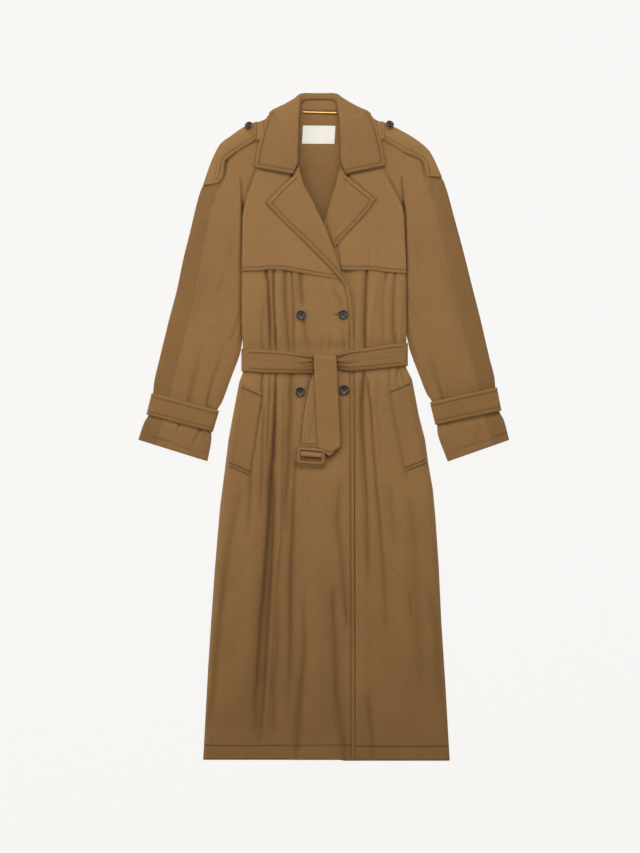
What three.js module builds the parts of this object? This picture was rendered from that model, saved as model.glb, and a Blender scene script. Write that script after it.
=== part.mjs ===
// A long double-breasted trench coat, laid flat on its back on a table, front up, sleeves down and belt tied.
//
// Frame: +X to the right of the coat as it is seen from above, +Y from the hem to the collar, +Z up, millimetres.
// The origin is the middle of the coat's outline, on the surface that it lies on.
//
// The pattern is drafted on a grid. U is the real size of one square, and every plan position below is in squares,
// with y counted downwards from the collar to the hem, as on a pattern sheet. Heights (z) are in millimetres.
// Every piece is cloth of a stated thickness: an outer skin, an inner skin and a rim, worked out from sections.
// "Right" and "left" in the names are the wearer's, so the right front is the one at -X, and it closes on top.

import * as THREE from "three";

// ---- Sizes -------------------------------------------------------------------------------------------------------
const U = 1.88; // mm in one square of the pattern grid
const MID_X = 323.75; // the coat's middle on the grid
const MID_Y = 426.2;
const CLOTH = 1.5; // mm, one thickness of coat cloth with its facing or turning
const BELT_CLOTH = 2.0; // mm, the belt is cloth folded double and stitched
const GAP = 0.4; // mm between pieces at a seam
const LAYER = 1.1; // mm between a panel and what lies on it
const BELT_LIFT = 2.6; // mm the back rises over the belt that passes beneath it
const COLLAR_LIFT = 2.4; // mm the back rises over the collar that is turned down beneath it
const BUTTON = { r: 9, rim: 7.2, thick: 3.4 };
const EPAULETTE_BUTTON = { r: 7.5, rim: 5.9, thick: 3.0 };
const BUCKLE = { wide: 50, tall: 29, bar: 4.2, thick: 3.2, corner: 4 };
const HANGER_BAR = { length: 62, r: 1.6 };
const LABEL = { wide: 60.6, tall: 33.8, thick: 0.8 };

// ---- Drafting helpers --------------------------------------------------------------------------------------------
const at = (x, y, z) => new THREE.Vector3((x - MID_X) * U, (MID_Y - y) * U, z);
const mix = (a, b, t) => a + (b - a) * t;
const clamp = (v, lo = 0, hi = 1) => Math.min(hi, Math.max(lo, v));
const smooth = (t) => { const c = clamp(t); return c * c * (3 - 2 * c); };
// The value at `key` of a line given by its values at rising keys.
function along(keys, values, key) {
  if (key <= keys[0]) return values[0];
  for (let k = 1; k < keys.length; k++)
    if (key <= keys[k]) return mix(values[k - 1], values[k], (key - keys[k - 1]) / (keys[k] - keys[k - 1]));
  return values[values.length - 1];
}
const lineOf = (table) => {
  const ys = table.map((r) => r.y), xs = table.map((r) => r.x);
  return (y) => along(ys, xs, y);
};

// A closed wall between an outer and an inner grid of points, with a rim round its edges.
// With `ring` the columns close on themselves, so that only the first and last rows have a rim.
function wall(outer, inner, ring = false) {
  const rows = outer.length, cols = outer[0].length, n = rows * cols;
  const position = [];
  for (const grid of [outer, inner]) for (const row of grid) for (const p of row) position.push(p.x, p.y, p.z);
  const o = (j, i) => j * cols + (i % cols), q = (j, i) => n + o(j, i);
  const index = [];
  const quad = (a, b, c, d) => index.push(a, b, c, a, c, d);
  const span = ring ? cols : cols - 1;
  for (let j = 0; j < rows - 1; j++)
    for (let i = 0; i < span; i++) {
      quad(o(j, i), o(j + 1, i), o(j + 1, i + 1), o(j, i + 1));
      quad(q(j, i), q(j, i + 1), q(j + 1, i + 1), q(j + 1, i));
    }
  for (let i = 0; i < span; i++) {
    quad(o(0, i), o(0, i + 1), q(0, i + 1), q(0, i));
    quad(o(rows - 1, i + 1), o(rows - 1, i), q(rows - 1, i), q(rows - 1, i + 1));
  }
  if (!ring)
    for (let j = 0; j < rows - 1; j++) {
      quad(o(j + 1, 0), o(j, 0), q(j, 0), q(j + 1, 0));
      quad(o(j, cols - 1), o(j + 1, cols - 1), q(j + 1, cols - 1), q(j, cols - 1));
    }
  let volume = 0;
  const v = (k) => new THREE.Vector3(position[3 * k], position[3 * k + 1], position[3 * k + 2]);
  for (let k = 0; k < index.length; k += 3) volume += v(index[k]).dot(v(index[k + 1]).cross(v(index[k + 2])));
  if (volume < 0) for (let k = 0; k < index.length; k += 3) [index[k + 1], index[k + 2]] = [index[k + 2], index[k + 1]];
  const g = new THREE.BufferGeometry();
  g.setAttribute("position", new THREE.Float32BufferAttribute(position, 3));
  g.setIndex(index);
  g.computeVertexNormals();
  return g;
}
const lowered = (grid, t) => grid.map((row) => row.map((p) => new THREE.Vector3(p.x, p.y, p.z - t)));
const flatWall = (grid, t = CLOTH) => wall(grid, lowered(grid, t));

// The inner skin of a folded sheet: each point moved by t against the sheet's own normal. `turn` is 1 or -1.
function inset(grid, t, turn, ring = false) {
  const rows = grid.length, cols = grid[0].length;
  return grid.map((row, j) => row.map((p, i) => {
    const before = ring ? grid[j][(i + cols - 1) % cols] : grid[j][Math.max(0, i - 1)];
    const after = ring ? grid[j][(i + 1) % cols] : grid[j][Math.min(cols - 1, i + 1)];
    const across = after.clone().sub(before);
    const down = grid[Math.min(rows - 1, j + 1)][i].clone().sub(grid[Math.max(0, j - 1)][i]);
    return p.clone().addScaledVector(across.cross(down).normalize(), -t * turn);
  }));
}

// ---- The outline -------------------------------------------------------------------------------------------------
// Outer edge of each front: raglan seam, armhole fold, waist, then the side down to the hem.
const rightSide = lineOf([
  { y: 140, x: 268 }, { y: 158, x: 262 }, { y: 172, x: 257 }, { y: 185.5, x: 252 }, { y: 195, x: 248.5 },
  { y: 206, x: 245 }, { y: 216, x: 243.2 }, { y: 240, x: 242.8 }, { y: 262, x: 242.3 }, { y: 304, x: 242 },
  { y: 349, x: 243.1 }, { y: 373, x: 243.1 }, { y: 382, x: 239.6 }, { y: 419, x: 232.6 }, { y: 440, x: 228.8 },
  { y: 468, x: 225.4 }, { y: 507, x: 220.4 }, { y: 567, x: 215.3 }, { y: 620, x: 211.6 }, { y: 667, x: 208.5 },
  { y: 759.3, x: 203.5 },
]);
const leftSide = lineOf([
  { y: 140, x: 370.5 }, { y: 158, x: 376.5 }, { y: 168.7, x: 381.4 }, { y: 185, x: 390.3 }, { y: 195, x: 395.8 },
  { y: 206, x: 401.4 }, { y: 216, x: 403.8 }, { y: 240, x: 404.6 }, { y: 262, x: 405.7 }, { y: 304, x: 406 },
  { y: 345, x: 406 }, { y: 367, x: 405.4 }, { y: 379.7, x: 411.8 }, { y: 416.7, x: 418.8 }, { y: 440, x: 424.8 },
  { y: 465, x: 428.2 }, { y: 489, x: 432.5 }, { y: 516, x: 435 }, { y: 567, x: 438.5 }, { y: 620, x: 440.9 },
  { y: 684.5, x: 445.1 }, { y: 760.2, x: 449.4 },
]);
// Inner edge of each front: the roll of collar and lapel, then the front edge. The left one ends beneath the right.
const rightRoll = lineOf([
  { y: 140, x: 297.5 }, { y: 163, x: 297.5 }, { y: 170, x: 300 }, { y: 176, x: 301.5 }, { y: 186, x: 304.5 },
  { y: 196, x: 310 }, { y: 206, x: 315 }, { y: 218, x: 320.5 }, { y: 228, x: 324.5 }, { y: 239, x: 330 },
  { y: 249.5, x: 333.8 }, { y: 263, x: 338.5 }, { y: 270, x: 340.5 }, { y: 279, x: 343.5 }, { y: 286, x: 347 },
  { y: 293, x: 349.2 }, { y: 304, x: 351 }, { y: 330, x: 352.8 }, { y: 373, x: 352.8 }, { y: 490, x: 353.6 }, { y: 759.3, x: 354.2 },
]);
const leftRoll = lineOf([
  { y: 140, x: 341.4 }, { y: 163, x: 341.5 }, { y: 170, x: 340 }, { y: 178, x: 337.5 }, { y: 186, x: 335.5 },
  { y: 200, x: 331 }, { y: 212, x: 327.5 }, { y: 224, x: 324.4 }, { y: 240, x: 319.5 }, { y: 255, x: 312 },
  { y: 270, x: 305 }, { y: 285, x: 298 }, { y: 300, x: 293 }, { y: 315, x: 291 }, { y: 760, x: 291 },
]);

// ---- Fronts: a loft through fold lines -----------------------------------------------------------------------------
// Each row is one line that runs down the panel: its place across and its height at the keyed places down the coat.
const KEYS = [285, 345, 373, 440, 550, 650, 759];
const RIGHT_FOLDS = [
  { line: "side shoulder", x: [247, 247, 247.5, 234, 222, 215, 208.5], z: [9.5, 9.5, 7.4, 8.5, 9, 9, 8], chest: 9.2 },
  { line: "side panel", x: [256, 257, 257, 247, 238, 232, 228], z: [10, 10, 8.2, 10.5, 11.5, 11, 9], chest: 9.4 },
  { line: "bank", x: [265, 267, 268, 266, 256, 249, 246], z: [10.5, 10, 8.2, 11.5, 12, 11.5, 9], chest: 9.5 },
  { line: "deep valley", x: [269.5, 272.3, 274, 272.2, 264.5, 258.5, 256], z: [7, 7, 7.6, 6, 5.6, 6.5, 8.5], chest: 9.5 },
  { line: "pleat crest", x: [273, 275.5, 278, 277, 274.5, 270, 268], z: [12.5, 11.5, 8.2, 14.5, 16.5, 14.5, 10], chest: 9.5 },
  { line: "second valley", x: [288, 288, 290, 291, 291, 291, 290], z: [8.5, 8.3, 8, 9.5, 10.5, 11, 9], chest: 9.6 },
  { line: "second crest", x: [298, 299, 301, 305, 306, 309, 312], z: [12, 11, 8.2, 10.6, 13, 13, 10], chest: 9.8 },
  { line: "middle", x: [318, 320, 321, 322, 322, 322, 323], z: [11.5, 10.5, 8.2, 10.6, 14, 14, 10.5], chest: 10.2 },
  { line: "third valley", x: [334, 338, 339, 341, 340, 336, 338], z: [10.5, 9.8, 8.2, 10.8, 10.5, 9.5, 8.8], chest: 11.2 },
];
const LEFT_FOLDS = [
  { line: "beneath", x: [322, 322, 322, 322, 322, 322, 322], z: [5.6, 6.1, 6.1, 5.6, 5.6, 5.6, 5.6], chest: 6.4 },
  { line: "under the edge", x: [351, 351.5, 351.5, 352, 352, 352, 352], z: [5.8, 6.1, 6.1, 5.8, 5.8, 5.8, 5.6], chest: 8 },
  { line: "first crest", x: [358, 358, 359.2, 361.5, 366, 364, 364], z: [11, 10, 8, 12, 13, 12, 9.5], chest: 9.4 },
  { line: "valley", x: [366, 366, 366, 369, 377, 378, 374], z: [7.5, 7.5, 7.6, 8, 9.5, 10.5, 9], chest: 9.5 },
  { line: "second crest", x: [370.8, 371, 371.8, 376.5, 388, 393, 392], z: [12.5, 11.5, 8.2, 13.5, 13, 12, 9.5], chest: 9.5 },
  { line: "side panel", x: [385, 386, 387, 390, 404, 410, 412], z: [9.5, 9.5, 8.2, 10, 12, 11.5, 9.5], chest: 9.4 },
  { line: "pocket side", x: [395, 397, 397.5, 408, 421, 428, 430], z: [11, 8.6, 8.2, 10.5, 11, 10.5, 9], chest: 9.3 },
  { line: "side shoulder", x: [401, 401.5, 401, 419, 432, 438, 444.5], z: [9.5, 9.5, 7.4, 8.5, 9, 9, 8], chest: 9.2 },
];
const ROWS = [140, 158, 172, 185.5, 195, 206, 222, 240, 262, 285, 306, 326, 337, 344, 367, 373, 382, 405, 440, 490, 550, 610, 670, 720, 759];
const FOLDS_FROM = 285; // above this row the folds die away under the storm flap
const CHEST_TO = 262;

// The height of a front's outer edge: over the sleeve at the armhole, and down to the back panel from the waist.
const sideHeight = (y) => along([200, 206, 212, 222, 337, 344, 373, 382, 395, 759], [9.2, 9.6, 9.6, 8.4, 8.4, 6.4, 6.4, 5, 4, 3.8], y);
// The belt holds the folds down.
const beltHold = (y) => along([330, 344, 373, 384], [20, 8.2, 8.2, 20], y);
function frontLines(folds, outer, inner, innerChest, innerBelow, flip) {
  return (y) => {
    const xo = outer(y), xi = inner(y);
    const sideFirst = !flip;
    const foldXs = (row) => folds.map((f) => along(KEYS, f.x, row));
    const xs = foldXs(Math.max(y, FOLDS_FROM)).map((x) => {
      if (y >= FOLDS_FROM) return x;
      const a = sideFirst ? outer(FOLDS_FROM) : inner(FOLDS_FROM), b = sideFirst ? inner(FOLDS_FROM) : outer(FOLDS_FROM);
      return mix(sideFirst ? xo : xi, sideFirst ? xi : xo, (x - a) / (b - a));
    });
    const share = smooth((y - CHEST_TO) / (FOLDS_FROM - CHEST_TO));
    const zs = folds.map((f) => Math.min(mix(f.chest, along(KEYS, f.z, y), share), beltHold(y)));
    const side = { x: xo, z: sideHeight(y) };
    const front = { x: xi, z: mix(innerChest, innerBelow(y), share) };
    const middle = xs.map((x, k) => ({ x, z: zs[k] }));
    return sideFirst ? [side, ...middle, front] : [front, ...middle, side];
  };
}
const rightLines = frontLines(RIGHT_FOLDS, rightSide, rightRoll, 12, (y) => along(KEYS, [11, 9.8, 8.2, 10.6, 11, 10.5, 9], y), false);
const leftLines = frontLines(LEFT_FOLDS, leftSide, leftRoll, 7.2, (y) => along([320, 334, 386, 400], [5.4, 6.1, 6.1, 5.4], y), true);
const frontGrid = (lines, rows = ROWS) => rows.map((y) => lines(y).map((p) => at(p.x, y, p.z)));

// The height of a front's outer skin over a point of the plan, read off its own facets.
function heightOn(lines, rows) {
  const row = (y, x) => { const l = lines(y); return along(l.map((p) => p.x), l.map((p) => p.z), x); };
  return (x, y) => {
    const c = clamp(y, rows[0], rows[rows.length - 1]);
    let k = 1;
    while (k < rows.length - 1 && c > rows[k]) k++;
    return mix(row(rows[k - 1], x), row(rows[k], x), (c - rows[k - 1]) / (rows[k] - rows[k - 1]));
  };
}
const onRight = heightOn(rightLines, ROWS);
const onLeft = heightOn(leftLines, ROWS);
// A piece that lies on a panel clears the highest facet near each of its own points.
const clearOf = (height, x, y, reach = 3) => Math.max(
  height(x, y), height(x - reach, y), height(x + reach, y), height(x, y - reach), height(x, y + reach));

// ---- Back ----------------------------------------------------------------------------------------------------------
const backSide = (front, turn) => {
  const seam = (y) => front(y) + turn * 0.3; // clear of the sleeve at the raglan seam
  return (y) => {
    if (y < 140) return mix(mix(front(140), 323.75, 0.41), seam(140), (y - 111.2) / 28.8);
    const armhole = turn > 0 ? 246.9 : 402;
    const inside = turn > 0 ? Math.max(seam(y), armhole) : Math.min(seam(y), armhole);
    const tied = smooth((y - 343) / 8) * (1 - smooth((y - 369) / 8)); // drawn in by the belt
    return mix(y < 206 ? seam(y) : inside, front(y), smooth((y - 343) / 8)) + turn * 1.5 * tied;
  };
};
const backRight = backSide(rightSide, 1), backLeft = backSide(leftSide, -1);
const BACK_ROWS = [111.2, 127, 140, 154, 166, 178, 206, 216, 262, 304, 330, 338, 343, 351, 367, 375, 380, 386, 440, 490, 567, 620, 684, 759];
const backLift = (y) => COLLAR_LIFT * (1 - smooth((y - 154) / 24)) + BELT_LIFT * smooth((y - 330) / 13) * (1 - smooth((y - 375) / 11));
const BACK_COLUMNS = [0, 0.04, 0.5, 0.96, 1];
const backGrid = BACK_ROWS.map((y) => BACK_COLUMNS.map((u) => at(mix(backRight(y), backLeft(y), u), y, backLift(y) + CLOTH)));

// ---- Storm flaps: over each chest, free at their lower edge --------------------------------------------------------
function stormFlap(outer, inner, hem, height, columns) {
  const TOP = 163, DOWN = [0, 0.12, 0.26, 0.4, 0.56, 0.72, 0.87, 1];
  return DOWN.map((v) => columns.map((u) => {
    const xHem = mix(outer(270), inner(hem(inner(270))), u);
    const y = mix(TOP, hem(xHem), v);
    const x = mix(outer(y), inner(y), u);
    return at(x, y, clearOf(height, x, y, 2) + LAYER + CLOTH + 1.6 * (1 - 0.9 * u) * smooth((v - 0.55) / 0.45));
  }));
}
const rightFlapHem = (x) => along([242, 258, 270, 285, 300, 320, 340], [270.8, 270.8, 269.2, 270, 272.7, 276.2, 279], x);
const leftFlapHem = (x) => along([341, 350, 370, 390, 406.5], [269.6, 270.3, 270, 272.3, 273.4], x);
const rightFlapInner = lineOf([{ y: 163, x: 291 }, { y: 175, x: 293 }, { y: 188, x: 298.5 }, { y: 206, x: 306 }, { y: 223, x: 316 }, { y: 250, x: 327.5 }, { y: 276, x: 338 }]);
const leftFlapInner = lineOf([{ y: 163, x: 350 }, { y: 175, x: 347.5 }, { y: 188, x: 343.5 }, { y: 206, x: 338.5 }, { y: 223, x: 334.5 }, { y: 240, x: 337.5 }, { y: 268, x: 341.5 }]);
const FLAP_COLUMNS = [0, 0.08, 0.25, 0.42, 0.6, 0.8, 1];

// ---- Lapels and collar: from the rolled edge to the outer edge ------------------------------------------------------
// Each row is one section: the rolled edge (r), the outer edge (o), and how far the cloth bellies up between them.
const RIGHT_LAPEL = [
  { rx: 299, ry: 166, rz: 18.2, ox: 298.2, oy: 167.8, oz: 17.2 },
  { rx: 300.3, ry: 171, rz: 18.5, ox: 294.4, oy: 176.2, oz: 16.4 },
  { rx: 301.8, ry: 177, rz: 19, ox: 281.3, oy: 188.4, oz: 14.6 },
  { rx: 304.6, ry: 186.3, rz: 19.5, ox: 267.4, oy: 203.2, oz: 14.6 },
  { rx: 309, ry: 194, rz: 19.8, ox: 275.3, oy: 212.6, oz: 14.6 },
  { rx: 313.5, ry: 203, rz: 20, ox: 285, oy: 222.2, oz: 14.8 },
  { rx: 322.3, ry: 221, rz: 20.5, ox: 301.5, oy: 238.2, oz: 15.6 },
  { rx: 329.4, ry: 237.5, rz: 20.5, ox: 315, oy: 251.5, oz: 16.6 },
  { rx: 334.8, ry: 252.5, rz: 19.5, ox: 326, oy: 262.6, oz: 17.2 },
  { rx: 339.6, ry: 266.5, rz: 18, ox: 335, oy: 272.6, oz: 17 },
  { rx: 343, ry: 277.3, rz: 17.2, ox: 341, oy: 279.6, oz: 16.6 },
  { rx: 346.2, ry: 285.4, rz: 16.2, ox: 345.4, oy: 286.6, oz: 15.8 },
];
const LEFT_LAPEL = [
  { rx: 340.6, ry: 166.4, rz: 18, ox: 341.4, oy: 168.4, oz: 17 },
  { rx: 339.9, ry: 170.6, rz: 18, ox: 345.3, oy: 176.2, oz: 16.2 },
  { rx: 337.6, ry: 178, rz: 18, ox: 359.5, oy: 187.6, oz: 14.2 },
  { rx: 335.2, ry: 187, rz: 18, ox: 374.9, oy: 200.2, oz: 14.2 },
  { rx: 332.6, ry: 195.5, rz: 18, ox: 368.3, oy: 210.6, oz: 14.2 },
  { rx: 330.2, ry: 203.5, rz: 17.4, ox: 361, oy: 218.6, oz: 14 },
  { rx: 327.8, ry: 211.8, rz: 15.5, ox: 353.6, oy: 226.8, oz: 13.8 },
  { rx: 326.7, ry: 222.4, rz: 12.6, ox: 346.4, oy: 233.9, oz: 13.4 },
  { rx: 328.8, ry: 232, rz: 11.4, ox: 339.6, oy: 240.6, oz: 12.2 },
  { rx: 331.7, ry: 240.4, rz: 11.8, ox: 334.9, oy: 246.6, oz: 12.2 },
];
const LAPEL_COLUMNS = [-0.16, 0, 0.12, 0.35, 0.6, 0.85, 1];
function lapel(sections, roll, belly) {
  return sections.map((s) => LAPEL_COLUMNS.map((u) => {
    if (u < 0) return at(s.rx + roll * 0.7, s.ry, s.rz - Math.min(3.4, (s.rz - 7) * 0.6));
    const x = mix(s.rx, s.ox, u), y = mix(s.ry, s.oy, u);
    const wide = Math.hypot(s.rx - s.ox, s.ry - s.oy);
    return at(x, y, mix(s.rz, s.oz, Math.sin((u * Math.PI) / 2)) + belly * Math.sin(Math.PI * u) * clamp(wide / 40));
  }));
}

// Sections of the collar from its right point, round the back of the neck, to its left point. Each starts just inside
// the rolled edge (i), goes over the roll (r) and the leaf to the turn over the shoulder (t), and ends at the outer
// edge (o). Towards the points the leaf has no turn. Round the neck its outer part lies beneath, on the table.
const RIGHT_COLLAR = [
  { i: [294.4, 172.9, 14], r: [293.2, 174, 17.2], o: [255.2, 167.5, 15.4] },
  { i: [298.6, 161.6, 14.5], r: [297.2, 161.6, 19], o: [256.5, 156.6, 14.6] },
  { i: [298.9, 149, 14.5], r: [297.3, 149, 20], o: [258.6, 146.4, 14] },
  { i: [299.3, 133, 14.5], r: [297.8, 133, 20], o: [262.6, 131.4, 13.6] },
  { i: [299.8, 120, 13.5], r: [298.3, 120, 19], o: [266, 119.4, 12] },
  { i: [300.2, 114, 12.8], r: [298.5, 114, 18], t: [269, 114, 9.8], o: [269.6, 114.9, 7.2] },
  { i: [300.4, 110, 12.5], r: [298.7, 109, 17.2], t: [272.2, 110.4, 8.4], o: [273.6, 113.4, 1] },
  { i: [300.9, 106.5, 12], r: [299, 104.6, 16.2], t: [278, 107.5, 7.8], o: [279.6, 118, 0] },
  { i: [301.4, 103.8, 11], r: [299.5, 100.8, 14.8], t: [285.6, 104, 7.2], o: [286.5, 124.5, 0] },
  { i: [302.6, 101.6, 9.6], r: [300.4, 97, 12.6], t: [294, 98.9, 6.4], o: [294, 128.6, 0] },
  { i: [305, 100, 8.2], r: [303, 94.2, 9.6], t: [302, 93.6, 5], o: [304, 131.4, 0] },
];
const NECK_COLLAR = { i: [319, 99.4, 7.8], r: [319, 94.4, 8.2], t: [319, 93.4, 4.4], o: [319, 132.5, 0] };
const LEFT_COLLAR = [
  { i: [344.6, 173, 14], r: [345.8, 174, 17.2], o: [385, 165.8, 15.4] },
  { i: [340.4, 161.6, 14.5], r: [341.8, 161.6, 19], o: [383.4, 155.2, 14.6] },
  { i: [340, 149, 14.5], r: [341.6, 149, 20], o: [381, 144.6, 14] },
  { i: [339.6, 133, 14.5], r: [341.3, 133, 20], o: [377.8, 131, 13.6] },
  { i: [338.6, 120, 13.5], r: [340, 120, 19], o: [374, 119.4, 12] },
  { i: [338, 114, 12.8], r: [339.3, 114, 18], t: [371, 114.6, 9.8], o: [370.4, 115.5, 7.2] },
  { i: [337.4, 110, 12.5], r: [338.6, 109, 17.2], t: [368, 111.4, 8.4], o: [366.6, 114.2, 1] },
  { i: [336.8, 106.5, 12], r: [338, 104.6, 16.2], t: [360.6, 108.2, 7.8], o: [359, 118.6, 0] },
  { i: [336.2, 103.8, 11], r: [337.2, 100.8, 14.8], t: [352, 103.9, 7.2], o: [351.4, 124.6, 0] },
  { i: [335, 101.6, 9.6], r: [336.2, 97, 12.6], t: [343.6, 98.7, 6.4], o: [343.8, 128.6, 0] },
  { i: [332.5, 100, 8.2], r: [334, 94.2, 9.6], t: [335, 93.6, 5], o: [334.4, 131.4, 0] },
];
// The points of one section. The leaf bellies a little; beneath the neck it drops to the table at once.
function collarSection(s) {
  const between = (a, b, t, rise) => [mix(a[0], b[0], t), mix(a[1], b[1], t), mix(a[2], b[2], t) + rise];
  const t = s.t ?? between(s.r, s.o, 0.9, 0.2);
  const points = [s.i, s.r, between(s.r, t, 0.22, 0.9), between(s.r, t, 0.6, 1), t];
  if (s.t) points.push([mix(t[0], s.o[0], 0.12), mix(t[1], s.o[1], 0.05) + 0.3, mix(t[2], s.o[2], 0.88)], [mix(t[0], s.o[0], 0.4), mix(t[1], s.o[1], 0.4), s.o[2]]);
  else points.push([...between(t, s.o, 0.33, 0)], [...between(t, s.o, 0.67, 0)]);
  points.push(s.o);
  return points.map((p) => at(p[0], p[1], p[2]));
}

// ---- Sleeves: flattened tubes with an overarm seam ------------------------------------------------------------------
// Each row is one section across the sleeve: its outer fold (o), its inner edge (i), the height of its upper cloth at
// the inner edge (zi) and in the middle (zm), and how much the cloth beneath rises (lift) over a strap or epaulette.
const RIGHT_SLEEVE = [
  { ox: 268.2, oy: 118, ix: 267.7, iy: 139.7, zi: 9, zm: 8.6, lift: 2.2 },
  { ox: 258, oy: 122.6, ix: 261.7, iy: 157.6, zi: 9.1, zm: 9, lift: 2.2 },
  { ox: 245.8, oy: 127.6, ix: 256.7, iy: 171.7, zi: 9.1, zm: 9.2, lift: 2.2 },
  { ox: 231.4, oy: 137.4, ix: 251.7, iy: 185.2, zi: 9.1, zm: 9.3, lift: 2.2 },
  { ox: 221.6, oy: 145, ix: 248.2, iy: 194.8, zi: 9, zm: 9.3, lift: 2.2 },
  { ox: 215.2, oy: 155.4, ix: 244.5, iy: 206, zi: 8.6, zm: 9.4, lift: 2.2 },
  { ox: 212.9, oy: 161.5, ix: 244.9, iy: 213, zi: 5.8, zm: 9.4, lift: 2.2 },
  { ox: 208.9, oy: 172.4, ix: 245, iy: 226, zi: 5.4, zm: 9.4, lift: 2.2 },
  { ox: 204.9, oy: 185, ix: 245, iy: 245, zi: 5, zm: 9.4, lift: 2.2 },
  { ox: 197, oy: 203, ix: 245, iy: 266, zi: 5, zm: 9.4, lift: 0 },
  { ox: 190.3, oy: 231.2, ix: 244.8, iy: 288, zi: 5, zm: 9.4, lift: 0 },
  { ox: 183.6, oy: 257.9, ix: 244.2, iy: 310, zi: 5, zm: 9.2, lift: 0 },
  { ox: 176.9, oy: 290.1, ix: 243, iy: 331, zi: 4.8, zm: 9, lift: 0 },
  { ox: 169, oy: 320, ix: 240.6, iy: 350.5, zi: 3.8, zm: 9, lift: 0 },
  { ox: 160.4, oy: 355.4, ix: 230.3, iy: 379.3, zi: 3.8, zm: 9, lift: 0 },
  { ox: 153.8, oy: 384.6, ix: 221.3, iy: 403, zi: 3.8, zm: 8.6, lift: 0 },
  { ox: 153.3, oy: 391.8, ix: 217.5, iy: 409.1, zi: 5.3, zm: 7, lift: 1.9 },
  { ox: 148.2, oy: 416, ix: 211.2, iy: 432.8, zi: 5.3, zm: 7, lift: 1.9 },
  { ox: 144.6, oy: 421.5, ix: 211.2, iy: 438.5, zi: 3.8, zm: 8, lift: 0 },
  { ox: 138.4, oy: 439.4, ix: 207.3, iy: 460.9, zi: 3.6, zm: 7.6, lift: 0 },
];
const LEFT_SLEEVE = [
  { ox: 371.9, oy: 118, ix: 370.8, iy: 139.7, zi: 9, zm: 8.6, lift: 2.2 },
  { ox: 380.6, oy: 122.2, ix: 376.8, iy: 157.6, zi: 9.1, zm: 9, lift: 2.2 },
  { ox: 389.8, oy: 126.6, ix: 381.8, iy: 168.9, zi: 9.1, zm: 9.2, lift: 2.2 },
  { ox: 402.2, oy: 132.9, ix: 388.3, iy: 181, zi: 9.1, zm: 9.3, lift: 2.2 },
  { ox: 418.8, oy: 143.3, ix: 395.9, iy: 194.8, zi: 9, zm: 9.3, lift: 2.2 },
  { ox: 428, oy: 151.8, ix: 401.7, iy: 206, zi: 8.6, zm: 9.4, lift: 2.2 },
  { ox: 431.1, oy: 157.6, ix: 402.6, iy: 213, zi: 5.8, zm: 9.4, lift: 2.2 },
  { ox: 436.3, oy: 168.4, ix: 403.4, iy: 226, zi: 5.4, zm: 9.4, lift: 2.2 },
  { ox: 440.2, oy: 177.5, ix: 403.6, iy: 245, zi: 5, zm: 9.4, lift: 2.2 },
  { ox: 447, oy: 191, ix: 403.6, iy: 266, zi: 5, zm: 9.4, lift: 0 },
  { ox: 455, oy: 220.4, ix: 403.8, iy: 288, zi: 5, zm: 9.4, lift: 0 },
  { ox: 463, oy: 250, ix: 404.4, iy: 308, zi: 5, zm: 9.2, lift: 0 },
  { ox: 470.5, oy: 280, ix: 405.6, iy: 328, zi: 4.8, zm: 9, lift: 0 },
  { ox: 480.5, oy: 319.5, ix: 409.5, iy: 348, zi: 3.8, zm: 9, lift: 0 },
  { ox: 489.5, oy: 358.3, ix: 420, iy: 376.5, zi: 3.8, zm: 9, lift: 0 },
  { ox: 494.7, oy: 379.4, ix: 427.4, iy: 394.6, zi: 3.8, zm: 8.6, lift: 0 },
  { ox: 495.1, oy: 386.2, ix: 431.8, iy: 400.9, zi: 5.3, zm: 7, lift: 1.9 },
  { ox: 499.5, oy: 412, ix: 437.4, iy: 425.8, zi: 5.3, zm: 7, lift: 1.9 },
  { ox: 503.6, oy: 419.5, ix: 437.6, iy: 432, zi: 3.8, zm: 8, lift: 0 },
  { ox: 509.1, oy: 439.6, ix: 447.9, iy: 461.1, zi: 3.6, zm: 7.6, lift: 0 },
];
const SEAM = 0.25; // where the overarm seam lies between the outer fold and the inner edge
const EDGE = 3.2; // mm, height of the middle of the outer fold
// Height of the sleeve's upper skin at share s across.
const sleeveTop = (row, s) => {
  const rise = Math.sqrt(clamp(1 - (1 - clamp(s / 0.1)) ** 2));
  const outerHalf = mix(EDGE + row.lift * 0.5, mix(row.zm * 0.72, row.zm, smooth(s / 0.3)), rise);
  return s < 0.5 ? outerHalf : mix(row.zm, row.zi, smooth((s - 0.5) / 0.5) * 0.4 + 0.6 * clamp((s - 0.78) / 0.22) ** 2);
};
const sleevePoint = (row, s, z) => at(mix(row.ox, row.ix, s), mix(row.oy, row.iy, s), z);
const slit = (r) => 0.24 / Math.hypot(r.ox - r.ix, r.oy - r.iy); // half the opening at a seam, as a share of the width
const FRONT_SHARES = [SEAM, 0.4, 0.58, 0.78, 0.92, 1];
const sleeveFront = (rows) => rows.map((r) => FRONT_SHARES.map((share) => {
  const s = clamp(share, SEAM + slit(r), 1 - slit(r) * 0.4);
  return sleevePoint(r, s, sleeveTop(r, s));
}));
// The back of the sleeve starts at the seam, goes round the outer fold and lies beneath to the inner edge.
const liftAt = (r, s) => r.lift * (r.zm < 8 ? 1 : 1 - smooth((s - 0.3) / 0.3));
const BACK_STEPS = [
  { s: SEAM }, { s: 0.13 }, { s: 0.045 }, { s: 0.012 }, { s: 0, side: 0.5 }, { s: 0.012, side: 0.15 },
  { s: 0.04, side: 0 }, { s: 0.2, side: 0 }, { s: 0.45, side: 0 }, { s: 0.75, side: 0 }, { s: 0.997, side: 0 },
];
const sleeveBack = (rows) => rows.map((r) => BACK_STEPS.map(({ s, side }) => side === undefined
  ? sleevePoint(r, Math.min(s, SEAM - slit(r)), sleeveTop(r, Math.min(s, SEAM - slit(r))))
  : sleevePoint(r, s, mix(liftAt(r, s), sleeveTop(r, 0), side))));

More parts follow.
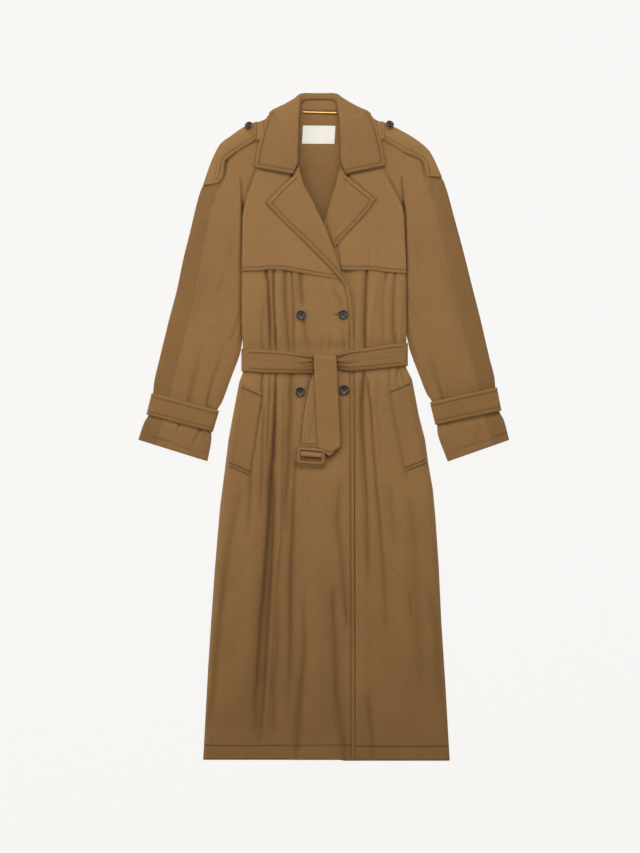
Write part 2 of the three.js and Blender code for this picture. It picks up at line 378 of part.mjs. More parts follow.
// A band round a sleeve between two of its sections.
function cuffStrap(a, b) {
  const AROUND = [
    { s: 0.02, z: 8.2 }, { s: 0.16, z: 9.6 }, { s: 0.4, z: 10.4 }, { s: 0.7, z: 10.2 }, { s: 0.94, z: 8.8 },
    { s: 0.992, z: 7.4 }, { s: 1, z: 3.4 }, { s: 0.992, z: 0.3 }, { s: 0.965, z: 0 }, { s: 0.5, z: 0 }, { s: 0.06, z: 0 },
    { s: 0.013, z: 0.5 }, { s: 0, z: 3.4 }, { s: 0.006, z: 6 },
  ];
  const DOWN = [0, 0.5, 1];
  return DOWN.map((v) => AROUND.map(({ s, z }) =>
    at(mix(mix(a.ox, b.ox, v), mix(a.ix, b.ix, v), s), mix(mix(a.oy, b.oy, v), mix(a.iy, b.iy, v), s), z)));
}
const RIGHT_STRAP = [{ ox: 151.7, oy: 393.2, ix: 219.2, iy: 411.2 }, { ox: 146.6, oy: 414.3, ix: 213, iy: 431.7 }];
const LEFT_STRAP = [{ ox: 496.9, oy: 387.5, ix: 429.8, iy: 402.7 }, { ox: 501.3, oy: 410.3, ix: 435.2, iy: 424.7 }];

// ---- Epaulettes: from the collar, over the shoulder fold, to the overarm seam -----------------------------------------
// Each row is one section: the front edge (f) on the upper side and the fold over the shoulder (s).
const RIGHT_EPAULETTE = [
  { fx: 256.3, fy: 139.7, sx: 256.7, sy: 121.7 },
  { fx: 249.4, fy: 144, sx: 245, sy: 126.6 },
  { fx: 239.6, fy: 150.2, sx: 230.6, sy: 136.4 },
  { fx: 229.8, fy: 157, sx: 220.7, sy: 143.9 },
  { fx: 224.6, fy: 162.4, sx: 214.3, sy: 154.9 },
  { fx: 223.8, fy: 171, sx: 209.5, sy: 166.5 },
  { fx: 221.8, fy: 178.4, sx: 206, sy: 176.5 },
  { fx: 218.6, fy: 183.2, sx: 203, sy: 185.4 },
];
const LEFT_EPAULETTE = [
  { fx: 383.4, fy: 139.7, sx: 382, sy: 121.4 },
  { fx: 391.5, fy: 144.6, sx: 393, sy: 126.6 },
  { fx: 403.7, fy: 152.2, sx: 408.5, sy: 134.9 },
  { fx: 414, fy: 156.6, sx: 419.5, sy: 142.2 },
  { fx: 420.5, fy: 160.6, sx: 429.2, sy: 151.2 },
  { fx: 423.8, fy: 165, sx: 435, sy: 161.5 },
  { fx: 426, fy: 171, sx: 438.6, sy: 169.6 },
  { fx: 427.2, fy: 175.9, sx: 442, sy: 177.4 },
];
function epaulette(sections, inward) {
  const ACROSS = [{ k: 0 }, { k: 0.45 }, { k: 0.82 }, { k: 0.97 }, { fold: 1, z: 5.6 }, { fold: 1, z: 2 }, { fold: 0.972, z: 0.3 }, { fold: 0.9, z: 0 }, { fold: 0.5, z: 0 }];
  const top = (k) => 11.9 + 0.5 * Math.sin(Math.PI * k) - 2.6 * clamp((k - 0.6) / 0.4) ** 2;
  return sections.map((e) => ACROSS.map(({ k, fold, z }) => fold === undefined
    ? at(mix(e.fx, e.sx, k), mix(e.fy, e.sy, k), top(k))
    : at(mix(e.fx, e.sx, fold), mix(e.fy, e.sy, fold), z)));
}
// The loop that holds the epaulette's end down, between it and the collar.
const RIGHT_LOOP = [{ fx: 262.2, fy: 140.6, sx: 263.6, sy: 118.7 }, { fx: 257.2, fy: 140.4, sx: 257.6, sy: 121.2 }];
const LEFT_LOOP = [{ fx: 377.2, fy: 140.6, sx: 376.2, sy: 118.7 }, { fx: 382.5, fy: 140.4, sx: 381.2, sy: 121 }];
function shoulderLoop(sections) {
  const ACROSS = [{ k: 0, z: 11 }, { k: 0.5, z: 11.3 }, { k: 0.85, z: 10.3 }, { k: 0.97, z: 8.6 }, { k: 1, z: 5.2 }, { k: 1, z: 2 }, { k: 0.97, z: 0.3 }, { k: 0.9, z: 0 }, { k: 0.7, z: 0 }];
  return sections.map((e) => ACROSS.map(({ k, z }) => at(mix(e.fx, e.sx, k), mix(e.fy, e.sy, k), z)));
}

// ---- Belt -------------------------------------------------------------------------------------------------------------
// From the knot to the right side, beneath the back, up at the left side and back to the knot. Each row is one section:
// its place (x), the outer skin's height (z) and its upper and lower edge (top, foot).
const BELT = [
  { x: 325, z: 12.2, top: 357.6, foot: 372.6 }, { x: 314, z: 12, top: 356.2, foot: 373.4 }, { x: 296, z: 11.7, top: 353.6, foot: 373.2 },
  { x: 278, z: 11.5, top: 351, foot: 372.8 }, { x: 260, z: 11.4, top: 349.7, foot: 372 }, { x: 248.5, z: 10.9, top: 349.2, foot: 371.2 },
  { x: 243, z: 9.6, top: 349.2, foot: 371 }, { x: 241, z: 6, top: 349.2, foot: 371 }, { x: 241.4, z: 1.6, top: 349.2, foot: 371 },
  { x: 245, z: 0, top: 349.2, foot: 371 }, { x: 284, z: 0, top: 348, foot: 370 }, { x: 324, z: 0, top: 346.6, foot: 368.6 },
  { x: 365, z: 0, top: 345.3, foot: 367.3 }, { x: 404, z: 0, top: 344.2, foot: 366 }, { x: 407.8, z: 1.6, top: 344.2, foot: 366 },
  { x: 408.2, z: 6, top: 344.2, foot: 366 }, { x: 406.2, z: 9.6, top: 344.2, foot: 366 }, { x: 400.8, z: 10.9, top: 344.8, foot: 366.3 },
  { x: 386, z: 11.4, top: 346.7, foot: 367.7 }, { x: 368, z: 11.6, top: 350.2, foot: 369 }, { x: 350, z: 12, top: 354, foot: 370.6 },
  { x: 342, z: 12.3, top: 356, foot: 368.4 }, { x: 334, z: 12.3, top: 357.8, foot: 366.8 }, { x: 326, z: 12.3, top: 358, foot: 367 },
];
const beltGrid = BELT.map((b) => [0, 0.5, 1].map((v) => at(b.x, mix(b.top, b.foot, v), b.z)));
// The two ends. Each row is one section: its left and right edge (lx, ly, rx, ry) and its outer skin's height (z).
// The pointed end comes from beneath, over the top of the knot, and hangs in front.
const BELT_POINT = [
  { lx: 314.4, ly: 366, rx: 336, ry: 367, z: 12.9 }, { lx: 314.3, ly: 359, rx: 336.2, ry: 360.4, z: 13 },
  { lx: 314.2, ly: 355.6, rx: 336.4, ry: 357.2, z: 14.2 }, { lx: 314.2, ly: 354.8, rx: 336.5, ry: 356.4, z: 16.2 },
  { lx: 314.2, ly: 355.6, rx: 336.6, ry: 357.2, z: 18 }, { lx: 314.3, ly: 359.4, rx: 336.8, ry: 360.8, z: 19 },
  { lx: 314.8, ly: 372, rx: 337.4, ry: 373, z: 18.8 }, { lx: 317.8, ly: 401, rx: 338.4, ry: 401, z: 18.4 },
  { lx: 319.2, ly: 425, rx: 339.4, ry: 425, z: 18.6 }, { lx: 319.7, ly: 445.2, rx: 340.4, ry: 445.6, z: 19.8 },
  { lx: 326.5, ly: 450.9, rx: 335.2, ry: 450.9, z: 20.1 }, { lx: 329.4, ly: 455.7, rx: 330.4, ry: 455.7, z: 20.2 },
];
// The other end hangs behind it, passes over the buckle's bar and is turned back and stitched down beneath.
const BELT_BUCKLE_END = [
  { lx: 313.6, ly: 374.6, rx: 327, ry: 374.6, z: 13.8 }, { lx: 309.4, ly: 390, rx: 324.6, ry: 390, z: 14.6 },
  { lx: 306.6, ly: 406.5, rx: 322.6, ry: 407, z: 15 }, { lx: 303.6, ly: 430, rx: 322.8, ry: 431, z: 15.6 },
  { lx: 302, ly: 442.5, rx: 322.9, ry: 443.9, z: 16 }, { lx: 301.7, ly: 450.2, rx: 322.3, ry: 451.8, z: 15.9 },
  { lx: 301.5, ly: 452, rx: 322.1, ry: 453.6, z: 18.4 }, { lx: 301.4, ly: 453.4, rx: 322, ry: 455, z: 20.6 },
  { lx: 301.3, ly: 454.4, rx: 321.9, ry: 456, z: 21.1 }, { lx: 301.2, ly: 456, rx: 321.8, ry: 457.6, z: 19.8 },
  { lx: 301.2, ly: 456.6, rx: 321.8, ry: 458.2, z: 17.2 }, { lx: 301.2, ly: 455.8, rx: 321.8, ry: 457.4, z: 14.9 },
  { lx: 301.3, ly: 453.8, rx: 321.9, ry: 455.4, z: 14 }, { lx: 301.5, ly: 451.2, rx: 322.1, ry: 452.8, z: 12.6 },
  { lx: 301.7, ly: 448.6, rx: 322.3, ry: 450.2, z: 11.7 }, { lx: 302, ly: 443.8, rx: 322.9, ry: 445.2, z: 11.7 },
];
const strip = (rows) => rows.map((b) => [0, 0.5, 1].map((v) => at(mix(b.lx, b.rx, v), mix(b.ly, b.ry, v), b.z)));

// ---- Pockets: slanting welts ------------------------------------------------------------------------------------------
// Upper and lower ends of each welt: side edge (s) and inner edge (n).
const RIGHT_POCKET = [{ sx: 241.9, sy: 384, nx: 262.5, ny: 393.2 }, { sx: 229.6, sy: 466.5, nx: 250, ny: 475.2 }];
const LEFT_POCKET = [{ sx: 409.5, sy: 380.8, nx: 389.4, ny: 389 }, { sx: 426, sy: 463.4, nx: 405.2, ny: 471.6 }];
function pocket(ends, height) {
  const DOWN = [0, 0.2, 0.4, 0.6, 0.8, 1], ACROSS = [0, 0.5, 1];
  return DOWN.map((v) => ACROSS.map((u) => {
    const x = mix(mix(ends[0].sx, ends[1].sx, v), mix(ends[0].nx, ends[1].nx, v), u);
    const y = mix(mix(ends[0].sy, ends[1].sy, v), mix(ends[0].ny, ends[1].ny, v), u);
    return at(x, y, clearOf(height, x, y, 2.5) + LAYER + CLOTH);
  }));
}

// ---- Hard pieces ------------------------------------------------------------------------------------------------------
// A sew-through button: rounded rim, sunken middle.
function button({ r, rim, thick }) {
  const profile = [[0, 0], [r * 0.86, 0], [r, thick * 0.45], [r * 0.93, thick], [rim, thick], [rim * 0.86, thick * 0.62], [0, thick * 0.62]];
  const g = new THREE.LatheGeometry(profile.map(([x, y]) => new THREE.Vector2(x, y)), 12);
  return g.rotateX(Math.PI / 2);
}
function roundedRectangle(path, wide, tall, r) {
  const a = wide / 2, b = tall / 2;
  path.moveTo(-a + r, -b).lineTo(a - r, -b).absarc(a - r, -b + r, r, -Math.PI / 2, 0, false).lineTo(a, b - r)
    .absarc(a - r, b - r, r, 0, Math.PI / 2, false).lineTo(-a + r, b).absarc(-a + r, b - r, r, Math.PI / 2, Math.PI, false)
    .lineTo(-a, -b + r).absarc(-a + r, -b + r, r, Math.PI, Math.PI * 1.5, false);
  return path;
}
function buckleFrame() {
  const { wide, tall, bar, thick, corner } = BUCKLE;
  const shape = roundedRectangle(new THREE.Shape(), wide, tall, corner);
  shape.holes.push(roundedRectangle(new THREE.Path(), wide - 2 * bar, tall - 2 * bar, corner * 0.4));
  return new THREE.ExtrudeGeometry(shape, { depth: thick, bevelEnabled: false, curveSegments: 4 });
}

// ---- Assembly -----------------------------------------------------------------------------------------------------------
const CLOTH_LOOK = new THREE.MeshStandardMaterial({ color: 0x90703f, roughness: 0.85, metalness: 0 });
const HORN_LOOK = new THREE.MeshStandardMaterial({ color: 0x2a221d, roughness: 0.35, metalness: 0 });
const BRASS_LOOK = new THREE.MeshStandardMaterial({ color: 0xd9b25a, roughness: 0.25, metalness: 1 });
const LABEL_LOOK = new THREE.MeshStandardMaterial({ color: 0xf3f0e8, roughness: 0.7, metalness: 0 });
const coat = new THREE.Group();
function add(name, geometry, material = CLOTH_LOOK) {
  const mesh = new THREE.Mesh(geometry, material.clone());
  mesh.name = name;
  coat.add(mesh);
  return mesh;
}
const folded = (name, grid, t, turn, ring = false) => add(name, wall(grid, inset(grid, t, turn, ring), ring));

add("back", flatWall(backGrid));
add("front_right", flatWall(frontGrid(rightLines)));
add("front_left", flatWall(frontGrid(leftLines)));
add("storm_flap_right", flatWall(stormFlap(rightSide, rightFlapInner, rightFlapHem, onRight, FLAP_COLUMNS)));
add("storm_flap_left", flatWall(stormFlap(leftSide, leftFlapInner, leftFlapHem, onLeft, FLAP_COLUMNS)));
add("lapel_right", flatWall(lapel(RIGHT_LAPEL, 1, 0.8)));
add("lapel_left", flatWall(lapel(LEFT_LAPEL, -1, 0.8)));
folded("collar", [...RIGHT_COLLAR.map(collarSection), collarSection(NECK_COLLAR), ...LEFT_COLLAR.slice().reverse().map(collarSection)], CLOTH, -1);
add("collar_stand", flatWall([0, 0.5, 1].map((v) => [0, 0.33, 0.67, 1].map((u) =>
  at(mix(mix(301.6, 299.6, v), mix(336, 338.6, v), u), mix(100.4, 110.6, v), mix(5.9, 5.3, v))))));

add("sleeve_front_right", flatWall(sleeveFront(RIGHT_SLEEVE)));
folded("sleeve_back_right", sleeveBack(RIGHT_SLEEVE), CLOTH, 1);
add("sleeve_front_left", flatWall(sleeveFront(LEFT_SLEEVE)));
folded("sleeve_back_left", sleeveBack(LEFT_SLEEVE), CLOTH, -1);
folded("cuff_strap_right", cuffStrap(...RIGHT_STRAP), CLOTH, -1, true);
folded("cuff_strap_left", cuffStrap(...LEFT_STRAP), CLOTH, 1, true);
folded("epaulette_right", epaulette(RIGHT_EPAULETTE), CLOTH, 1);
folded("epaulette_left", epaulette(LEFT_EPAULETTE), CLOTH, -1);
folded("epaulette_loop_right", shoulderLoop(RIGHT_LOOP), CLOTH, 1);
folded("epaulette_loop_left", shoulderLoop(LEFT_LOOP), CLOTH, -1);

folded("belt", beltGrid, BELT_CLOTH, -1);
folded("belt_point_end", strip(BELT_POINT), BELT_CLOTH, -1);
folded("belt_buckle_end", strip(BELT_BUCKLE_END), BELT_CLOTH, -1);
add("pocket_right", flatWall(pocket(RIGHT_POCKET, onRight)));
add("pocket_left", flatWall(pocket(LEFT_POCKET, onLeft)));

const BUTTONS = [
  { name: "button_upper_right", x: 301.2, y: 315.2, on: onRight },
  { name: "button_upper_left", x: 343, y: 314.8, on: onRight },
  { name: "button_lower_right", x: 300.4, y: 392.1, on: onRight },
  { name: "button_lower_left", x: 344, y: 390, on: onRight },
];
for (const b of BUTTONS) add(b.name, button(BUTTON), HORN_LOOK).position.copy(at(b.x, b.y, clearOf(b.on, b.x, b.y, 4.8) + GAP));
// The epaulettes' buttons sit over the shoulder fold, so they lean outwards from the coat.
const SHOULDER_BUTTONS = [
  { name: "button_epaulette_right", x: 249, y: 126, z: 13.2, lean: 34, turn: 28 },
  { name: "button_epaulette_left", x: 389.8, y: 125.2, z: 13.2, lean: 34, turn: -26 },
];
for (const b of SHOULDER_BUTTONS) {
  const mesh = add(b.name, button(EPAULETTE_BUTTON), HORN_LOOK);
  mesh.position.copy(at(b.x, b.y, b.z));
  mesh.rotation.set(THREE.MathUtils.degToRad(-b.lean), 0, THREE.MathUtils.degToRad(b.turn), "ZXY");
}

const buckle = new THREE.Group();
buckle.position.copy(at(311.35, 456.2, 16.6));
buckle.rotation.z = THREE.MathUtils.degToRad(-4.8);
coat.add(buckle);
const frame = new THREE.Mesh(buckleFrame(), CLOTH_LOOK.clone());
frame.name = "buckle_frame";
buckle.add(frame);
const bar = new THREE.Mesh(new THREE.CylinderGeometry(0.7, 0.7, BUCKLE.wide - 2 * BUCKLE.bar - 0.8, 10), BRASS_LOOK.clone());
bar.name = "buckle_bar";
bar.rotation.z = Math.PI / 2;
bar.position.set(0, 1.3, 0.8);
buckle.add(bar);

const hanger = add("hanger_bar", new THREE.CylinderGeometry(HANGER_BAR.r, HANGER_BAR.r, HANGER_BAR.length, 12), BRASS_LOOK);
hanger.rotation.z = Math.PI / 2 + 0.012;
hanger.position.copy(at(319.8, 112.8, COLLAR_LIFT + CLOTH + GAP + HANGER_BAR.r));
const label = add("label", new THREE.BoxGeometry(LABEL.wide, LABEL.tall, LABEL.thick), LABEL_LOOK);
label.position.copy(at(318.7, 135, COLLAR_LIFT + CLOTH + GAP + LABEL.thick / 2));

export default coat;
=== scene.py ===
# A double-breasted trench coat laid flat on a pale floor, seen from straight above.
#
# Plan positions are in squares of the pattern grid (1.88 mm), x to the right and y down from the collar to the hem,
# as in the frame's own source. Heights and thicknesses are in millimetres. Every mesh is made in metres.
import math

import bpy
import numpy as np
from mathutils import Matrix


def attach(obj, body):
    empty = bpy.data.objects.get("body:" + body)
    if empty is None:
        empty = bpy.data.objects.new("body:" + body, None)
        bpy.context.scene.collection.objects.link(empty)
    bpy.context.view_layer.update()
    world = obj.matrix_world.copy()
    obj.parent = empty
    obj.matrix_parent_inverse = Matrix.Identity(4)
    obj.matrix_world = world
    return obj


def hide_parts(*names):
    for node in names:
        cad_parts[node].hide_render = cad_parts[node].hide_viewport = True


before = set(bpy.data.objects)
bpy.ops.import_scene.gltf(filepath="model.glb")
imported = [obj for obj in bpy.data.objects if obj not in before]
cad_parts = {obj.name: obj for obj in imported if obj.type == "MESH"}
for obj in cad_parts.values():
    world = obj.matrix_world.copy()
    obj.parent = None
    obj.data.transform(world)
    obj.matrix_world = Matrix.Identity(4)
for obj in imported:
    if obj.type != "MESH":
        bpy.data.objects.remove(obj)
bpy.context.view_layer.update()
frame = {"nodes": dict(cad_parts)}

U = 1.88
MX, MY = 323.75, 426.2
T = 1.5  # cloth
TB = 2.0  # belt, which is cloth folded double

# ---- Small tools -----------------------------------------------------------------------------------------------------


def mm(x, y, z):
    """Grid squares and a height to millimetres."""
    x, y, z = np.broadcast_arrays(np.asarray(x, float), np.asarray(y, float), np.asarray(z, float))
    return np.stack([(x - MX) * U, (MY - y) * U, z], -1)


def smooth(t):
    t = np.clip(t, 0, 1)
    return t * t * (3 - 2 * t)


def mix(a, b, t):
    return a + (b - a) * t


def pchip(xk, yk):
    """A smooth line through points that never overshoots them."""
    xk, yk = np.asarray(xk, float), np.asarray(yk, float)
    if len(xk) < 3:
        return lambda x: np.interp(x, xk, yk)
    h = np.diff(xk)
    d = np.diff(yk) / h
    m = np.zeros(len(xk))
    for i in range(1, len(xk) - 1):
        if d[i - 1] * d[i] > 0:
            w1, w2 = 2 * h[i] + h[i - 1], h[i] + 2 * h[i - 1]
            m[i] = (w1 + w2) / (w1 / d[i - 1] + w2 / d[i])
    m[0], m[-1] = d[0], d[-1]

    def f(x):
        x = np.clip(x, xk[0], xk[-1])
        i = np.clip(np.searchsorted(xk, x, side="right") - 1, 0, len(h) - 1)
        t = (x - xk[i]) / h[i]
        return ((1 + 2 * t) * (1 - t) ** 2 * yk[i] + t * (1 - t) ** 2 * h[i] * m[i]
                + t * t * (3 - 2 * t) * yk[i + 1] + t * t * (t - 1) * h[i] * m[i + 1])

    return f


def line_of(rows):
    """x as a function of y, from rows of (y, x)."""
    return pchip([r[0] for r in rows], [r[1] for r in rows])


def straight(rows):
    ys, xs = [r[0] for r in rows], [r[1] for r in rows]
    return lambda y: np.interp(y, ys, xs)


def distance(x, y, path):
    """How far each point is from a line of points on the grid."""
    best = np.full(np.shape(x), 1e9)
    for (ax, ay), (bx, by) in zip(path[:-1], path[1:]):
        dx, dy = bx - ax, by - ay
        ll = dx * dx + dy * dy
        if ll < 1e-12:
            continue
        t = np.clip(((x - ax) * dx + (y - ay) * dy) / ll, 0, 1)
        best = np.minimum(best, np.hypot(x - ax - t * dx, y - ay - t * dy))
    return best


def offset(path, d):
    """A line of points moved sideways by d, with mitred corners. Positive d is to the left when walking along it with
    y counted downwards."""
    p = np.asarray(path, float)
    out = []
    for i in range(len(p)):
        dirs = []
        if i > 0:
            v = p[i] - p[i - 1]
            dirs.append(v / max(np.hypot(*v), 1e-9))
        if i < len(p) - 1:
            v = p[i + 1] - p[i]
            dirs.append(v / max(np.hypot(*v), 1e-9))
        n = sum(np.array([v[1], -v[0]]) for v in dirs)
        n /= max(np.hypot(*n), 1e-9)
        c = max(0.35, float(n @ np.array([dirs[0][1], -dirs[0][0]])))
        out.append(tuple(p[i] + n * d / c))
    return out


def spread(width, near, far, step, ends=(True, True)):
    """Places across a width: close together near its edges, and `step` apart between. All in grid squares."""
    a = [v for v in near] if ends[0] else [0.0]
    b = [v for v in far] if ends[1] else [0.0]
    lo, hi = a[-1], width - b[-1]
    n = max(2, int(round((hi - lo) / step)))
    return a[:-1], n, b[:-1], lo, b[-1]


EDGE = [0, 0.22, 0.5, 0.85, 1.3, 1.9, 2.4, 2.75, 3.05, 3.35, 3.65, 4.0, 4.6, 5.4]
EDGE_PLAIN = [0, 0.22, 0.5, 0.85, 1.3, 1.9, 2.6, 3.6]


def across(width, step, left=EDGE, right=EDGE, typical=None):
    """Shares from 0 to 1 for each of the widths given, the same number for each. Edge places keep their size."""
    width = np.asarray(width, float)
    typical = typical or float(np.median(width))
    inner = max(2, int(round((typical - left[-1] - right[-1]) / step)))
    room = np.maximum(width, 1e-6)
    k = np.minimum(1.0, room / (left[-1] + right[-1] + 1e-6) * 0.48 * 2)
    cols = [v * k / room for v in left]
    lo, hi = left[-1] * k, room - right[-1] * k
    for i in range(1, inner):
        cols.append((lo + (hi - lo) * i / inner) / room)
    cols += [(room - v * k) / room for v in reversed(right)]
    return np.stack(cols, -1)


class Waves:
    """Slow unevenness of laid cloth: a few seeded waves added together."""

    def __init__(self, seed, size, n=7, stretch=1.0):
        r = np.random.default_rng(seed)
        ang = r.uniform(0, 2 * math.pi, n)
        k = 2 * math.pi / (size * r.uniform(0.6, 1.6, n))
        self.kx, self.ky = k * np.cos(ang) * stretch, k * np.sin(ang)
        self.ph, self.a = r.uniform(0, 2 * math.pi, n), r.uniform(0.5, 1, n)

    def __call__(self, x, y):
        s = sum(a * np.sin(kx * x + ky * y + p) for a, kx, ky, p in zip(self.a, self.kx, self.ky, self.ph))
        return s / self.a.sum()


# ---- The height of what is laid so far ----------------------------------------------------------------------------------
STEP = 0.5
HX, HY, HW, HH = 120.0, 80.0, 830, 1400
HEIGHT = np.zeros((HH, HW))


def finer(a, k, axis):
    n = a.shape[axis]
    t = np.linspace(0, n - 1, (n - 1) * k + 1)
    i = np.minimum(t.astype(int), n - 2)
    f = t - i
    shape = [1] * a.ndim
    shape[axis] = len(f)
    f = f.reshape(shape)
    return np.take(a, i, axis) * (1 - f) + np.take(a, i + 1, axis) * f


def lay(x, y, z, target=None):
    """Adds a piece's skin to the map of heights."""
    target = HEIGHT if target is None else target
    dr = np.hypot(np.diff(x, axis=0), np.diff(y, axis=0)).max() if x.shape[0] > 1 else 1
    dc = np.hypot(np.diff(x, axis=1), np.diff(y, axis=1)).max() if x.shape[1] > 1 else 1
    kr, kc = int(min(24, math.ceil(dr / 0.4))), int(min(24, math.ceil(dc / 0.4)))
    for axis, k in ((0, kr), (1, kc)):
        if k > 1:
            x, y, z = finer(x, k, axis), finer(y, k, axis), finer(z, k, axis)
    i = np.round((y - HY) / STEP).astype(int).ravel()
    j = np.round((x - HX) / STEP).astype(int).ravel()
    ok = (i >= 0) & (i < HH) & (j >= 0) & (j < HW)
    np.maximum.at(target, (i[ok], j[ok]), z.ravel()[ok])


def widest(a, r):
    """The highest value within r cells."""
    out = a.copy()
    for _ in range(r):
        p = np.pad(out, 1, mode="edge")
        out = np.maximum.reduce([p[1:-1, 1:-1], p[:-2, 1:-1], p[2:, 1:-1], p[1:-1, :-2], p[1:-1, 2:]])
    return out


def blurred(a, sigma):
    n = int(3 * sigma)
    k = np.exp(-0.5 * (np.arange(-n, n + 1) / sigma) ** 2)
    k /= k.sum()
    p = np.pad(a, ((n, n), (0, 0)), mode="edge")
    a = sum(w * p[i:i + a.shape[0]] for i, w in enumerate(k))
    p = np.pad(a, ((0, 0), (n, n)), mode="edge")
    return sum(w * p[:, i:i + a.shape[1]] for i, w in enumerate(k))


def read(a, x, y):
    u, v = (np.asarray(x, float) - HX) / STEP, (np.asarray(y, float) - HY) / STEP
    j, i = np.clip(u.astype(int), 0, HW - 2), np.clip(v.astype(int), 0, HH - 2)
    fu, fv = np.clip(u - j, 0, 1), np.clip(v - i, 0, 1)
    return ((a[i, j] * (1 - fu) + a[i, j + 1] * fu) * (1 - fv) + (a[i + 1, j] * (1 - fu) + a[i + 1, j + 1] * fu) * fv)


def over(x, y, z, clearance, reach=2, soft=0.0):
    """Lifts a design height so that its underside clears what lies beneath."""
    high = widest(HEIGHT, reach)
    need = read(high, x, y)
    if soft:
        need = np.maximum(need, read(blurred(high, soft), x, y))
    return np.maximum(z, need + clearance)


# ---- Meshes -----------------------------------------------------------------------------------------------------------
PIECES = {}
TRIS = {}


def build(name, verts, faces, uv=None, painted_light=None):
    me = bpy.data.meshes.new(name)
    me.from_pydata(verts, [], faces)
    me.update()
    me.polygons.foreach_set("use_smooth", np.ones(len(me.polygons), bool))
    if uv is not None:
        layer = me.uv_layers.new(name="grain")
        idx = np.empty(len(me.loops), np.int32)
        me.loops.foreach_get("vertex_index", idx)
        layer.data.foreach_set("uv", np.asarray(uv, np.float32)[idx].ravel())
    # shade and highlight painted into each point's colour, read by the cloth material
    if painted_light is not None:
        at = me.attributes.new("painted_light", "FLOAT", "POINT")
        at.data.foreach_set("value", np.asarray(painted_light, np.float32))
    o = bpy.data.objects.new(name, me)
    bpy.context.collection.objects.link(o)
    TRIS[name] = sum(len(p.vertices) - 2 for p in me.polygons)
    return o


def volume_sign(v, f):
    a, b, c, d = v[f[:, 0]], v[f[:, 1]], v[f[:, 2]], v[f[:, 3]]
    return float((a * np.cross(b, c)).sum() + (a * np.cross(c, d)).sum())


def shell(name, x, y, z, t=T, ring=False, by_normal=False, bulge=1.0, grain=0.0, painted_light=None, node=None, painted_piece_shade=0.0):
    """A closed piece of cloth: outer skin, inner skin and a rounded rim. Rows run down, columns across."""
    g = mm(x, y, z)
    rows, cols, _ = g.shape
    if by_normal:
        dc = (np.roll(g, -1, 1) - np.roll(g, 1, 1)) if ring else np.gradient(g, axis=1)
        dr = np.gradient(g, axis=0)
        n = np.cross(dc, dr)
        n /= np.maximum(np.linalg.norm(n, axis=2, keepdims=True), 1e-9)
        top = np.unravel_index(np.argmax(g[..., 2] + 0.5 * np.abs(n[..., 2])), g.shape[:2])
        if n[top][2] < 0:
            n = -n
    else:
        n = np.zeros_like(g)
        n[..., 2] = 1
    inner = g - n * t
    count = rows * cols
    idx = np.arange(count).reshape(rows, cols)
    nxt = np.roll(idx, -1, 1) if ring else None
    if ring:
        a, b = idx[:-1], nxt[:-1]
        c, d = nxt[1:], idx[1:]
    else:
        a, b, c, d = idx[:-1, :-1], idx[:-1, 1:], idx[1:, 1:], idx[1:, :-1]
    top_faces = np.stack([a, b, c, d], -1).reshape(-1, 4)
    low_faces = top_faces[:, ::-1] + count
    verts = [g.reshape(-1, 3), inner.reshape(-1, 3)]
    faces = [top_faces, low_faces]
    loops = []
    if ring:
        loops.append((idx[0], idx[1]))
        loops.append((idx[-1][::-1], idx[-2][::-1]))
    else:
        loop = np.concatenate([idx[0], idx[1:, -1], idx[-1, -2::-1], idx[-2:0:-1, 0]])
        loops.append((loop, None))
    base = 2 * count
    flat_g, flat_i = g.reshape(-1, 3), inner.reshape(-1, 3)
    extra_uv = []
    for loop, inside in loops:
        if inside is None:
            r, c_ = loop // cols, loop % cols
            out = np.zeros((len(loop), 3))
            for test, dr_, dc_ in ((r == 0, 1, 0), (r == rows - 1, -1, 0), (c_ == 0, 0, 1), (c_ == cols - 1, 0, -1)):
                rr, cc = np.clip(r + dr_, 0, rows - 1), np.clip(c_ + dc_, 0, cols - 1)
                v = flat_g[loop] - g[rr, cc]
                v /= np.maximum(np.linalg.norm(v, axis=1, keepdims=True), 1e-9)
                out += v * test[:, None]
        else:
            out = flat_g[loop] - flat_g[inside]
        half = (flat_g[loop] - flat_i[loop]) / 2
        hn = half / np.maximum(np.linalg.norm(half, axis=1, keepdims=True), 1e-9)
        out -= hn * (out * hn).sum(1, keepdims=True)
        out /= np.maximum(np.linalg.norm(out, axis=1, keepdims=True), 1e-9)
        mid = (flat_g[loop] + flat_i[loop]) / 2
        size = np.linalg.norm(half, axis=1, keepdims=True)
        rings = [loop]
        for phi in (0.9, 0.0, -0.9):
            verts.append(mid + half * math.sin(phi) + out * size * math.cos(phi) * 0.8 * bulge)
            rings.append(base + np.arange(len(loop)))
            extra_uv.append(loop)
            base += len(loop)
        rings.append(loop + count)
        for p, q in zip(rings[:-1], rings[1:]):
            faces.append(np.stack([p, q, np.roll(q, -1), np.roll(p, -1)], -1))
    v = np.concatenate(verts)
    f = np.concatenate(faces)
    if volume_sign(v, f) < 0:
        f = f[:, ::-1]
    xy = g.reshape(-1, 3)[:, :2] * 1e-3
    ca, sa = math.cos(grain), math.sin(grain)
    uv = np.stack([xy[:, 0] * ca + xy[:, 1] * sa, -xy[:, 0] * sa + xy[:, 1] * ca], -1)
    uv = np.concatenate([uv, uv] + [uv[e] for e in extra_uv])
    # a whole piece can be painted darker with painted shade, on top of the painted shade and highlight of each point
    tn = np.full(count, painted_piece_shade) if painted_light is None else np.asarray(painted_light, float).ravel() + painted_piece_shade
    tn = np.concatenate([tn, tn] + [tn[e] for e in extra_uv])
    o = build(name, (v * 1e-3).tolist(), f.tolist(), uv, tn)
    lay(np.asarray(x, float), np.asarray(y, float), np.asarray(z, float))
    PIECES[name] = (o, node or name)
    return o


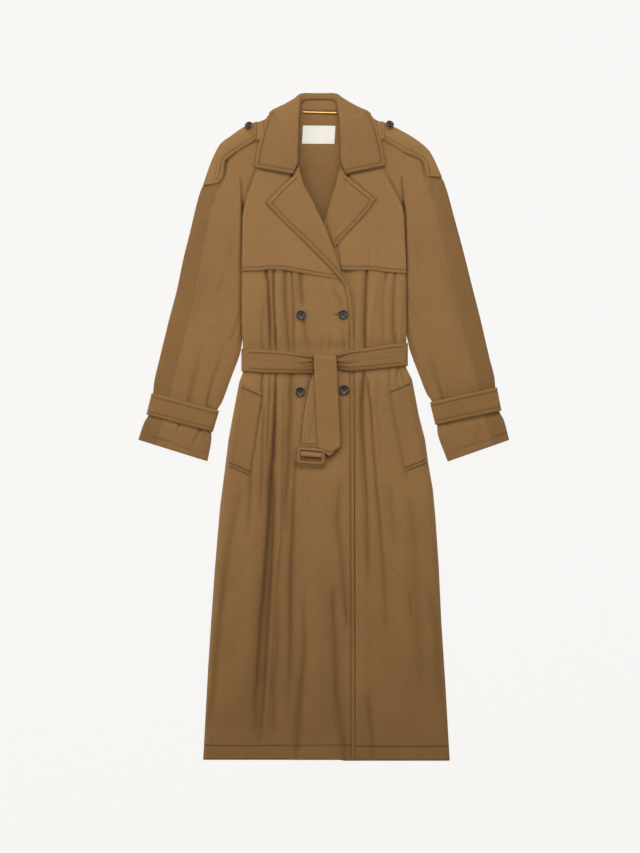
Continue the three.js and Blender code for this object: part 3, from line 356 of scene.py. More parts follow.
def welt(x, y, z, edges=(), stitches=(), puff=0.28, round_at=1.1, drop=0.75, depth=0.42):
    """Softens free edges, and draws the groove of each line of stitching with the padded strip beside it. It also
    paints a highlight along free edges and shade into each groove of stitching.
    """
    painted_light = np.zeros(np.shape(z))
    for path in edges:
        d = distance(x, y, path)
        z = z - drop * np.exp(-(d / round_at) ** 1.5)
        # painted highlight along the free edge
        painted_light += 0.55 * np.exp(-(d / 1.0) ** 2)
        if puff:
            z = z + puff * np.exp(-((d - 1.7) / 0.95) ** 2)
    for path in stitches:
        d = distance(x, y, path)
        z = z - depth * np.exp(-(d / 0.5) ** 2)
        # painted shade in the stitching groove
        painted_light -= 2.3 * np.exp(-(d / 0.8) ** 2)
    return z, painted_light


# ---- Stitches: each is a small bead of thread, laid on whatever surface is on top ------------------------------------------
SEAMS = []


def sew(path, pitch=1.75, length=1.25, lift=-0.12, r=0.26):
    SEAMS.append((list(path), pitch, length, lift, r))


def threads():
    """All the stitches as one mesh."""
    ring = 5
    prof = [(-0.5, 0.0), (-0.42, 0.75), (0.0, 1.0), (0.42, 0.75), (0.5, 0.0)]
    vs, fs = [], []
    base = 0
    for path, pitch, length, lift, r in SEAMS:
        p = np.asarray(path, float)
        seg = np.hypot(*np.diff(p, axis=0).T)
        s = np.concatenate([[0], np.cumsum(seg)])
        n = max(1, int(s[-1] / pitch))
        mids = (np.arange(n) + 0.5) * s[-1] / n
        for m in mids:
            e = np.array([m - length / 2, m + length / 2]).clip(0, s[-1])
            ex, ey = np.interp(e, s, p[:, 0]), np.interp(e, s, p[:, 1])
            ez = read(HEIGHT, ex, ey) + lift
            if min(ez) < 0.5 or abs(ez[1] - ez[0]) > 1.6:
                continue
            a, b = mm(ex[0], ey[0], ez[0]), mm(ex[1], ey[1], ez[1])
            d = b - a
            side = np.array([-d[1], d[0], 0.0])
            side /= max(np.linalg.norm(side), 1e-9)
            up = np.cross(d, side)
            up /= max(np.linalg.norm(up), 1e-9)
            if up[2] < 0:
                up = -up
            c = (a + b) / 2
            first = base
            vs.append(c - d * 0.5)
            base += 1
            for q, w in prof[1:-1]:
                for k in range(ring):
                    ang = 2 * math.pi * k / ring
                    vs.append(c + d * q + (side * math.cos(ang) + up * math.sin(ang)) * r * w)
                base += ring
            vs.append(c + d * 0.5)
            base += 1
            for k in range(ring):
                k2 = (k + 1) % ring
                fs.append((first, first + 1 + k2, first + 1 + k))
                for j in range(2):
                    u, v = first + 1 + j * ring, first + 1 + (j + 1) * ring
                    fs.append((u + k, u + k2, v + k2, v + k))
                u = first + 1 + 2 * ring
                fs.append((base - 1, u + k, u + k2))
    vs = np.array(vs) * 1e-3
    o = build("stitching", vs.tolist(), fs)
    return o


# ---- Outlines, from the frame's own tables ---------------------------------------------------------------------------------
right_side = straight([
    (140, 268), (158, 262), (172, 257), (185.5, 252), (195, 248.5), (206, 245), (216, 243.2), (240, 242.8), (262, 242.3),
    (304, 242), (349, 243.1), (373, 243.1), (382, 239.6), (419, 232.6), (440, 228.8), (468, 225.4), (507, 220.4),
    (567, 215.3), (620, 211.6), (667, 208.5), (759.3, 203.5)])
left_side = straight([
    (140, 370.5), (158, 376.5), (168.7, 381.4), (185, 390.3), (195, 395.8), (206, 401.4), (216, 403.8), (240, 404.6),
    (262, 405.7), (304, 406), (345, 406), (367, 405.4), (379.7, 411.8), (416.7, 418.8), (440, 424.8), (465, 428.2),
    (489, 432.5), (516, 435), (567, 438.5), (620, 440.9), (684.5, 445.1), (760.2, 449.4)])
right_roll = line_of([
    (140, 297.5), (163, 297.5), (170, 300), (176, 301.5), (186, 304.5), (196, 310), (206, 315), (218, 320.5), (228, 324.5),
    (239, 330), (249.5, 333.8), (263, 338.5), (270, 340.5), (279, 343.5), (286, 347), (293, 349.2), (304, 351),
    (330, 352.8), (373, 352.8), (490, 353.6), (759.3, 354.2)])
left_roll = line_of([
    (140, 341.4), (163, 341.5), (170, 340), (178, 337.5), (186, 335.5), (200, 331), (212, 327.5), (224, 324.4),
    (240, 319.5), (255, 312), (270, 305), (285, 298), (300, 293), (315, 291), (760, 291)])
side_z = pchip([0, 200, 206, 212, 222, 337, 344, 373, 382, 395, 700, 760], [9.2, 9.2, 9.6, 9.6, 8.4, 8.4, 6.4, 6.4, 5, 4, 3.7, 3.4])
# The general height of the fronts: over the chest, held by the belt, fuller below it, and down again to the hem.
body_z = pchip([140, 262, 285, 325, 338, 346, 351, 371, 376, 386, 405, 450, 560, 660, 725, 750, 760],
               [9.2, 9.4, 9.9, 10.4, 10.3, 8.6, 7.9, 7.9, 8.5, 9.6, 10.3, 10.6, 10.8, 10.0, 8.0, 6.4, 5.8])
belt_hold = pchip([0, 336, 345, 350, 372, 377, 386, 760], [1, 1, 0.45, 0.12, 0.12, 0.5, 1, 1])

# Folds that hang in each front. Each row is a place on one fold: y, x, height (mm, below nought for a trough), width.
RIGHT_FOLDS = {
    "main trough": [(373, 276.2, -2.6, 0.9), (377, 276.0, -3.6, 1.0), (400, 275.5, -6.0, 1.1), (412, 275.2, -6.8, 1.2), (425, 274.8, -7.4, 1.5),
                    (440, 274.0, -7.6, 1.8), (455, 273.5, -7.8, 2.2), (470, 272.0, -7.8, 2.6), (485, 271.2, -7.6, 2.9), (500, 270.4, -5.4, 2.0),
                    (520, 269.2, -4.6, 1.7), (540, 268.0, -4.4, 1.6), (560, 266.5, -4.2, 1.7), (580, 265.0, -4.0, 1.8), (600, 263.5, -3.8, 1.9),
                    (620, 261.5, -3.5, 2.0), (640, 260.2, -3.3, 2.0), (660, 258.8, -3.0, 2.0), (680, 257.8, -2.6, 2.0), (700, 255.8, -2.0, 2.0), (715, 256.0, -1.4, 2.0), (735, 255.0, 0, 2.0)],
    "second line": [(480, 274.6, 0, 1.2), (500, 274.0, -3.0, 1.2), (520, 273.5, -3.4, 1.2), (540, 272.8, -3.4, 1.2), (560, 271.8, -3.2, 1.2), (580, 270.8, -3.0, 1.2),
                    (600, 269.5, -2.8, 1.2), (620, 268.2, -2.6, 1.2), (640, 267.2, -2.6, 1.2), (660, 266.2, -2.4, 1.2), (680, 265.0, -2.2, 1.2), (700, 263.8, -1.8, 1.2),
                    (715, 262.5, -1.4, 1.4), (730, 261.0, -1.0, 1.6), (745, 260.0, 0, 1.6)],
    "broad trough": [(470, 272.4, 0, 4.4), (500, 271.8, -2.6, 4.6), (560, 269.0, -2.6, 4.6), (620, 265.0, -2.2, 4.6), (680, 261.4, -1.6, 4.6), (720, 259.4, -0.8, 4.6), (745, 258.0, 0, 4.6)],
    "main crest": [(373, 281.0, 0.4, 2.4), (400, 281.2, 2.0, 2.4), (450, 280.6, 2.8, 2.4), (500, 279.8, 3.2, 2.5), (540, 279.2, 3.2, 2.4), (560, 276.9, 3.2, 2.2), (600, 273.9, 3.0, 2.0),
                   (640, 271.8, 2.4, 1.9), (680, 269.2, 2.0, 1.8), (700, 267.8, 1.6, 1.8), (730, 266.0, 0.6, 2.0), (750, 265.0, 0, 2.0)],
    "left line": [(373, 262.9, -2.6, 1.3), (377, 262.8, -3.0, 1.3), (384, 261.8, -2.6, 1.3), (392, 262.2, -2.6, 1.3), (400, 262.0, -2.4, 1.3), (406, 261.6, -1.6, 1.3), (412, 261.0, 0, 1.4)],
    "left line, outer": [(404, 261.0, 0, 1.2), (412, 259.8, -2.0, 1.2), (425, 257.5, -2.2, 1.3), (440, 255.2, -2.2, 1.4), (455, 253.2, -2.0, 1.4), (470, 250.8, -2.2, 1.5), (485, 251.2, -2.2, 1.6),
                         (500, 250.5, -1.8, 1.6), (520, 249.0, -1.0, 2.0), (540, 247.0, 0, 2.0)],
    "left line, inner": [(404, 263.8, 0, 1.2), (412, 264.2, -1.4, 1.2), (425, 263.5, -1.6, 1.2), (440, 262.8, -1.6, 1.3), (455, 262.5, -1.6, 1.4), (470, 262.5, -1.6, 1.4), (485, 261.8, -1.4, 1.4),
                         (500, 260.8, -1.2, 1.4), (515, 260.0, 0, 1.6)],
    "thin line": [(373, 269.8, -1.0, 0.9), (392, 270.0, -1.6, 0.9), (400, 269.5, -1.6, 0.9), (412, 268.8, -1.4, 0.9), (425, 268.0, -1.2, 0.9), (440, 267.5, -1.0, 0.9), (452, 267.0, 0, 0.9)],
    "crest beside it": [(373, 266.8, 0.6, 1.8), (400, 267.0, 1.4, 1.8), (440, 265.4, 1.6, 1.6), (480, 264.8, 1.2, 1.6), (510, 262.6, 0, 2)],
    "hollow": [(373, 291.6, -2.6, 2.6), (400, 291.0, -3.4, 3.0), (412, 291.6, -3.6, 3.2), (425, 290.2, -3.6, 3.2), (440, 289.6, -3.4, 3.4), (455, 290.0, -3.2, 3.4), (470, 288.8, -3.0, 2.8),
               (485, 287.2, -3.0, 2.6), (500, 286.4, -2.4, 2.4), (520, 286.2, -1.2, 2.6), (536, 286.4, 0, 2.8)],
    "lower hollow": [(486, 293.8, 0, 2.2), (504, 293.6, -2.0, 2.2), (520, 293.2, -3.0, 2.4), (540, 293.0, -3.0, 2.3), (560, 291.8, -3.0, 2.3), (600, 291.2, -3.0, 2.2),
               (640, 291.2, -2.6, 2.2), (660, 290.8, -2.0, 2.2), (690, 289.0, -0.8, 2.4), (720, 288.0, 0, 2.4)],
    "beside the hollow": [(458, 296.0, 0, 1.8), (470, 295.2, -2.0, 1.8), (485, 294.6, -1.8, 1.8), (500, 294.0, -0.8, 1.8), (508, 293.8, 0, 2.0)],
    "crest by the strap": [(374, 303, 1.0, 2.4), (395, 303.6, 1.4, 2.6), (430, 301, 0.8, 3), (470, 300, 0.3, 4), (500, 300, 0, 4)],
    "under the strap": [(376, 310.5, -2.0, 2.2), (386, 309.4, -1.6, 2.2), (400, 309, 0, 2.2)],
    "lower trough": [(590, 303.5, 0, 2.0), (610, 304.0, -0.9, 2.0), (640, 305.0, -1.8, 2.2), (660, 304.5, -2.0, 2.4), (680, 302.0, -2.2, 2.6), (700, 300.5, -2.2, 2.6), (715, 298.8, -2.4, 2.6),
                     (730, 298.2, -2.2, 2.4), (740, 296.8, -2.0, 2.4), (757, 296.0, -1.0, 2.4)],
    "swell": [(455, 320, 0, 10), (480, 321, 1.8, 10), (560, 318.5, 2.4, 9.5), (620, 317, 2.6, 9), (700, 316.8, 2.2, 9), (740, 318, 1.0, 9), (759, 320, 0, 9)],
    "trough by the edge": [(478, 340, 0, 2.6), (500, 339.0, -1.6, 2.6), (520, 338.0, -2.0, 2.8), (540, 340.0, -2.0, 2.8), (560, 342.4, -2.0, 2.6), (580, 343.8, -2.0, 2.4), (600, 345.2, -2.2, 2.0),
                           (620, 347.0, -1.6, 2.0), (632, 346.6, 0, 2.0)],
    "trough by the edge, lower": [(585, 334.6, 0, 2.2), (600, 333.2, -2.0, 2.2), (620, 334.2, -2.0, 2.6), (645, 335.6, -2.2, 3.2), (660, 336.2, -2.6, 3.0), (680, 336.6, -2.8, 3.0),
                                  (700, 337.8, -2.8, 3.0), (715, 339.4, -2.6, 3.0), (730, 341.0, -2.6, 2.8), (740, 343.6, -2.4, 2.6), (757, 344.6, -1.6, 2.4)],
    "side trough": [(485, 241.5, 0, 2.6), (500, 238.8, -1.2, 2.6), (520, 234.5, -1.2, 2.6), (540, 230.2, -1.4, 2.6), (560, 227.5, -1.7, 2.6), (580, 224.8, -1.9, 2.4), (600, 222.5, -2.2, 2.2),
                    (620, 220.0, -2.2, 2.2), (640, 218.2, -2.0, 2.2), (660, 215.8, -2.0, 2.2), (680, 214.2, -2.0, 2.2), (700, 211.8, -1.8, 2.2), (715, 209.5, -1.5, 2.2), (732, 206.8, 0, 2.0)],
    "small trough": [(590, 280.0, 0, 1.6), (640, 278.2, -1.0, 1.8), (660, 276.8, -1.1, 1.8), (690, 273.6, -1.1, 1.8), (715, 274.2, -1.3, 2.0), (738, 273.0, 0, 2.0)],
    "side swell": [(490, 250, 0, 7), (560, 252, 1.2, 6), (640, 247, 1.2, 6), (700, 243, 1.0, 6), (745, 240, 0, 6)],
    # above the belt
    "gather one": [(262, 266.0, 0, 1.6), (270, 266.2, -4.6, 1.6), (276, 266.8, -4.8, 1.6), (284, 268.4, -4.2, 1.4), (292, 268.5, -4.4, 1.4), (300, 268.9, -4.8, 1.5), (310, 269.5, -5.2, 1.4),
                   (320, 270.0, -5.2, 1.4), (330, 270.2, -5.0, 1.3), (340, 270.2, -4.2, 1.2), (346, 270.5, -3.4, 1.2), (352, 270.6, -1.0, 1.2)],
    "sharp crest": [(262, 271.2, 0, 1.1), (270, 271.4, 1.6, 1.0), (300, 271.7, 1.8, 1.0), (320, 272.4, 1.6, 1.0), (340, 273.4, 1.2, 1.0), (350, 273.8, 0.3, 1.0)],
    "gather two": [(262, 273.7, 0, 0.9), (272, 273.8, -3.6, 0.9), (284, 273.9, -3.2, 0.9), (300, 274.0, -3.2, 0.9), (310, 274.5, -3.5, 0.9), (320, 274.9, -3.8, 0.9), (330, 275.5, -4.4, 1.0),
                   (340, 275.8, -5.0, 1.0), (346, 276.0, -4.6, 1.0), (352, 276.2, -1.6, 1.0)],
    "soft crest": [(268, 280.2, 0.8, 2.4), (300, 280.4, 1.4, 2.4), (340, 280.8, 1.4, 2.2), (351, 280.4, 0.2, 2.2)],
    "gather three": [(262, 285.4, 0, 1.5), (272, 285.5, -2.8, 1.5), (284, 285.5, -2.6, 1.6), (300, 285.7, -2.6, 1.6), (310, 286.2, -2.7, 1.7), (320, 287.0, -2.8, 1.9), (330, 287.5, -2.8, 2.0),
                     (340, 288.5, -3.0, 2.0), (346, 289.0, -3.0, 2.0), (352, 289.5, -1.2, 2.0)],
    "gather four": [(264, 291.6, 0, 1.2), (272, 291.8, -2.2, 1.2), (284, 292.5, -2.0, 1.4), (300, 293.5, -1.8, 1.4), (320, 294.0, -2.0, 1.3), (340, 293.8, -2.2, 1.3), (346, 294.0, -2.4, 1.3), (352, 294.4, -1.0, 1.3)],
    "crest four": [(266, 296.6, 0, 1.8), (276, 296.4, 1.2, 1.6), (300, 297.4, 1.2, 1.6), (330, 299.8, 1.2, 2.2), (346, 299.2, 0.8, 2.2), (351, 299, 0, 2)],
    "gather five": [(266, 300.8, 0, 1.6), (273, 301.0, -3.4, 1.6), (284, 301.2, -2.6, 1.7), (300, 302.5, -2.4, 1.7), (309, 303, 0, 1.7)],
    "gather six": [(316, 303.6, 0, 1.4), (322, 304.4, -2.0, 1.4), (330, 305.2, -1.6, 1.6), (340, 306.8, -1.2, 1.8), (346, 309.0, -1.0, 1.8), (353, 309, 0, 1.8)],
    "small pulls": [(334, 321.6, 0, 1.2), (340, 321.8, -0.6, 1.2), (346, 321.0, -1.0, 1.3), (352, 320.6, 0, 1.3)],
    "small pull": [(332, 329.8, 0, 1.2), (340, 329.8, -0.7, 1.2), (346, 329.8, -0.9, 1.2), (352, 330, 0, 1.2)],
    "by the front edge": [(326, 343.0, 0, 1.2), (334, 343.3, -0.6, 1.2), (340, 343.8, -0.9, 1.2), (346, 344.5, -1.1, 1.2), (352, 345, 0, 1.2)],
    "left of the gathers": [(300, 262.8, 0, 1.4), (310, 262.8, -0.9, 1.4), (340, 261.8, -1.1, 1.4), (346, 262.8, -1.8, 1.4), (352, 263, 0, 1.4)],
    "pull at the edge": [(286, 333, 0, 1.5), (293, 335.6, -1.2, 1.4), (301, 341.0, -1.3, 1.4), (312, 343.6, 0, 1.6)],
}
LEFT_FOLDS = {
    "first crest": [(374, 358.2, 0.8, 2.4), (400, 358.0, 2.0, 2.2), (455, 358.7, 2.4, 2.2), (485, 360.2, 2.2, 2.2), (520, 361.2, 1.8, 2.4), (560, 364.2, 1.4, 2.4), (600, 363.8, 1.0, 3.0), (640, 365.5, 0.9, 4.0),
                    (700, 364.0, 0.9, 4.0), (740, 366.0, 0, 4.0)],
    "first trough": [(373, 364.2, -3.8, 1.6), (377, 364.0, -4.6, 1.6), (384, 363.2, -4.0, 1.8), (392, 362.8, -3.8, 1.8), (412, 362.2, -3.4, 1.9), (425, 362.5, -3.2, 1.9), (440, 363.2, -3.0, 1.9),
                     (455, 364.2, -2.8, 1.8), (470, 365.0, -2.6, 1.7), (485, 366.2, -2.4, 1.7), (500, 366.8, -2.2, 1.7), (520, 367.5, -1.8, 1.7), (560, 368.5, -1.1, 1.7), (582, 369.0, 0, 2.0)],
    "second line": [(376, 367.6, 0, 1.0), (384, 368.2, -2.2, 1.0), (392, 368.8, -2.0, 1.0), (400, 370.0, -2.0, 1.0), (412, 371.2, -2.0, 1.1), (425, 372.0, -2.0, 1.2), (440, 373.0, -1.9, 1.3),
                    (455, 374.2, -1.9, 1.3), (470, 375.2, -1.9, 1.4), (500, 377.8, -1.9, 1.5), (520, 379.8, -1.8, 1.5), (540, 381.2, -1.7, 1.5), (560, 382.8, -1.6, 1.6), (580, 384.2, -1.4, 1.6),
                    (600, 385.2, -1.1, 1.7), (620, 386.0, -0.7, 1.8), (640, 386.6, 0, 2.0)],
    "second crest": [(374, 374.2, 1.4, 2.6), (400, 373.9, 1.6, 2.2), (425, 376.2, 1.5, 2.2), (455, 377.8, 1.5, 2.2), (485, 380.8, 1.3, 2.2), (520, 383.6, 1.1, 2.4), (560, 386.5, 0.9, 2.6), (600, 388.8, 0.7, 3.0), (650, 391.0, 0, 3.0)],
    "soft line": [(370, 389.0, -0.9, 1.4), (384, 388.8, -1.1, 1.6), (400, 390.5, -0.9, 1.6), (412, 392.8, -0.9, 1.8), (425, 395.2, -1.0, 2.0), (440, 398.5, -1.0, 2.4), (455, 401.2, -1.0, 2.4), (470, 404.8, -1.1, 2.6), (482, 406, 0, 2.6)],
    "soft line, lower": [(478, 388.0, 0, 2.4), (500, 391.0, -1.0, 2.6), (520, 392.8, -0.9, 2.6), (548, 395, 0, 2.6)],
    "pinch one": [(366, 397.3, -1.6, 1.2), (372, 396.8, -2.2, 1.1), (379, 396.0, -1.2, 1.0), (388, 395.4, 0, 1)],
    "pinch two": [(367, 398.6, -0.8, 0.8), (373, 401.0, -1.6, 0.8), (380, 403.4, -0.8, 0.8), (386, 404, 0, 0.8)],
    "small crease": [(588, 409.8, 0, 1.0), (598, 410.1, -1.1, 1.0), (608, 410.4, -1.1, 1.0), (618, 410.7, 0, 1)],
    "lower trough": [(690, 368.6, 0, 2.2), (715, 370.2, -1.4, 2.2), (740, 372.8, -1.3, 2.0), (757, 373, -0.4, 2.0)],
    "lower swell": [(560, 376, 0, 6), (640, 378, 1.0, 7), (710, 386, 1.0, 8), (752, 388, 0.1, 8)],
    "side trough": [(585, 428.6, 0, 2.6), (600, 430.8, -1.0, 2.6), (620, 434.5, -1.0, 2.6), (680, 438.6, -0.9, 2.6), (720, 441, 0, 2.6)],
    "side hollow": [(500, 409, -0.8, 3.6), (520, 413, -1.0, 3.6), (560, 416, -0.8, 3.6), (620, 418, -0.9, 3.4), (660, 421, -0.8, 3.4), (700, 424, 0, 3.4)],
    "side swell": [(480, 400, 0, 5), (560, 404, 1.0, 6), (650, 407, 1.2, 7), (720, 408, 0.6, 8), (750, 408, 0, 8)],
    # above the belt
    "first gather": [(262, 366.9, 0, 1.6), (270, 366.9, -4.2, 1.6), (284, 366.2, -3.8, 1.7), (292, 365.8, -3.8, 1.7), (300, 365.5, -4.0, 1.7), (310, 365.5, -4.2, 1.7), (320, 365.0, -4.4, 1.7),
                     (330, 364.8, -4.6, 1.7), (340, 365.0, -5.0, 1.6), (346, 365.2, -5.0, 1.6), (352, 365.0, -1.6, 1.6)],
    "crest": [(268, 359.4, 1.0, 3.6), (300, 359.0, 1.2, 3.0), (335, 357.4, 1.4, 2.6), (349, 357.4, 0.4, 2.6)],
    "crest two": [(266, 378, 1.2, 4.0), (300, 373.6, 1.6, 3.4), (330, 370.5, 1.6, 2.4), (347, 368.9, 0.6, 1.8)],
    "second gather": [(266, 387.0, 0, 1.6), (274, 386.6, -1.8, 1.6), (284, 384.6, -1.1, 2.0), (300, 382.9, -0.9, 2.2), (330, 383.2, -1.0, 2.4), (344, 383, 0, 2.4)],
    "third gather": [(266, 395.4, 0, 1.2), (274, 395.2, -2.0, 1.2), (284, 394.5, -1.7, 1.3), (300, 393.5, -1.9, 1.4), (310, 393.2, -2.1, 1.5), (330, 393.5, -2.4, 1.6), (340, 395.2, -3.2, 1.8), (346, 395.2, -2.4, 1.6), (351, 395.2, 0, 1.6)],
    "crest three": [(268, 391.0, 0.8, 2.0), (300, 388.4, 0.9, 2.8), (340, 389, 0.7, 2.6), (348, 389, 0, 2)],
    "side crest": [(270, 400.8, 0.5, 2.2), (300, 401.0, 0.8, 2.4), (332, 400.0, 1.2, 2.0), (342, 399.6, 0.8, 1.6), (348, 399.4, 0, 1.4)],
}


def fold_field(folds, x, y):
    """The heights of all the folds of a table, added together, and the shade painted into the sharp ones."""
    total, dark = np.zeros(np.shape(x)), np.zeros(np.shape(x))
    for rows in folds.values():
        ys = [r[0] for r in rows]
        cx, amp, wid = (pchip(ys, [r[k] for r in rows]) for k in (1, 2, 3))
        # Painted shade: a deep and narrow trough gets less light than a shallow or broad one, and a crest loses none.
        shade = lambda at, amp=amp, wid=wid: 1.2 * np.maximum(-amp(at), 0) ** 0.75 / np.sqrt(np.maximum(wid(at), 0.5))
        live = smooth((y - ys[0] + 4) / 4) * smooth((ys[-1] + 4 - y) / 4)
        a = amp(y) * live
        d = (x - cx(y)) / wid(y)
        trough = np.exp(-1.25 * (np.sqrt(d * d + 0.02) - 0.14))
        total = total + a * np.where(a < 0, trough, np.exp(-d ** 2))
        # painted shade in each trough, reaching further on its left side
        dark = dark - 2.05 * live * shade(y) * (0.8 * np.exp(-(np.abs(d) / (0.95 + 0.5 * smooth((y - 480) / 120))) ** 1.6) + 0.2 * np.exp(-(np.maximum(-d, 0) / 2.6) ** 1.4) * np.exp(-(np.maximum(d, 0) / 0.8) ** 1.4))
    return total, -7.0 * (1 - np.exp(np.minimum(dark, 0) / 7.0 * 1.15))


big = Waves(3, 95)
mid = Waves(11, 34)
fine = Waves(23, 13, 9)


def uneven(x, y, a=0.35, b=0.16, c=0.05):
    return a * big(x, y) + b * mid(x, y) + c * fine(x, y)


# ---- The pieces, from the table upwards ---------------------------------------------------------------------------------
def rows_of(y0, y1, step, near=(), far=()):
    inner = np.linspace(y0 + (near[-1] if len(near) else 0), y1 - (far[-1] if len(far) else 0), max(3, int((y1 - y0) / step)))
    head = [y0 + v for v in near[:-1]]
    tail = [y1 - v for v in reversed(far[:-1])]
    return np.array(head + list(inner) + tail)


# Back.
def back_edge(front, turn):
    def f(y):
        seam = front(y) + turn * 0.3
        neck = mix(mix(front(140.0), 323.75, 0.41), front(140.0) + turn * 0.3, (y - 111.2) / 28.8)
        arm = np.maximum(seam, 246.9) if turn > 0 else np.minimum(seam, 402)
        tied = smooth((y - 343) / 8) * (1 - smooth((y - 369) / 8))
        low = mix(np.where(y < 206, seam, arm), front(y), smooth((y - 343) / 8)) + turn * 1.5 * tied
        return np.where(y < 140, neck, low - turn * 2.1 * smooth((y - 182) / 6) * (1 - smooth((y - 210) / 8)))
    return f


ys = rows_of(111.2, 759, 5.5)
xl, xr = back_edge(right_side, 1)(ys), back_edge(left_side, -1)(ys)
sh = across(xr - xl, 4.0, EDGE_PLAIN, EDGE_PLAIN)
X = xl[:, None] + (xr - xl)[:, None] * sh
Y = np.repeat(ys[:, None], X.shape[1], 1)
lift = 2.4 * (1 - smooth((Y - 154) / 24)) + 2.6 * smooth((Y - 330) / 13) * (1 - smooth((Y - 375) / 11))
Z = lift + T + 0.12 * (1 + mid(X, Y))
# it lies deepest beneath the rolled edges of the neck, and painted shade makes it darkest there
neck_shade = -1.0 * smooth((Y - 140) / 50) * (1 - smooth((Y - 235) / 10))
for path, deep in ((((300.9, 94.3), (298.9, 105.9), (297.3, 123.7), (297.3, 159.4), (301.5, 176), (310, 196), (320.5, 218), (324, 223)), 2.0),
                   (((334.8, 93.4), (340.2, 114.8), (341.3, 132.6), (341.3, 163.9), (333, 195), (324.8, 224)), 1.3)):
    neck_shade = neck_shade - deep * np.exp(-(distance(X, Y, list(path)) / 4.5) ** 1.3)
# the whole back panel is also painted darker, for the shade inside the neck
shell("back_panel", X, Y, Z, painted_light=neck_shade, node="back", painted_piece_shade=-1.5)
HEIGHT[:] = np.maximum(HEIGHT, 0)

# Sleeves. Each row: outer fold x, y; inner edge x, y; height at the inner edge and in the middle; lift beneath.
RIGHT_SLEEVE = [
    (268.2, 118, 267.7, 139.7, 9, 8.6, 2.2), (258, 122.6, 261.7, 157.6, 9.1, 9, 2.2), (245.8, 127.6, 256.7, 171.7, 9.1, 9.2, 2.2),
    (231.4, 137.4, 251.7, 185.2, 9.1, 9.3, 2.2), (221.6, 145, 248.2, 194.8, 9, 9.3, 2.2), (215.2, 155.4, 244.5, 206, 8.6, 9.4, 2.2),
    (212.9, 161.5, 244.9, 213, 5.8, 9.4, 2.2), (208.9, 172.4, 245, 226, 5.4, 9.4, 2.2), (204.6, 184.4, 245, 244, 5, 9.4, 2.2), (202.0, 187.4, 245, 248, 5, 9.4, 1.6),
    (197, 203, 245, 266, 5, 9.4, 0), (190.3, 231.2, 244.8, 288, 5, 9.4, 0), (183.6, 257.9, 244.2, 310, 5, 9.2, 0),
    (176.9, 290.1, 243, 331, 4.8, 9, 0), (169, 320, 240.6, 350.5, 3.8, 9, 0), (160.4, 355.4, 230.3, 379.3, 3.8, 9, 0),
    (153.8, 384.6, 221.3, 403, 3.8, 8.6, 0), (153.3, 391.8, 217.5, 409.1, 5.3, 7, 1.9), (148.2, 416, 211.2, 432.8, 5.3, 7, 1.9),
    (144.6, 421.5, 211.2, 438.5, 3.8, 8, 0), (138.4, 439.4, 207.3, 460.9, 3.6, 7.6, 0)]
LEFT_SLEEVE = [
    (371.9, 118, 370.8, 139.7, 9, 8.6, 2.2), (380.6, 122.2, 376.8, 157.6, 9.1, 9, 2.2), (389.8, 126.6, 381.8, 168.9, 9.1, 9.2, 2.2),
    (402.2, 132.9, 388.3, 181, 9.1, 9.3, 2.2), (418.8, 143.3, 395.9, 194.8, 9, 9.3, 2.2), (428, 151.8, 401.7, 206, 8.6, 9.4, 2.2),
    (431.1, 157.6, 402.6, 213, 5.8, 9.4, 2.2), (436.3, 168.4, 403.4, 226, 5.4, 9.4, 2.2), (440.0, 176.6, 403.6, 244, 5, 9.4, 2.2), (443.0, 180.2, 403.6, 248, 5, 9.4, 1.6),
    (447, 191, 403.6, 266, 5, 9.4, 0), (455, 220.4, 403.8, 288, 5, 9.4, 0), (463, 250, 404.4, 308, 5, 9.2, 0),
    (470.5, 280, 405.6, 328, 4.8, 9, 0), (480.5, 319.5, 409.5, 348, 3.8, 9, 0), (489.5, 358.3, 420, 376.5, 3.8, 9, 0),
    (494.7, 379.4, 427.4, 394.6, 3.8, 8.6, 0), (495.1, 386.2, 431.8, 400.9, 5.3, 7, 1.9), (499.5, 412, 437.4, 425.8, 5.3, 7, 1.9),
    (503.6, 419.5, 437.6, 432, 3.8, 8, 0), (509.1, 439.6, 447.9, 461.1, 3.6, 7.6, 0)]
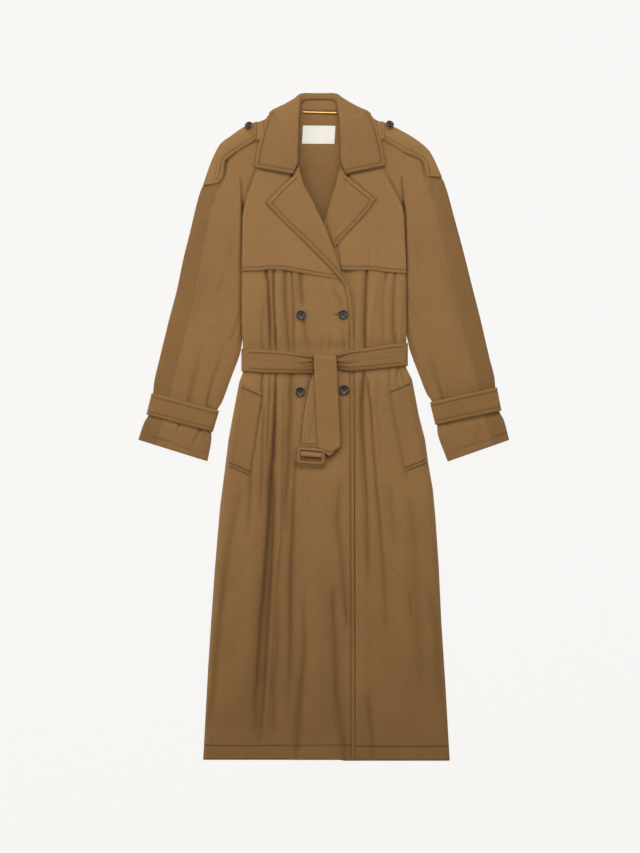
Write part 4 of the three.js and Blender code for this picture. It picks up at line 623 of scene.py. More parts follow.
# Creases in the sleeves: a line of places (x, y, depth, width).
RIGHT_ARM = [
    [(227.4, 158, 0, 1.2), (226.4, 163, 3.0, 1.3), (225.4, 172, 3.2, 1.3), (224.0, 181, 1.4, 1.2), (222, 188, 0, 1.4)],
    [(240, 152, 0, 1.6), (233, 157, 1.6, 1.5), (228, 161, 2.2, 1.3)],
    [(241.2, 176, 0, 0.9), (241.3, 182, 3.2, 0.9), (241.9, 195, 4.6, 0.9), (242.4, 208, 4.8, 0.9), (242.6, 214, 3.2, 0.9)],
    [(224.2, 268, 0, 2.2), (222.6, 280, 1.3, 2.0), (218.6, 293, 0.9, 2.0), (214, 304, 0, 2.2)],
    [(241.6, 306, 0, 2.0), (238.8, 318, 1.5, 1.9), (234.6, 332, 1.4, 1.9), (229, 346, 0, 2.2)],
    [(206, 336, 0, 3.4), (200, 360, 0.9, 3.2), (193.6, 382, 1.7, 2.8), (189.2, 402, 2.7, 2.4), (188.6, 407, 1.0, 2.2)],
    [(197.4, 382, 0, 1.3), (194.6, 393, 0.9, 1.2), (192.6, 404, 1.4, 1.2)],
    [(227, 340, 0, 3.0), (220.5, 360, 1.1, 2.6), (213.4, 380, 2.0, 2.2), (208.2, 400, 3.0, 1.7), (207.2, 408, 3.2, 1.6)],
    [(214, 398, 0, 1.4), (210.8, 408, 1.8, 1.2)],
    [(181, 422, 2.6, 1.5), (178.6, 429, 1.5, 1.6), (174, 438, 0, 2.0)],
    [(182, 424, 1.4, 1.1), (183.4, 432, 0.9, 1.2), (184, 440, 0, 1.6)],
    [(201.8, 427, 3.0, 1.5), (198.4, 434, 2.0, 1.5), (194.2, 442, 1.2, 1.6), (191.6, 450, 0, 2.0)],
    [(202.2, 429, 1.8, 1.1), (204.2, 436, 1.0, 1.3), (205.6, 443, 0, 1.6)],
    [(212, 240, 0, 5.0), (205, 275, 0.8, 5.0), (196, 315, 0.7, 5.0), (188, 345, 0, 5.0)],
    [(233, 225, 0, 3.6), (231, 250, 1.0, 3.6), (229, 275, 0, 3.6)],
]
LEFT_ARM = [
    [(419.6, 160, 0, 1.0), (422.6, 164, 2.6, 1.1), (423.8, 171, 2.4, 1.1), (425, 178, 1.0, 1.1), (426.4, 186, 0, 1.4)],
    [(399, 153, 0, 1.4), (408, 156.6, 1.4, 1.3), (416, 159.6, 1.8, 1.2)],
    [(402.0, 175, 0, 0.9), (402.1, 182, 3.4, 0.9), (402.8, 195, 4.8, 0.95), (403.6, 208, 4.8, 0.95), (404, 214, 3.2, 0.9)],
    [(405.8, 288, 0, 2.0), (408.6, 300, 1.3, 1.8), (414.6, 313, 1.2, 1.8), (421, 325, 0, 2.2)],
    [(407.2, 324, 0, 1.9), (409.6, 336, 1.4, 1.7), (413.2, 350, 1.2, 1.7), (418, 362, 0, 2.0)],
    [(426, 345, 0, 3.4), (431.6, 362, 1.1, 3.0), (436.6, 380, 2.2, 2.5), (441.2, 393, 3.0, 1.9), (443.2, 401, 3.2, 1.7)],
    [(443.4, 376, 0, 1.5), (446.2, 388, 1.0, 1.3), (448.2, 400, 1.6, 1.2)],
    [(447.8, 421, 2.0, 1.6), (447.2, 428, 0.9, 1.4), (447, 434, 0, 1.6)],
    [(451, 421, 1.2, 1.2), (452.6, 428, 0.5, 1.4), (454, 433, 0, 1.6)],
    [(494.2, 408, 1.6, 1.1), (494.4, 417, 1.2, 1.1), (494.6, 424, 0, 1.3)],
    [(478.6, 424, 0, 2.4), (477.4, 432, 0.8, 2.2), (476.6, 442, 0.3, 2.2), (476, 448, 0, 2.4)],
    [(438, 240, 0, 5.0), (447, 280, 0.8, 5.0), (458, 320, 0.7, 5.0), (466, 350, 0, 5.0)],
    [(414, 225, 0, 3.6), (417, 250, 0.9, 3.6), (420, 278, 0, 3.6)],
]


def crease_field(lines, x, y):
    total = np.zeros(np.shape(x))
    for pts in lines:
        best = np.full(np.shape(x), 1e9)
        amp = np.zeros(np.shape(x))
        wid = np.ones(np.shape(x))
        for a, b in zip(pts[:-1], pts[1:]):
            dx, dy = b[0] - a[0], b[1] - a[1]
            t = np.clip(((x - a[0]) * dx + (y - a[1]) * dy) / (dx * dx + dy * dy), 0, 1)
            d = np.hypot(x - a[0] - t * dx, y - a[1] - t * dy)
            near = d < best
            best = np.where(near, d, best)
            amp = np.where(near, mix(a[2], b[2], t), amp)
            wid = np.where(near, mix(a[3], b[3], t), wid)
        total = total - amp * np.exp(-(best / wid) ** 2)
    return total


def creased(lines, x, y):
    """The shade painted into the creases."""
    return -0.8 * np.clip(-crease_field(lines, x, y), 0, 5)


SEAM = 0.25


def arm_rows(table, n):
    k = np.array(table)
    s = np.concatenate([[0], np.cumsum(np.hypot(*np.diff((k[:, 0:2] + k[:, 2:4]) / 2, axis=0).T))])
    at = np.linspace(0, s[-1], n)
    # rows close together at the cuff's edge
    at = np.concatenate([at[:-1], s[-1] - np.array([1.3, 0.85, 0.5, 0.22, 0])])
    at = np.sort(at)
    return np.stack([pchip(s, k[:, c])(at) if c > 3 else np.interp(at, s, k[:, c]) * 0.35 + pchip(s, k[:, c])(at) * 0.65 for c in range(7)], -1)


def arm_top(r, s):
    ox, oy, ix, iy, zi, zm, lf = (r[:, c][:, None] for c in range(7))
    w = np.hypot(ox - ix, oy - iy)
    rise = np.sqrt(np.clip(1 - (1 - np.clip(s * w / 5.5, 0, 1)) ** 2, 0, 1))
    outer = mix(3.2 + lf * 0.5, mix(zm * 0.76, zm, smooth(s / 0.32)), rise)
    inner = mix(zm, zi, smooth((s - 0.5) / 0.5) * 0.4 + 0.6 * np.clip((s - 0.78) / 0.22, 0, 1) ** 2)
    return np.where(s < 0.5, outer, inner)


# Painted shadow on the sleeves where the epaulettes, the collar and the cuffs' straps lie on them: path, how dark, how
# wide.
ON_SLEEVE = {
    "right": [([(258.6, 141.4), (248, 144.6), (237.8, 148.8), (230.5, 153.2), (225.8, 158.8), (223.9, 166), (223.0, 175), (218.6, 186.4)], 3.8, 1.8),
              ([(254.6, 167.5), (258.2, 145.6), (266.6, 116.5)], 2.6, 1.5),
              ([(148, 393.9), (184, 402.4), (218.5, 409.8)], 2.6, 1.4), ([(147, 412.6), (182, 422.6), (215.6, 431.8)], 3.4, 1.5)],
    "left": [([(383.3, 139.6), (394, 144.4), (405.0, 150.6), (414, 153.6), (419.2, 156.2), (424.2, 160.6), (426.8, 167), (429.2, 176.4)], 3.8, 1.8),
             ([(384.4, 166.4), (379.0, 134.7), (370.8, 114.6)], 2.6, 1.5),
             ([(430.7, 401.4), (462, 394.6), (496.4, 386)], 2.6, 1.4), ([(436.2, 425), (468, 419.6), (500, 413.6)], 3.4, 1.5)],
}


def sleeve(side, table, creases, seam_out, hem_line):
    r = arm_rows(table, 186)
    ox, oy, ix, iy = (r[:, c][:, None] for c in range(4))
    w = np.hypot(ox - ix, oy - iy)[:, 0]
    slit = 0.10 / w
    # upper side, from the overarm seam to the inner edge
    u = across(w * (1 - SEAM), 1.3, EDGE, EDGE_PLAIN)
    s = (SEAM + slit)[:, None] + (1 - SEAM - slit)[:, None] * u
    X, Y = mix(ox, ix, s), mix(oy, iy, s)
    fall = smooth((s - SEAM) * w[:, None] / 2) * 0 + 1
    Z = arm_top(r, s) + (crease_field(creases, X, Y) + uneven(X, Y, 0.4, 0.22, 0.07)) * fall
    seam = list(zip(mix(r[:, 0], r[:, 2], SEAM)[::6], mix(r[:, 1], r[:, 3], SEAM)[::6]))
    hem = [(r[-1, 0], r[-1, 1]), (r[-1, 2], r[-1, 3])]
    raglan = list(zip(r[::4, 2], r[::4, 3]))[:24]
    stitched = [hem_line, offset(raglan, 2.4 if side == "left" else -2.4)]
    Z, painted_light = welt(X, Y, Z, [seam, hem], stitched, puff=0.1, drop=0.55)
    inner_edge = list(zip(r[::3, 2], r[::3, 3]))
    din = distance(X, Y, inner_edge)
    Z = Z - 1.3 * np.exp(-(din / 2.6) ** 2) * smooth((Y - 170) / 12)
    rim = [((right_side(v) - 1.3) if side == "right" else (left_side(v) + 0.6), v) for v in range(204, 349, 4)]
    gap = distance(X, Y, rim)
    Z = Z - 2.6 * np.exp(-(gap / 1.5) ** 1.4)
    # painted shade by the inner edge, painted shadow in the gap by the body's side, painted shade in the creases, then
    # painted shadow beneath the epaulettes, collar and cuff straps
    painted_light = painted_light - 0.8 * np.exp(-(din / 2.4) ** 2) * smooth((Y - 174) / 10) * (1 - smooth((Y - 352) / 20)) - 3.6 * np.exp(-(gap / 1.0) ** 1.6) + creased(creases, X, Y)
    for path, deep, wide in ON_SLEEVE[side]:
        painted_light = painted_light - deep * np.exp(-(distance(X, Y, path) / wide) ** 1.4)
    # a darker line along the overarm seam
    painted_light = painted_light - 1.9 * np.exp(-(distance(X, Y, seam) / 0.9) ** 2) * smooth((Y - 178) / 8)
    Z = np.maximum(Z, (0.3 + T) + 0.4)
    # the whole front of the sleeve is painted a little darker
    shell(f"sleeve_front_{side}_cloth", X, Y, Z, painted_light=painted_light, grain=math.radians(-16 if side == "right" else 14), node=f"sleeve_front_{side}", painted_piece_shade=-0.4)
    # round the outer fold and beneath
    top = SEAM - 0.10 / w
    a = np.array([1, 0.985, 0.965, 0.93, 0.89, 0.84, 0.78, 0.72, 0.66, 0.6, 0.54, 0.48, 0.42, 0.36, 0.3, 0.25, 0.2, 0.155, 0.115, 0.08, 0.05, 0.028, 0.012, 0.003])
    s1 = top[:, None] * a[None, :]
    z1 = arm_top(r, s1)
    x1, y1 = mix(ox, ix, s1), mix(oy, iy, s1)
    up = smooth(s1 * w[:, None] / 4)
    z1 = z1 + (crease_field(creases, x1, y1) + uneven(x1, y1, 0.4, 0.22, 0.07)) * up
    z1, t1 = welt(x1, y1, z1, [seam], [hem_line, offset(seam, seam_out)], puff=0.1, drop=0.45)
    lf = (r[:, 6] * np.where(r[:, 5] < 8, 1, 1))[:, None]
    under = np.array([0.0, 0.006, 0.02, 0.045, 0.09, 0.2, 0.35, 0.5, 0.65, 0.8, 0.92, 0.997])
    s2 = np.repeat(under[None, :], len(w), 0)
    flat = lf * np.where((r[:, 5] < 8)[:, None], 1, 1 - smooth((s2 - 0.3) / 0.3))
    side_share = np.exp(-(s2 * w[:, None] / 1.4)) * 0.55
    z_top = arm_top(r, s2 * 0)
    z2 = mix(flat, z_top, side_share)
    x2, y2 = mix(ox, ix, s2), mix(oy, iy, s2)
    X, Y, Z = np.concatenate([x1, x2], 1), np.concatenate([y1, y2], 1), np.concatenate([z1, z2], 1)
    # painted shadow beneath the cuff strap, and a darker line along the seam's stitching
    for path, deep, wide in ON_SLEEVE[side][2:]:
        t1 = t1 - deep * np.exp(-(distance(x1, y1, path) / wide) ** 1.4)
    t1 = t1 - 1.0 * np.exp(-(distance(x1, y1, offset(seam, seam_out)) / 0.9) ** 2)
    painted_light = np.concatenate([t1, np.zeros_like(z2)], 1)
    # painted shade: the band beyond the overarm seam slopes away from the light, so the whole piece is painted darker
    shell(f"sleeve_back_{side}_cloth", X, Y, Z, by_normal=True, painted_light=painted_light, grain=math.radians(-16 if side == "right" else 14), node=f"sleeve_back_{side}", painted_piece_shade=-2.0)
    k = [i for i, q in enumerate(seam) if True]
    sew(offset(seam, seam_out)[3:])
    sew(hem_line)
    sew(offset(raglan, 2.4 if side == "left" else -2.4)[6:])


sleeve("right", RIGHT_SLEEVE, RIGHT_ARM, 2.7, [(140.6, 431.9), (155, 436.8), (170, 442.2), (180, 446), (190, 449), (208.8, 453.4)])
sleeve("left", LEFT_SLEEVE, LEFT_ARM, -2.7, [(445.6, 453.6), (460, 448.8), (470, 445), (480, 441.4), (495, 437), (506.8, 432.6)])

# Fronts.
# Painted shadow where belt, straps, buckle and storm flaps lie close over the fronts: path, how dark, how wide.
UNDER = [
    ([(241.5, 371.8), (260, 373.4), (278, 374.0), (296, 374.4), (313, 374.6)], 3.6, 1.9),
    ([(337, 367.6), (342, 371.0), (350, 371.8), (368, 370.6), (386, 368.6), (406, 366.4)], 3.4, 1.8),
    ([(337.4, 376), (338.8, 401), (340.2, 425), (341.0, 443.5), (336, 450), (330, 455.5)], 3.2, 1.7),
    ([(313.0, 376), (308.5, 388), (305.9, 402), (303.3, 418), (301.9, 431), (300.9, 443)], 2.8, 1.8),
    ([(296.6, 450), (295.6, 463.5), (298, 466.2), (323.5, 468.2), (325.6, 463), (326.6, 452)], 2.8, 2.4),
    ([(241.5, 348.6), (260, 349.4), (278, 350.4), (296, 352.6), (313, 355)], 1.6, 1.2),
    ([(337, 355), (342, 352.4), (350, 350), (368, 347.6), (386, 344.8), (404, 343.2)], 1.6, 1.2),
    ([(241.7, 271.4), (258, 270.8), (287, 271.9), (310, 275), (340, 279.8)], 2.4, 1.5),
    ([(341.5, 270.6), (370, 270.6), (405.5, 273)], 2.6, 1.5),
]
# The same painted shadow on the storm flaps, beneath the lapels and the collar.
UNDER_LAPELS = {
    "right": [([(293.2, 175.2), (285, 183.6), (280, 188.8), (275, 194.5), (269.4, 200.4), (266.3, 203.4), (269, 207.6), (287, 222.8), (306.4, 241.4), (330, 266), (343.5, 280)], 3.4, 1.5),
              ([(255.8, 168.8), (262, 169.9), (270, 171.4), (280, 173.2), (290, 174.8), (293.4, 175.4)], 4.2, 1.7), ([(291.4, 176.0), (293.0, 175.6)], 3.5, 1.6)],
    "left": [([(346.6, 175.2), (360, 186.2), (370, 195), (376.2, 200.3), (370, 207), (354.6, 223.8), (335.2, 248)], 3.4, 1.5),
             ([(346.4, 175.4), (360, 172.2), (385, 167.6)], 4.2, 1.7), ([(346.8, 175.6), (348.6, 176.0)], 3.5, 1.6)],
}

ROUND_BUTTONS = [(297.6, 315.4, 4.9), (339.0, 314.6, 4.9), (296.8, 392.0, 4.9), (340.2, 390.4, 4.9)]


def contact(X, Y):
    """A painted shadow on the cloth that lies close beneath another piece."""
    t = 0 * X
    for path, deep, wide in UNDER:
        t = t - deep * np.exp(-(distance(X, Y, path) / wide) ** 1.35)
    return t


def front(xl_f, xr_f, y0, y1, edges, stitched, z_of, left_cols, right_cols, count, dense, hem_y):
    ys = rows_of(y0, y1, 2.05, (0,), (0, 0.25, 0.6, 1.0, 1.5, 2.2, 3.0, 4.2, 6, 8))
    extra = hem_y + np.array([-0.8, -0.4, 0, 0.4, 0.8])
    ys = np.sort(np.concatenate([ys, extra]))
    keep = np.concatenate([[True], np.diff(ys) > 0.12])
    ys = ys[keep]
    xl, xr = xl_f(ys), xr_f(ys)
    # where the cloth is narrow, the columns by its inner edge draw closer together
    part = np.minimum(1, 0.6 * (xr - xl - right_cols[-1]) / left_cols[-1])
    lo, hi = xl + part * left_cols[-1], xr - right_cols[-1]
    inner = []
    for a, b in zip(lo, hi):
        xs = np.linspace(a, b, 400)
        rho = 1 / 1.8 + (1 / 0.8 - 1 / 1.8) * sum(smooth((xs - u0) / 3) * smooth((u1 - xs) / 3) for u0, u1 in dense)
        cum = np.concatenate([[0], np.cumsum((rho[1:] + rho[:-1]) / 2)])
        inner.append(np.interp(np.linspace(0, cum[-1], count), cum, xs))
    inner = np.array(inner)
    X = np.concatenate([xl[:, None] + part[:, None] * np.array(left_cols[:-1])[None, :], inner, xr[:, None] - np.array(right_cols[:-1][::-1])[None, :]], 1)
    Y = np.repeat(ys[:, None], X.shape[1], 1)
    Z, dark = z_of(X, Y)
    Z, painted_light = welt(X, Y, Z, edges, stitched, puff=0.15, drop=0.6)
    # painted highlight and shade of edges and stitching, painted shade in the folds, and painted shadow beneath belt,
    # straps and flaps
    return X, Y, Z, 1.4 * painted_light + dark + contact(X, Y)


def free_cloth(X, Y):
    """Where neither belt nor strap holds the cloth down, it stands a little higher."""
    held = np.exp(-((X - 318) / 26) ** 6) * smooth((Y - 356) / 8) * (1 - smooth((Y - 462) / 12))
    return 1.0 * belt_hold(Y) * smooth((Y - 272) / 12) * (1 - smooth((Y - 690) / 50)) * (1 - held)


hem_right = [(203.5, 745.4), (240, 745.8), (278, 745.4), (351, 745.0)]
hem_left = [(357, 746.2), (400, 746.6), (449, 746.4)]


def z_left(X, Y):
    ds, dl = left_side(Y) - X, X - 353.2
    edge = 1 - np.exp(-(np.maximum(ds, 0) / 2.6) ** 1.25)
    waves, dark = fold_field(LEFT_FOLDS, X, Y)
    body = body_z(Y) + free_cloth(X, Y) + (waves * mix(0.35, 1, belt_hold(Y)) + uneven(X, Y, 0.55, 0.35, 0.09)) * smooth((Y - 262) / 8)
    body = mix(side_z(Y), body, edge)
    hidden = mix(7.0, 5.9, smooth((Y - 262) / 23)) + 0 * X
    shelf = smooth(dl / 3.6)
    chest = smooth((Y - 240) / 30)
    shelf = mix(smooth((X - 330) / 20), shelf, chest)
    z = mix(hidden, body, shelf)
    cap = np.where((Y > 346) & (Y < 375), 8.2, 99)
    return np.clip(z, 3.3, cap), dark * shelf


X, Y, Z, painted_light = front(left_roll, left_side, 140, 760.2, [[(left_side(v), v) for v in range(270, 761, 10)], [(300, 760.2), (449.4, 760.2)]], [hem_left], z_left,
                      [0, 8, 16, 24, 32, 40, 48, 54, 58, 60, 61], [0, 0.25, 0.6, 1.1, 1.7, 2.5], 78, [(350, 382)], 746.3)
Y = Y - 1.6 * (1 - smooth((X - 334) / 10)) * smooth((Y - 745) / 12)
shell("front_left_cloth", X, Y, Z, painted_light=painted_light, node="front_left")


def z_right(X, Y):
    ds, df = X - right_side(Y), right_roll(Y) - X
    edge = 1 - np.exp(-(np.maximum(ds, 0) / 2.6) ** 1.25)
    waves, dark = fold_field(RIGHT_FOLDS, X, Y)
    body = body_z(Y) + free_cloth(X, Y) + (waves * mix(0.35, 1, belt_hold(Y)) + uneven(X, Y, 0.55, 0.35, 0.09)) * smooth((Y - 262) / 8)
    tied = np.exp(-((X - 318) / 26) ** 6) * smooth((Y - 366) / 6) * (1 - smooth((Y - 458) / 10))
    body = mix(body, np.minimum(body, 11.2), tied)
    body = mix(side_z(Y), body, edge)
    tip = pchip([140, 262, 285, 330, 346, 373, 386, 440, 740, 760], [11.4, 11.4, 10.6, 9.2, 8.2, 8.2, 8.8, 9.0, 8.6, 7.9])(Y)
    z = mix(tip, body, smooth(df / 7))
    cap = np.where((Y > 346) & (Y < 375), 8.2, 99)
    return np.clip(z, 3.3, cap), dark


front_inner = lambda y: right_roll(y) - 1.8 * (1 - smooth((y - 268) / 18))
front_stitch = [(right_roll(v) - 3.1, v) for v in list(range(288, 757, 12)) + [757]]
X, Y, Z, painted_light = front(right_side, front_inner, 140, 759.3,
                      [[(right_side(v), v) for v in range(270, 760, 10)], [(203.5, 759.3), (354.2, 759.3)], [(right_roll(v), v) for v in range(272, 760, 8)]],
                      [hem_right, front_stitch], z_right, [0, 0.25, 0.6, 1.1, 1.7, 2.5], EDGE, 98, [(254, 306), (328, 349)], 745.4)
# painted shade: a dark line along the buttonhole's slit
painted_light = painted_light - 4.2 * np.exp(-(distance(X, Y, [(334.6, 314.9), (338.6, 314.8)]) / 0.8) ** 2)
under = read(widest(HEIGHT, 2), X, Y)
Z = np.where((X > 285) & (Y > 268), np.maximum(Z, under + T + 0.35), Z)
shell("front_right_cloth", X, Y, Z, painted_light=painted_light, node="front_right")
sew(front_stitch)
sew(hem_right)
sew(hem_left)

# Storm flaps.
def flap(side, outer, inner, hem, seed, pull=None):
    hem_at = lambda x: np.interp(x, [h[0] for h in hem], [h[1] for h in hem])
    span = inner(250.0) - outer(250.0)
    u = across(np.full(1, abs(span)), 1.0, EDGE, EDGE_PLAIN)[0]
    v = across(np.full(1, 108.0), 1.05, [0, 1.5], EDGE)[0]
    UU, VV = np.meshgrid(u, v)
    Y = mix(163.0, 270.0, VV)
    for _ in range(4):
        X = mix(outer(Y), inner(Y), UU)
        Y = mix(163.0, hem_at(X), VV)
    X = mix(outer(Y), inner(Y), UU)
    low = smooth((VV - 0.55) / 0.45)
    design = 11.2 + 1.7 * low * (1 - 0.55 * UU) + uneven(X, Y, 0.35, 0.22, 0.06)
    if pull is not None:
        design = design + crease_field(pull, X, Y)
    if True:
        d = distance(X, Y, [(outer(v), v) for v in range(206, 274, 4)])
        design = design - 0.5 * np.exp(-(d / 2.0) ** 1.5) * smooth((Y - 204) / 8)
    Z = over(X, Y, design, T + 0.35, 2)
    hem_path = [(x, hem_at(x)) for x in np.linspace(hem[0][0], hem[-1][0], 20)]
    stitched = [[(x, y - 3.2) for x, y in hem_path]]
    seam = [(outer(v) + (2.0 if side == "right" else -2.0), v) for v in range(166, 208, 6)]
    edges = [hem_path, [(outer(v), v) for v in range(163, 272, 6)]]
    Z, painted_light = welt(X, Y, Z, edges, stitched, puff=0.25)
    # painted highlight and shade of edges and stitching, and painted shadow beneath the lapels and the collar
    painted_light = 1.5 * painted_light
    for path, deep, wide in UNDER_LAPELS[side]:
        painted_light = painted_light - deep * np.exp(-(distance(X, Y, path) / wide) ** 1.4)
    shell(f"storm_flap_{side}_cloth", X, Y, Z, painted_light=painted_light, node=f"storm_flap_{side}")
    sew(stitched[0])


right_flap_inner = line_of([(163, 291), (175, 293), (188, 298.5), (206, 306), (223, 316), (250, 327.5), (276, 338)])
left_flap_inner = line_of([(163, 350), (175, 347.5), (188, 343.5), (206, 338.5), (223, 334.5), (240, 337.5), (268, 341.5)])
RIGHT_HEM = [(242, 270.8), (258, 270.8), (270, 269.2), (285, 270), (300, 272.7), (320, 276.2), (340, 279)]
LEFT_HEM = [(341, 269.6), (350, 270.3), (370, 270), (390, 272.3), (406.5, 273.4)]
flap("right", right_side, right_flap_inner, RIGHT_HEM, 1)
flap("left", left_side, left_flap_inner, LEFT_HEM, 2,
     [[(370.4, 238, 0, 2.0), (370.2, 252, 0.8, 1.5), (369.9, 266, 1.3, 1.2), (369.8, 272, 1.3, 1.2)],
      [(375, 240, 0, 2.6), (374.6, 256, -0.7, 2.2), (374.4, 271, -0.8, 2.2)]])

# Lapels: each row of a table is one section from the rolled edge to the outer edge.
RIGHT_LAPEL = [
    (299, 166, 18.0, 298.2, 167.8, 17.2), (300.3, 171, 18.2, 294.4, 176.2, 16.2), (301.8, 177, 18.6, 281.3, 188.4, 14.6),
    (304.6, 186.3, 19, 267.4, 203.2, 14.4), (309, 194, 19.2, 275.3, 212.6, 14.4), (313.5, 203, 19.4, 285, 222.2, 14.6),
    (322.3, 221, 19.6, 301.5, 238.2, 15.2), (329.4, 237.5, 19.4, 315, 251.5, 16.0), (334.8, 252.5, 18.6, 326, 262.6, 16.4),
    (339.6, 266.5, 17.4, 335, 272.6, 16.2), (343, 277.3, 16.2, 341, 279.6, 15.6), (346.2, 285.4, 14.8, 345.4, 286.6, 14.4)]
LEFT_LAPEL = [
    (340.6, 166.4, 17.6, 341.4, 168.4, 16.8), (339.9, 170.6, 17.6, 345.3, 176.2, 16.0), (337.6, 178, 17.6, 359.5, 187.6, 14.2),
    (335.2, 187, 17.4, 374.9, 200.2, 14.0), (332.6, 195.5, 17.2, 368.3, 210.6, 14.0), (330.2, 203.5, 16.6, 361, 218.6, 14.0),
    (327.8, 211.8, 15.2, 353.6, 226.8, 13.8), (326.7, 222.4, 12.8, 346.4, 233.9, 13.4), (328.8, 232, 11.6, 339.6, 240.6, 12.4),
    (331.7, 240.4, 12.0, 334.9, 246.6, 12.4)]


def lapel(side, table, turn, roll_f):
    k = np.array(table)
    s = np.concatenate([[0], np.cumsum(0.5 * np.hypot(*np.diff(k[:, 0:2], axis=0).T) + 0.5 * np.hypot(*np.diff(k[:, 3:5], axis=0).T))])
    at = np.unique(np.concatenate([np.arange(0, s[-1], 0.78), s, [s[-1]]]))
    keep = np.concatenate([[True], np.diff(at) > 0.1])
    at = at[keep]
    rx, ry, rz, oz = (pchip(s, k[:, c])(at)[:, None] for c in (0, 1, 2, 5))
    ox, oy = (np.interp(at, s, k[:, c])[:, None] for c in (3, 4))
    w = np.hypot(rx - ox, ry - oy)
    wmax = float(w.max())
    cols = np.concatenate([np.linspace(0, 1, 62)[1:] ** 0.9])
    rho = np.minimum(1.75, w * 0.42)
    ang = np.radians(np.array([-75, -50, -25, 0, 22, 45, 68, 90]))
    xs, ys_, zs = [], [], []
    cx, cy = mix(rx, ox, rho / np.maximum(w, 1e-6)), mix(ry, oy, rho / np.maximum(w, 1e-6))
    floor = np.maximum(read(HEIGHT, rx - turn * 2.2, ry), 9.0)
    rise = np.minimum((rz - (floor + 0.9)) / 2, 3.4)
    rise = np.maximum(rise, 0.9)
    for a_ in ang:
        f = math.cos(a_)
        xs.append(mix(cx, rx, f))
        ys_.append(mix(cy, ry, f))
        zs.append(rz - rise + rise * math.sin(a_))
    for c in cols:
        x, y = mix(cx, ox, c), mix(cy, oy, c)
        xs.append(x)
        ys_.append(y)
        zs.append(mix(rz, oz, np.sin(c * math.pi / 2)) + 0.55 * math.sin(math.pi * c) * np.clip(w / 40, 0, 1))
    X, Y, Z = (np.concatenate(v, 1) for v in (xs, ys_, zs))
    outline = [tuple(p) for p in k[1:, 3:5]]
    line = offset(outline, 3.4 * turn)
    line = [line[0]] + line[1:]
    lim = smooth(w / 7)
    flatpart = np.zeros(Z.shape, bool)
    flatpart[:, 7:] = True
    wob = uneven(X, Y, 0.3, 0.25, 0.07) * lim
    Zt = np.where(flatpart, Z + wob * smooth((np.arange(Z.shape[1]) - 7) / 12)[None, :], Z)
    Zl = over(X, Y, Zt, T + 0.3, 2)
    Zw, painted_light = welt(X, Y, Zl, [outline], [line], puff=0.3)
    Z2 = np.where(flatpart, Zw, Z)
    # painted highlight along the outer edge and painted shade in the stitching, on the flat part; the whole lapel is
    # painted a little darker
    painted_light = np.where(flatpart, 1.5 * painted_light, 0)
    shell(f"lapel_{side}_cloth", X, Y, Z2, painted_light=painted_light, node=f"lapel_{side}", grain=math.radians(18 * turn), painted_piece_shade=-0.5)
    sew(line)


lapel("left", LEFT_LAPEL, -1, left_roll)
lapel("right", RIGHT_LAPEL, 1, right_roll)

# Collar: sections from inside the neck, over the roll and the leaf, to the outer edge.
RIGHT_COLLAR = [
    dict(i=(294.4, 172.9, 14), r=(293.2, 174, 17.2), o=(255.2, 167.5, 15.4)),
    dict(i=(298.6, 161.6, 14.5), r=(297.2, 161.6, 19), o=(256.5, 156.6, 14.6)),
    dict(i=(298.9, 149, 14.5), r=(297.3, 149, 20), o=(258.6, 146.4, 14)),
    dict(i=(299.3, 133, 14.5), r=(297.8, 133, 20), o=(262.6, 131.4, 13.6)),
    dict(i=(299.8, 120, 13.5), r=(298.3, 120, 19), o=(266, 119.4, 12)),
    dict(i=(300.2, 114, 12.8), r=(298.5, 114, 18), t=(269, 114, 9.8), o=(269.6, 114.9, 7.2)),
    dict(i=(300.4, 110, 12.5), r=(298.7, 109, 17.2), t=(272.2, 110.4, 8.4), o=(273.6, 113.4, 1)),
    dict(i=(300.9, 106.5, 12), r=(299, 104.6, 16.2), t=(278, 107.5, 7.8), o=(279.6, 118, 0)),
    dict(i=(301.4, 103.8, 11), r=(299.5, 100.8, 14.8), t=(285.6, 104, 7.2), o=(286.5, 124.5, 0)),
    dict(i=(302.6, 101.6, 9.6), r=(300.4, 97, 12.6), t=(294, 98.9, 6.4), o=(294, 128.6, 0)),
    dict(i=(305, 100, 8.2), r=(303, 94.2, 9.6), t=(302, 93.6, 5), o=(304, 131.4, 0))]
NECK_COLLAR = dict(i=(319, 99.4, 7.8), r=(319, 94.4, 8.2), t=(319, 93.4, 4.4), o=(319, 132.5, 0))
LEFT_COLLAR = [
    dict(i=(344.6, 173, 14), r=(345.8, 174, 17.2), o=(385, 165.8, 15.4)),
    dict(i=(340.4, 161.6, 14.5), r=(341.8, 161.6, 19), o=(383.4, 155.2, 14.6)),
    dict(i=(340, 149, 14.5), r=(341.6, 149, 20), o=(381, 144.6, 14)),
    dict(i=(339.6, 133, 14.5), r=(341.3, 133, 20), o=(377.8, 131, 13.6)),
    dict(i=(338.6, 120, 13.5), r=(340, 120, 19), o=(374, 119.4, 12)),
    dict(i=(338, 114, 12.8), r=(339.3, 114, 18), t=(371, 114.6, 9.8), o=(370.4, 115.5, 7.2)),
    dict(i=(337.4, 110, 12.5), r=(338.6, 109, 17.2), t=(368, 111.4, 8.4), o=(366.6, 114.2, 1)),
    dict(i=(336.8, 106.5, 12), r=(338, 104.6, 16.2), t=(360.6, 108.2, 7.8), o=(359, 118.6, 0)),
    dict(i=(336.2, 103.8, 11), r=(337.2, 100.8, 14.8), t=(352, 103.9, 7.2), o=(351.4, 124.6, 0)),
    dict(i=(335, 101.6, 9.6), r=(336.2, 97, 12.6), t=(343.6, 98.7, 6.4), o=(343.8, 128.6, 0)),
    dict(i=(332.5, 100, 8.2), r=(334, 94.2, 9.6), t=(335, 93.6, 5), o=(334.4, 131.4, 0))]


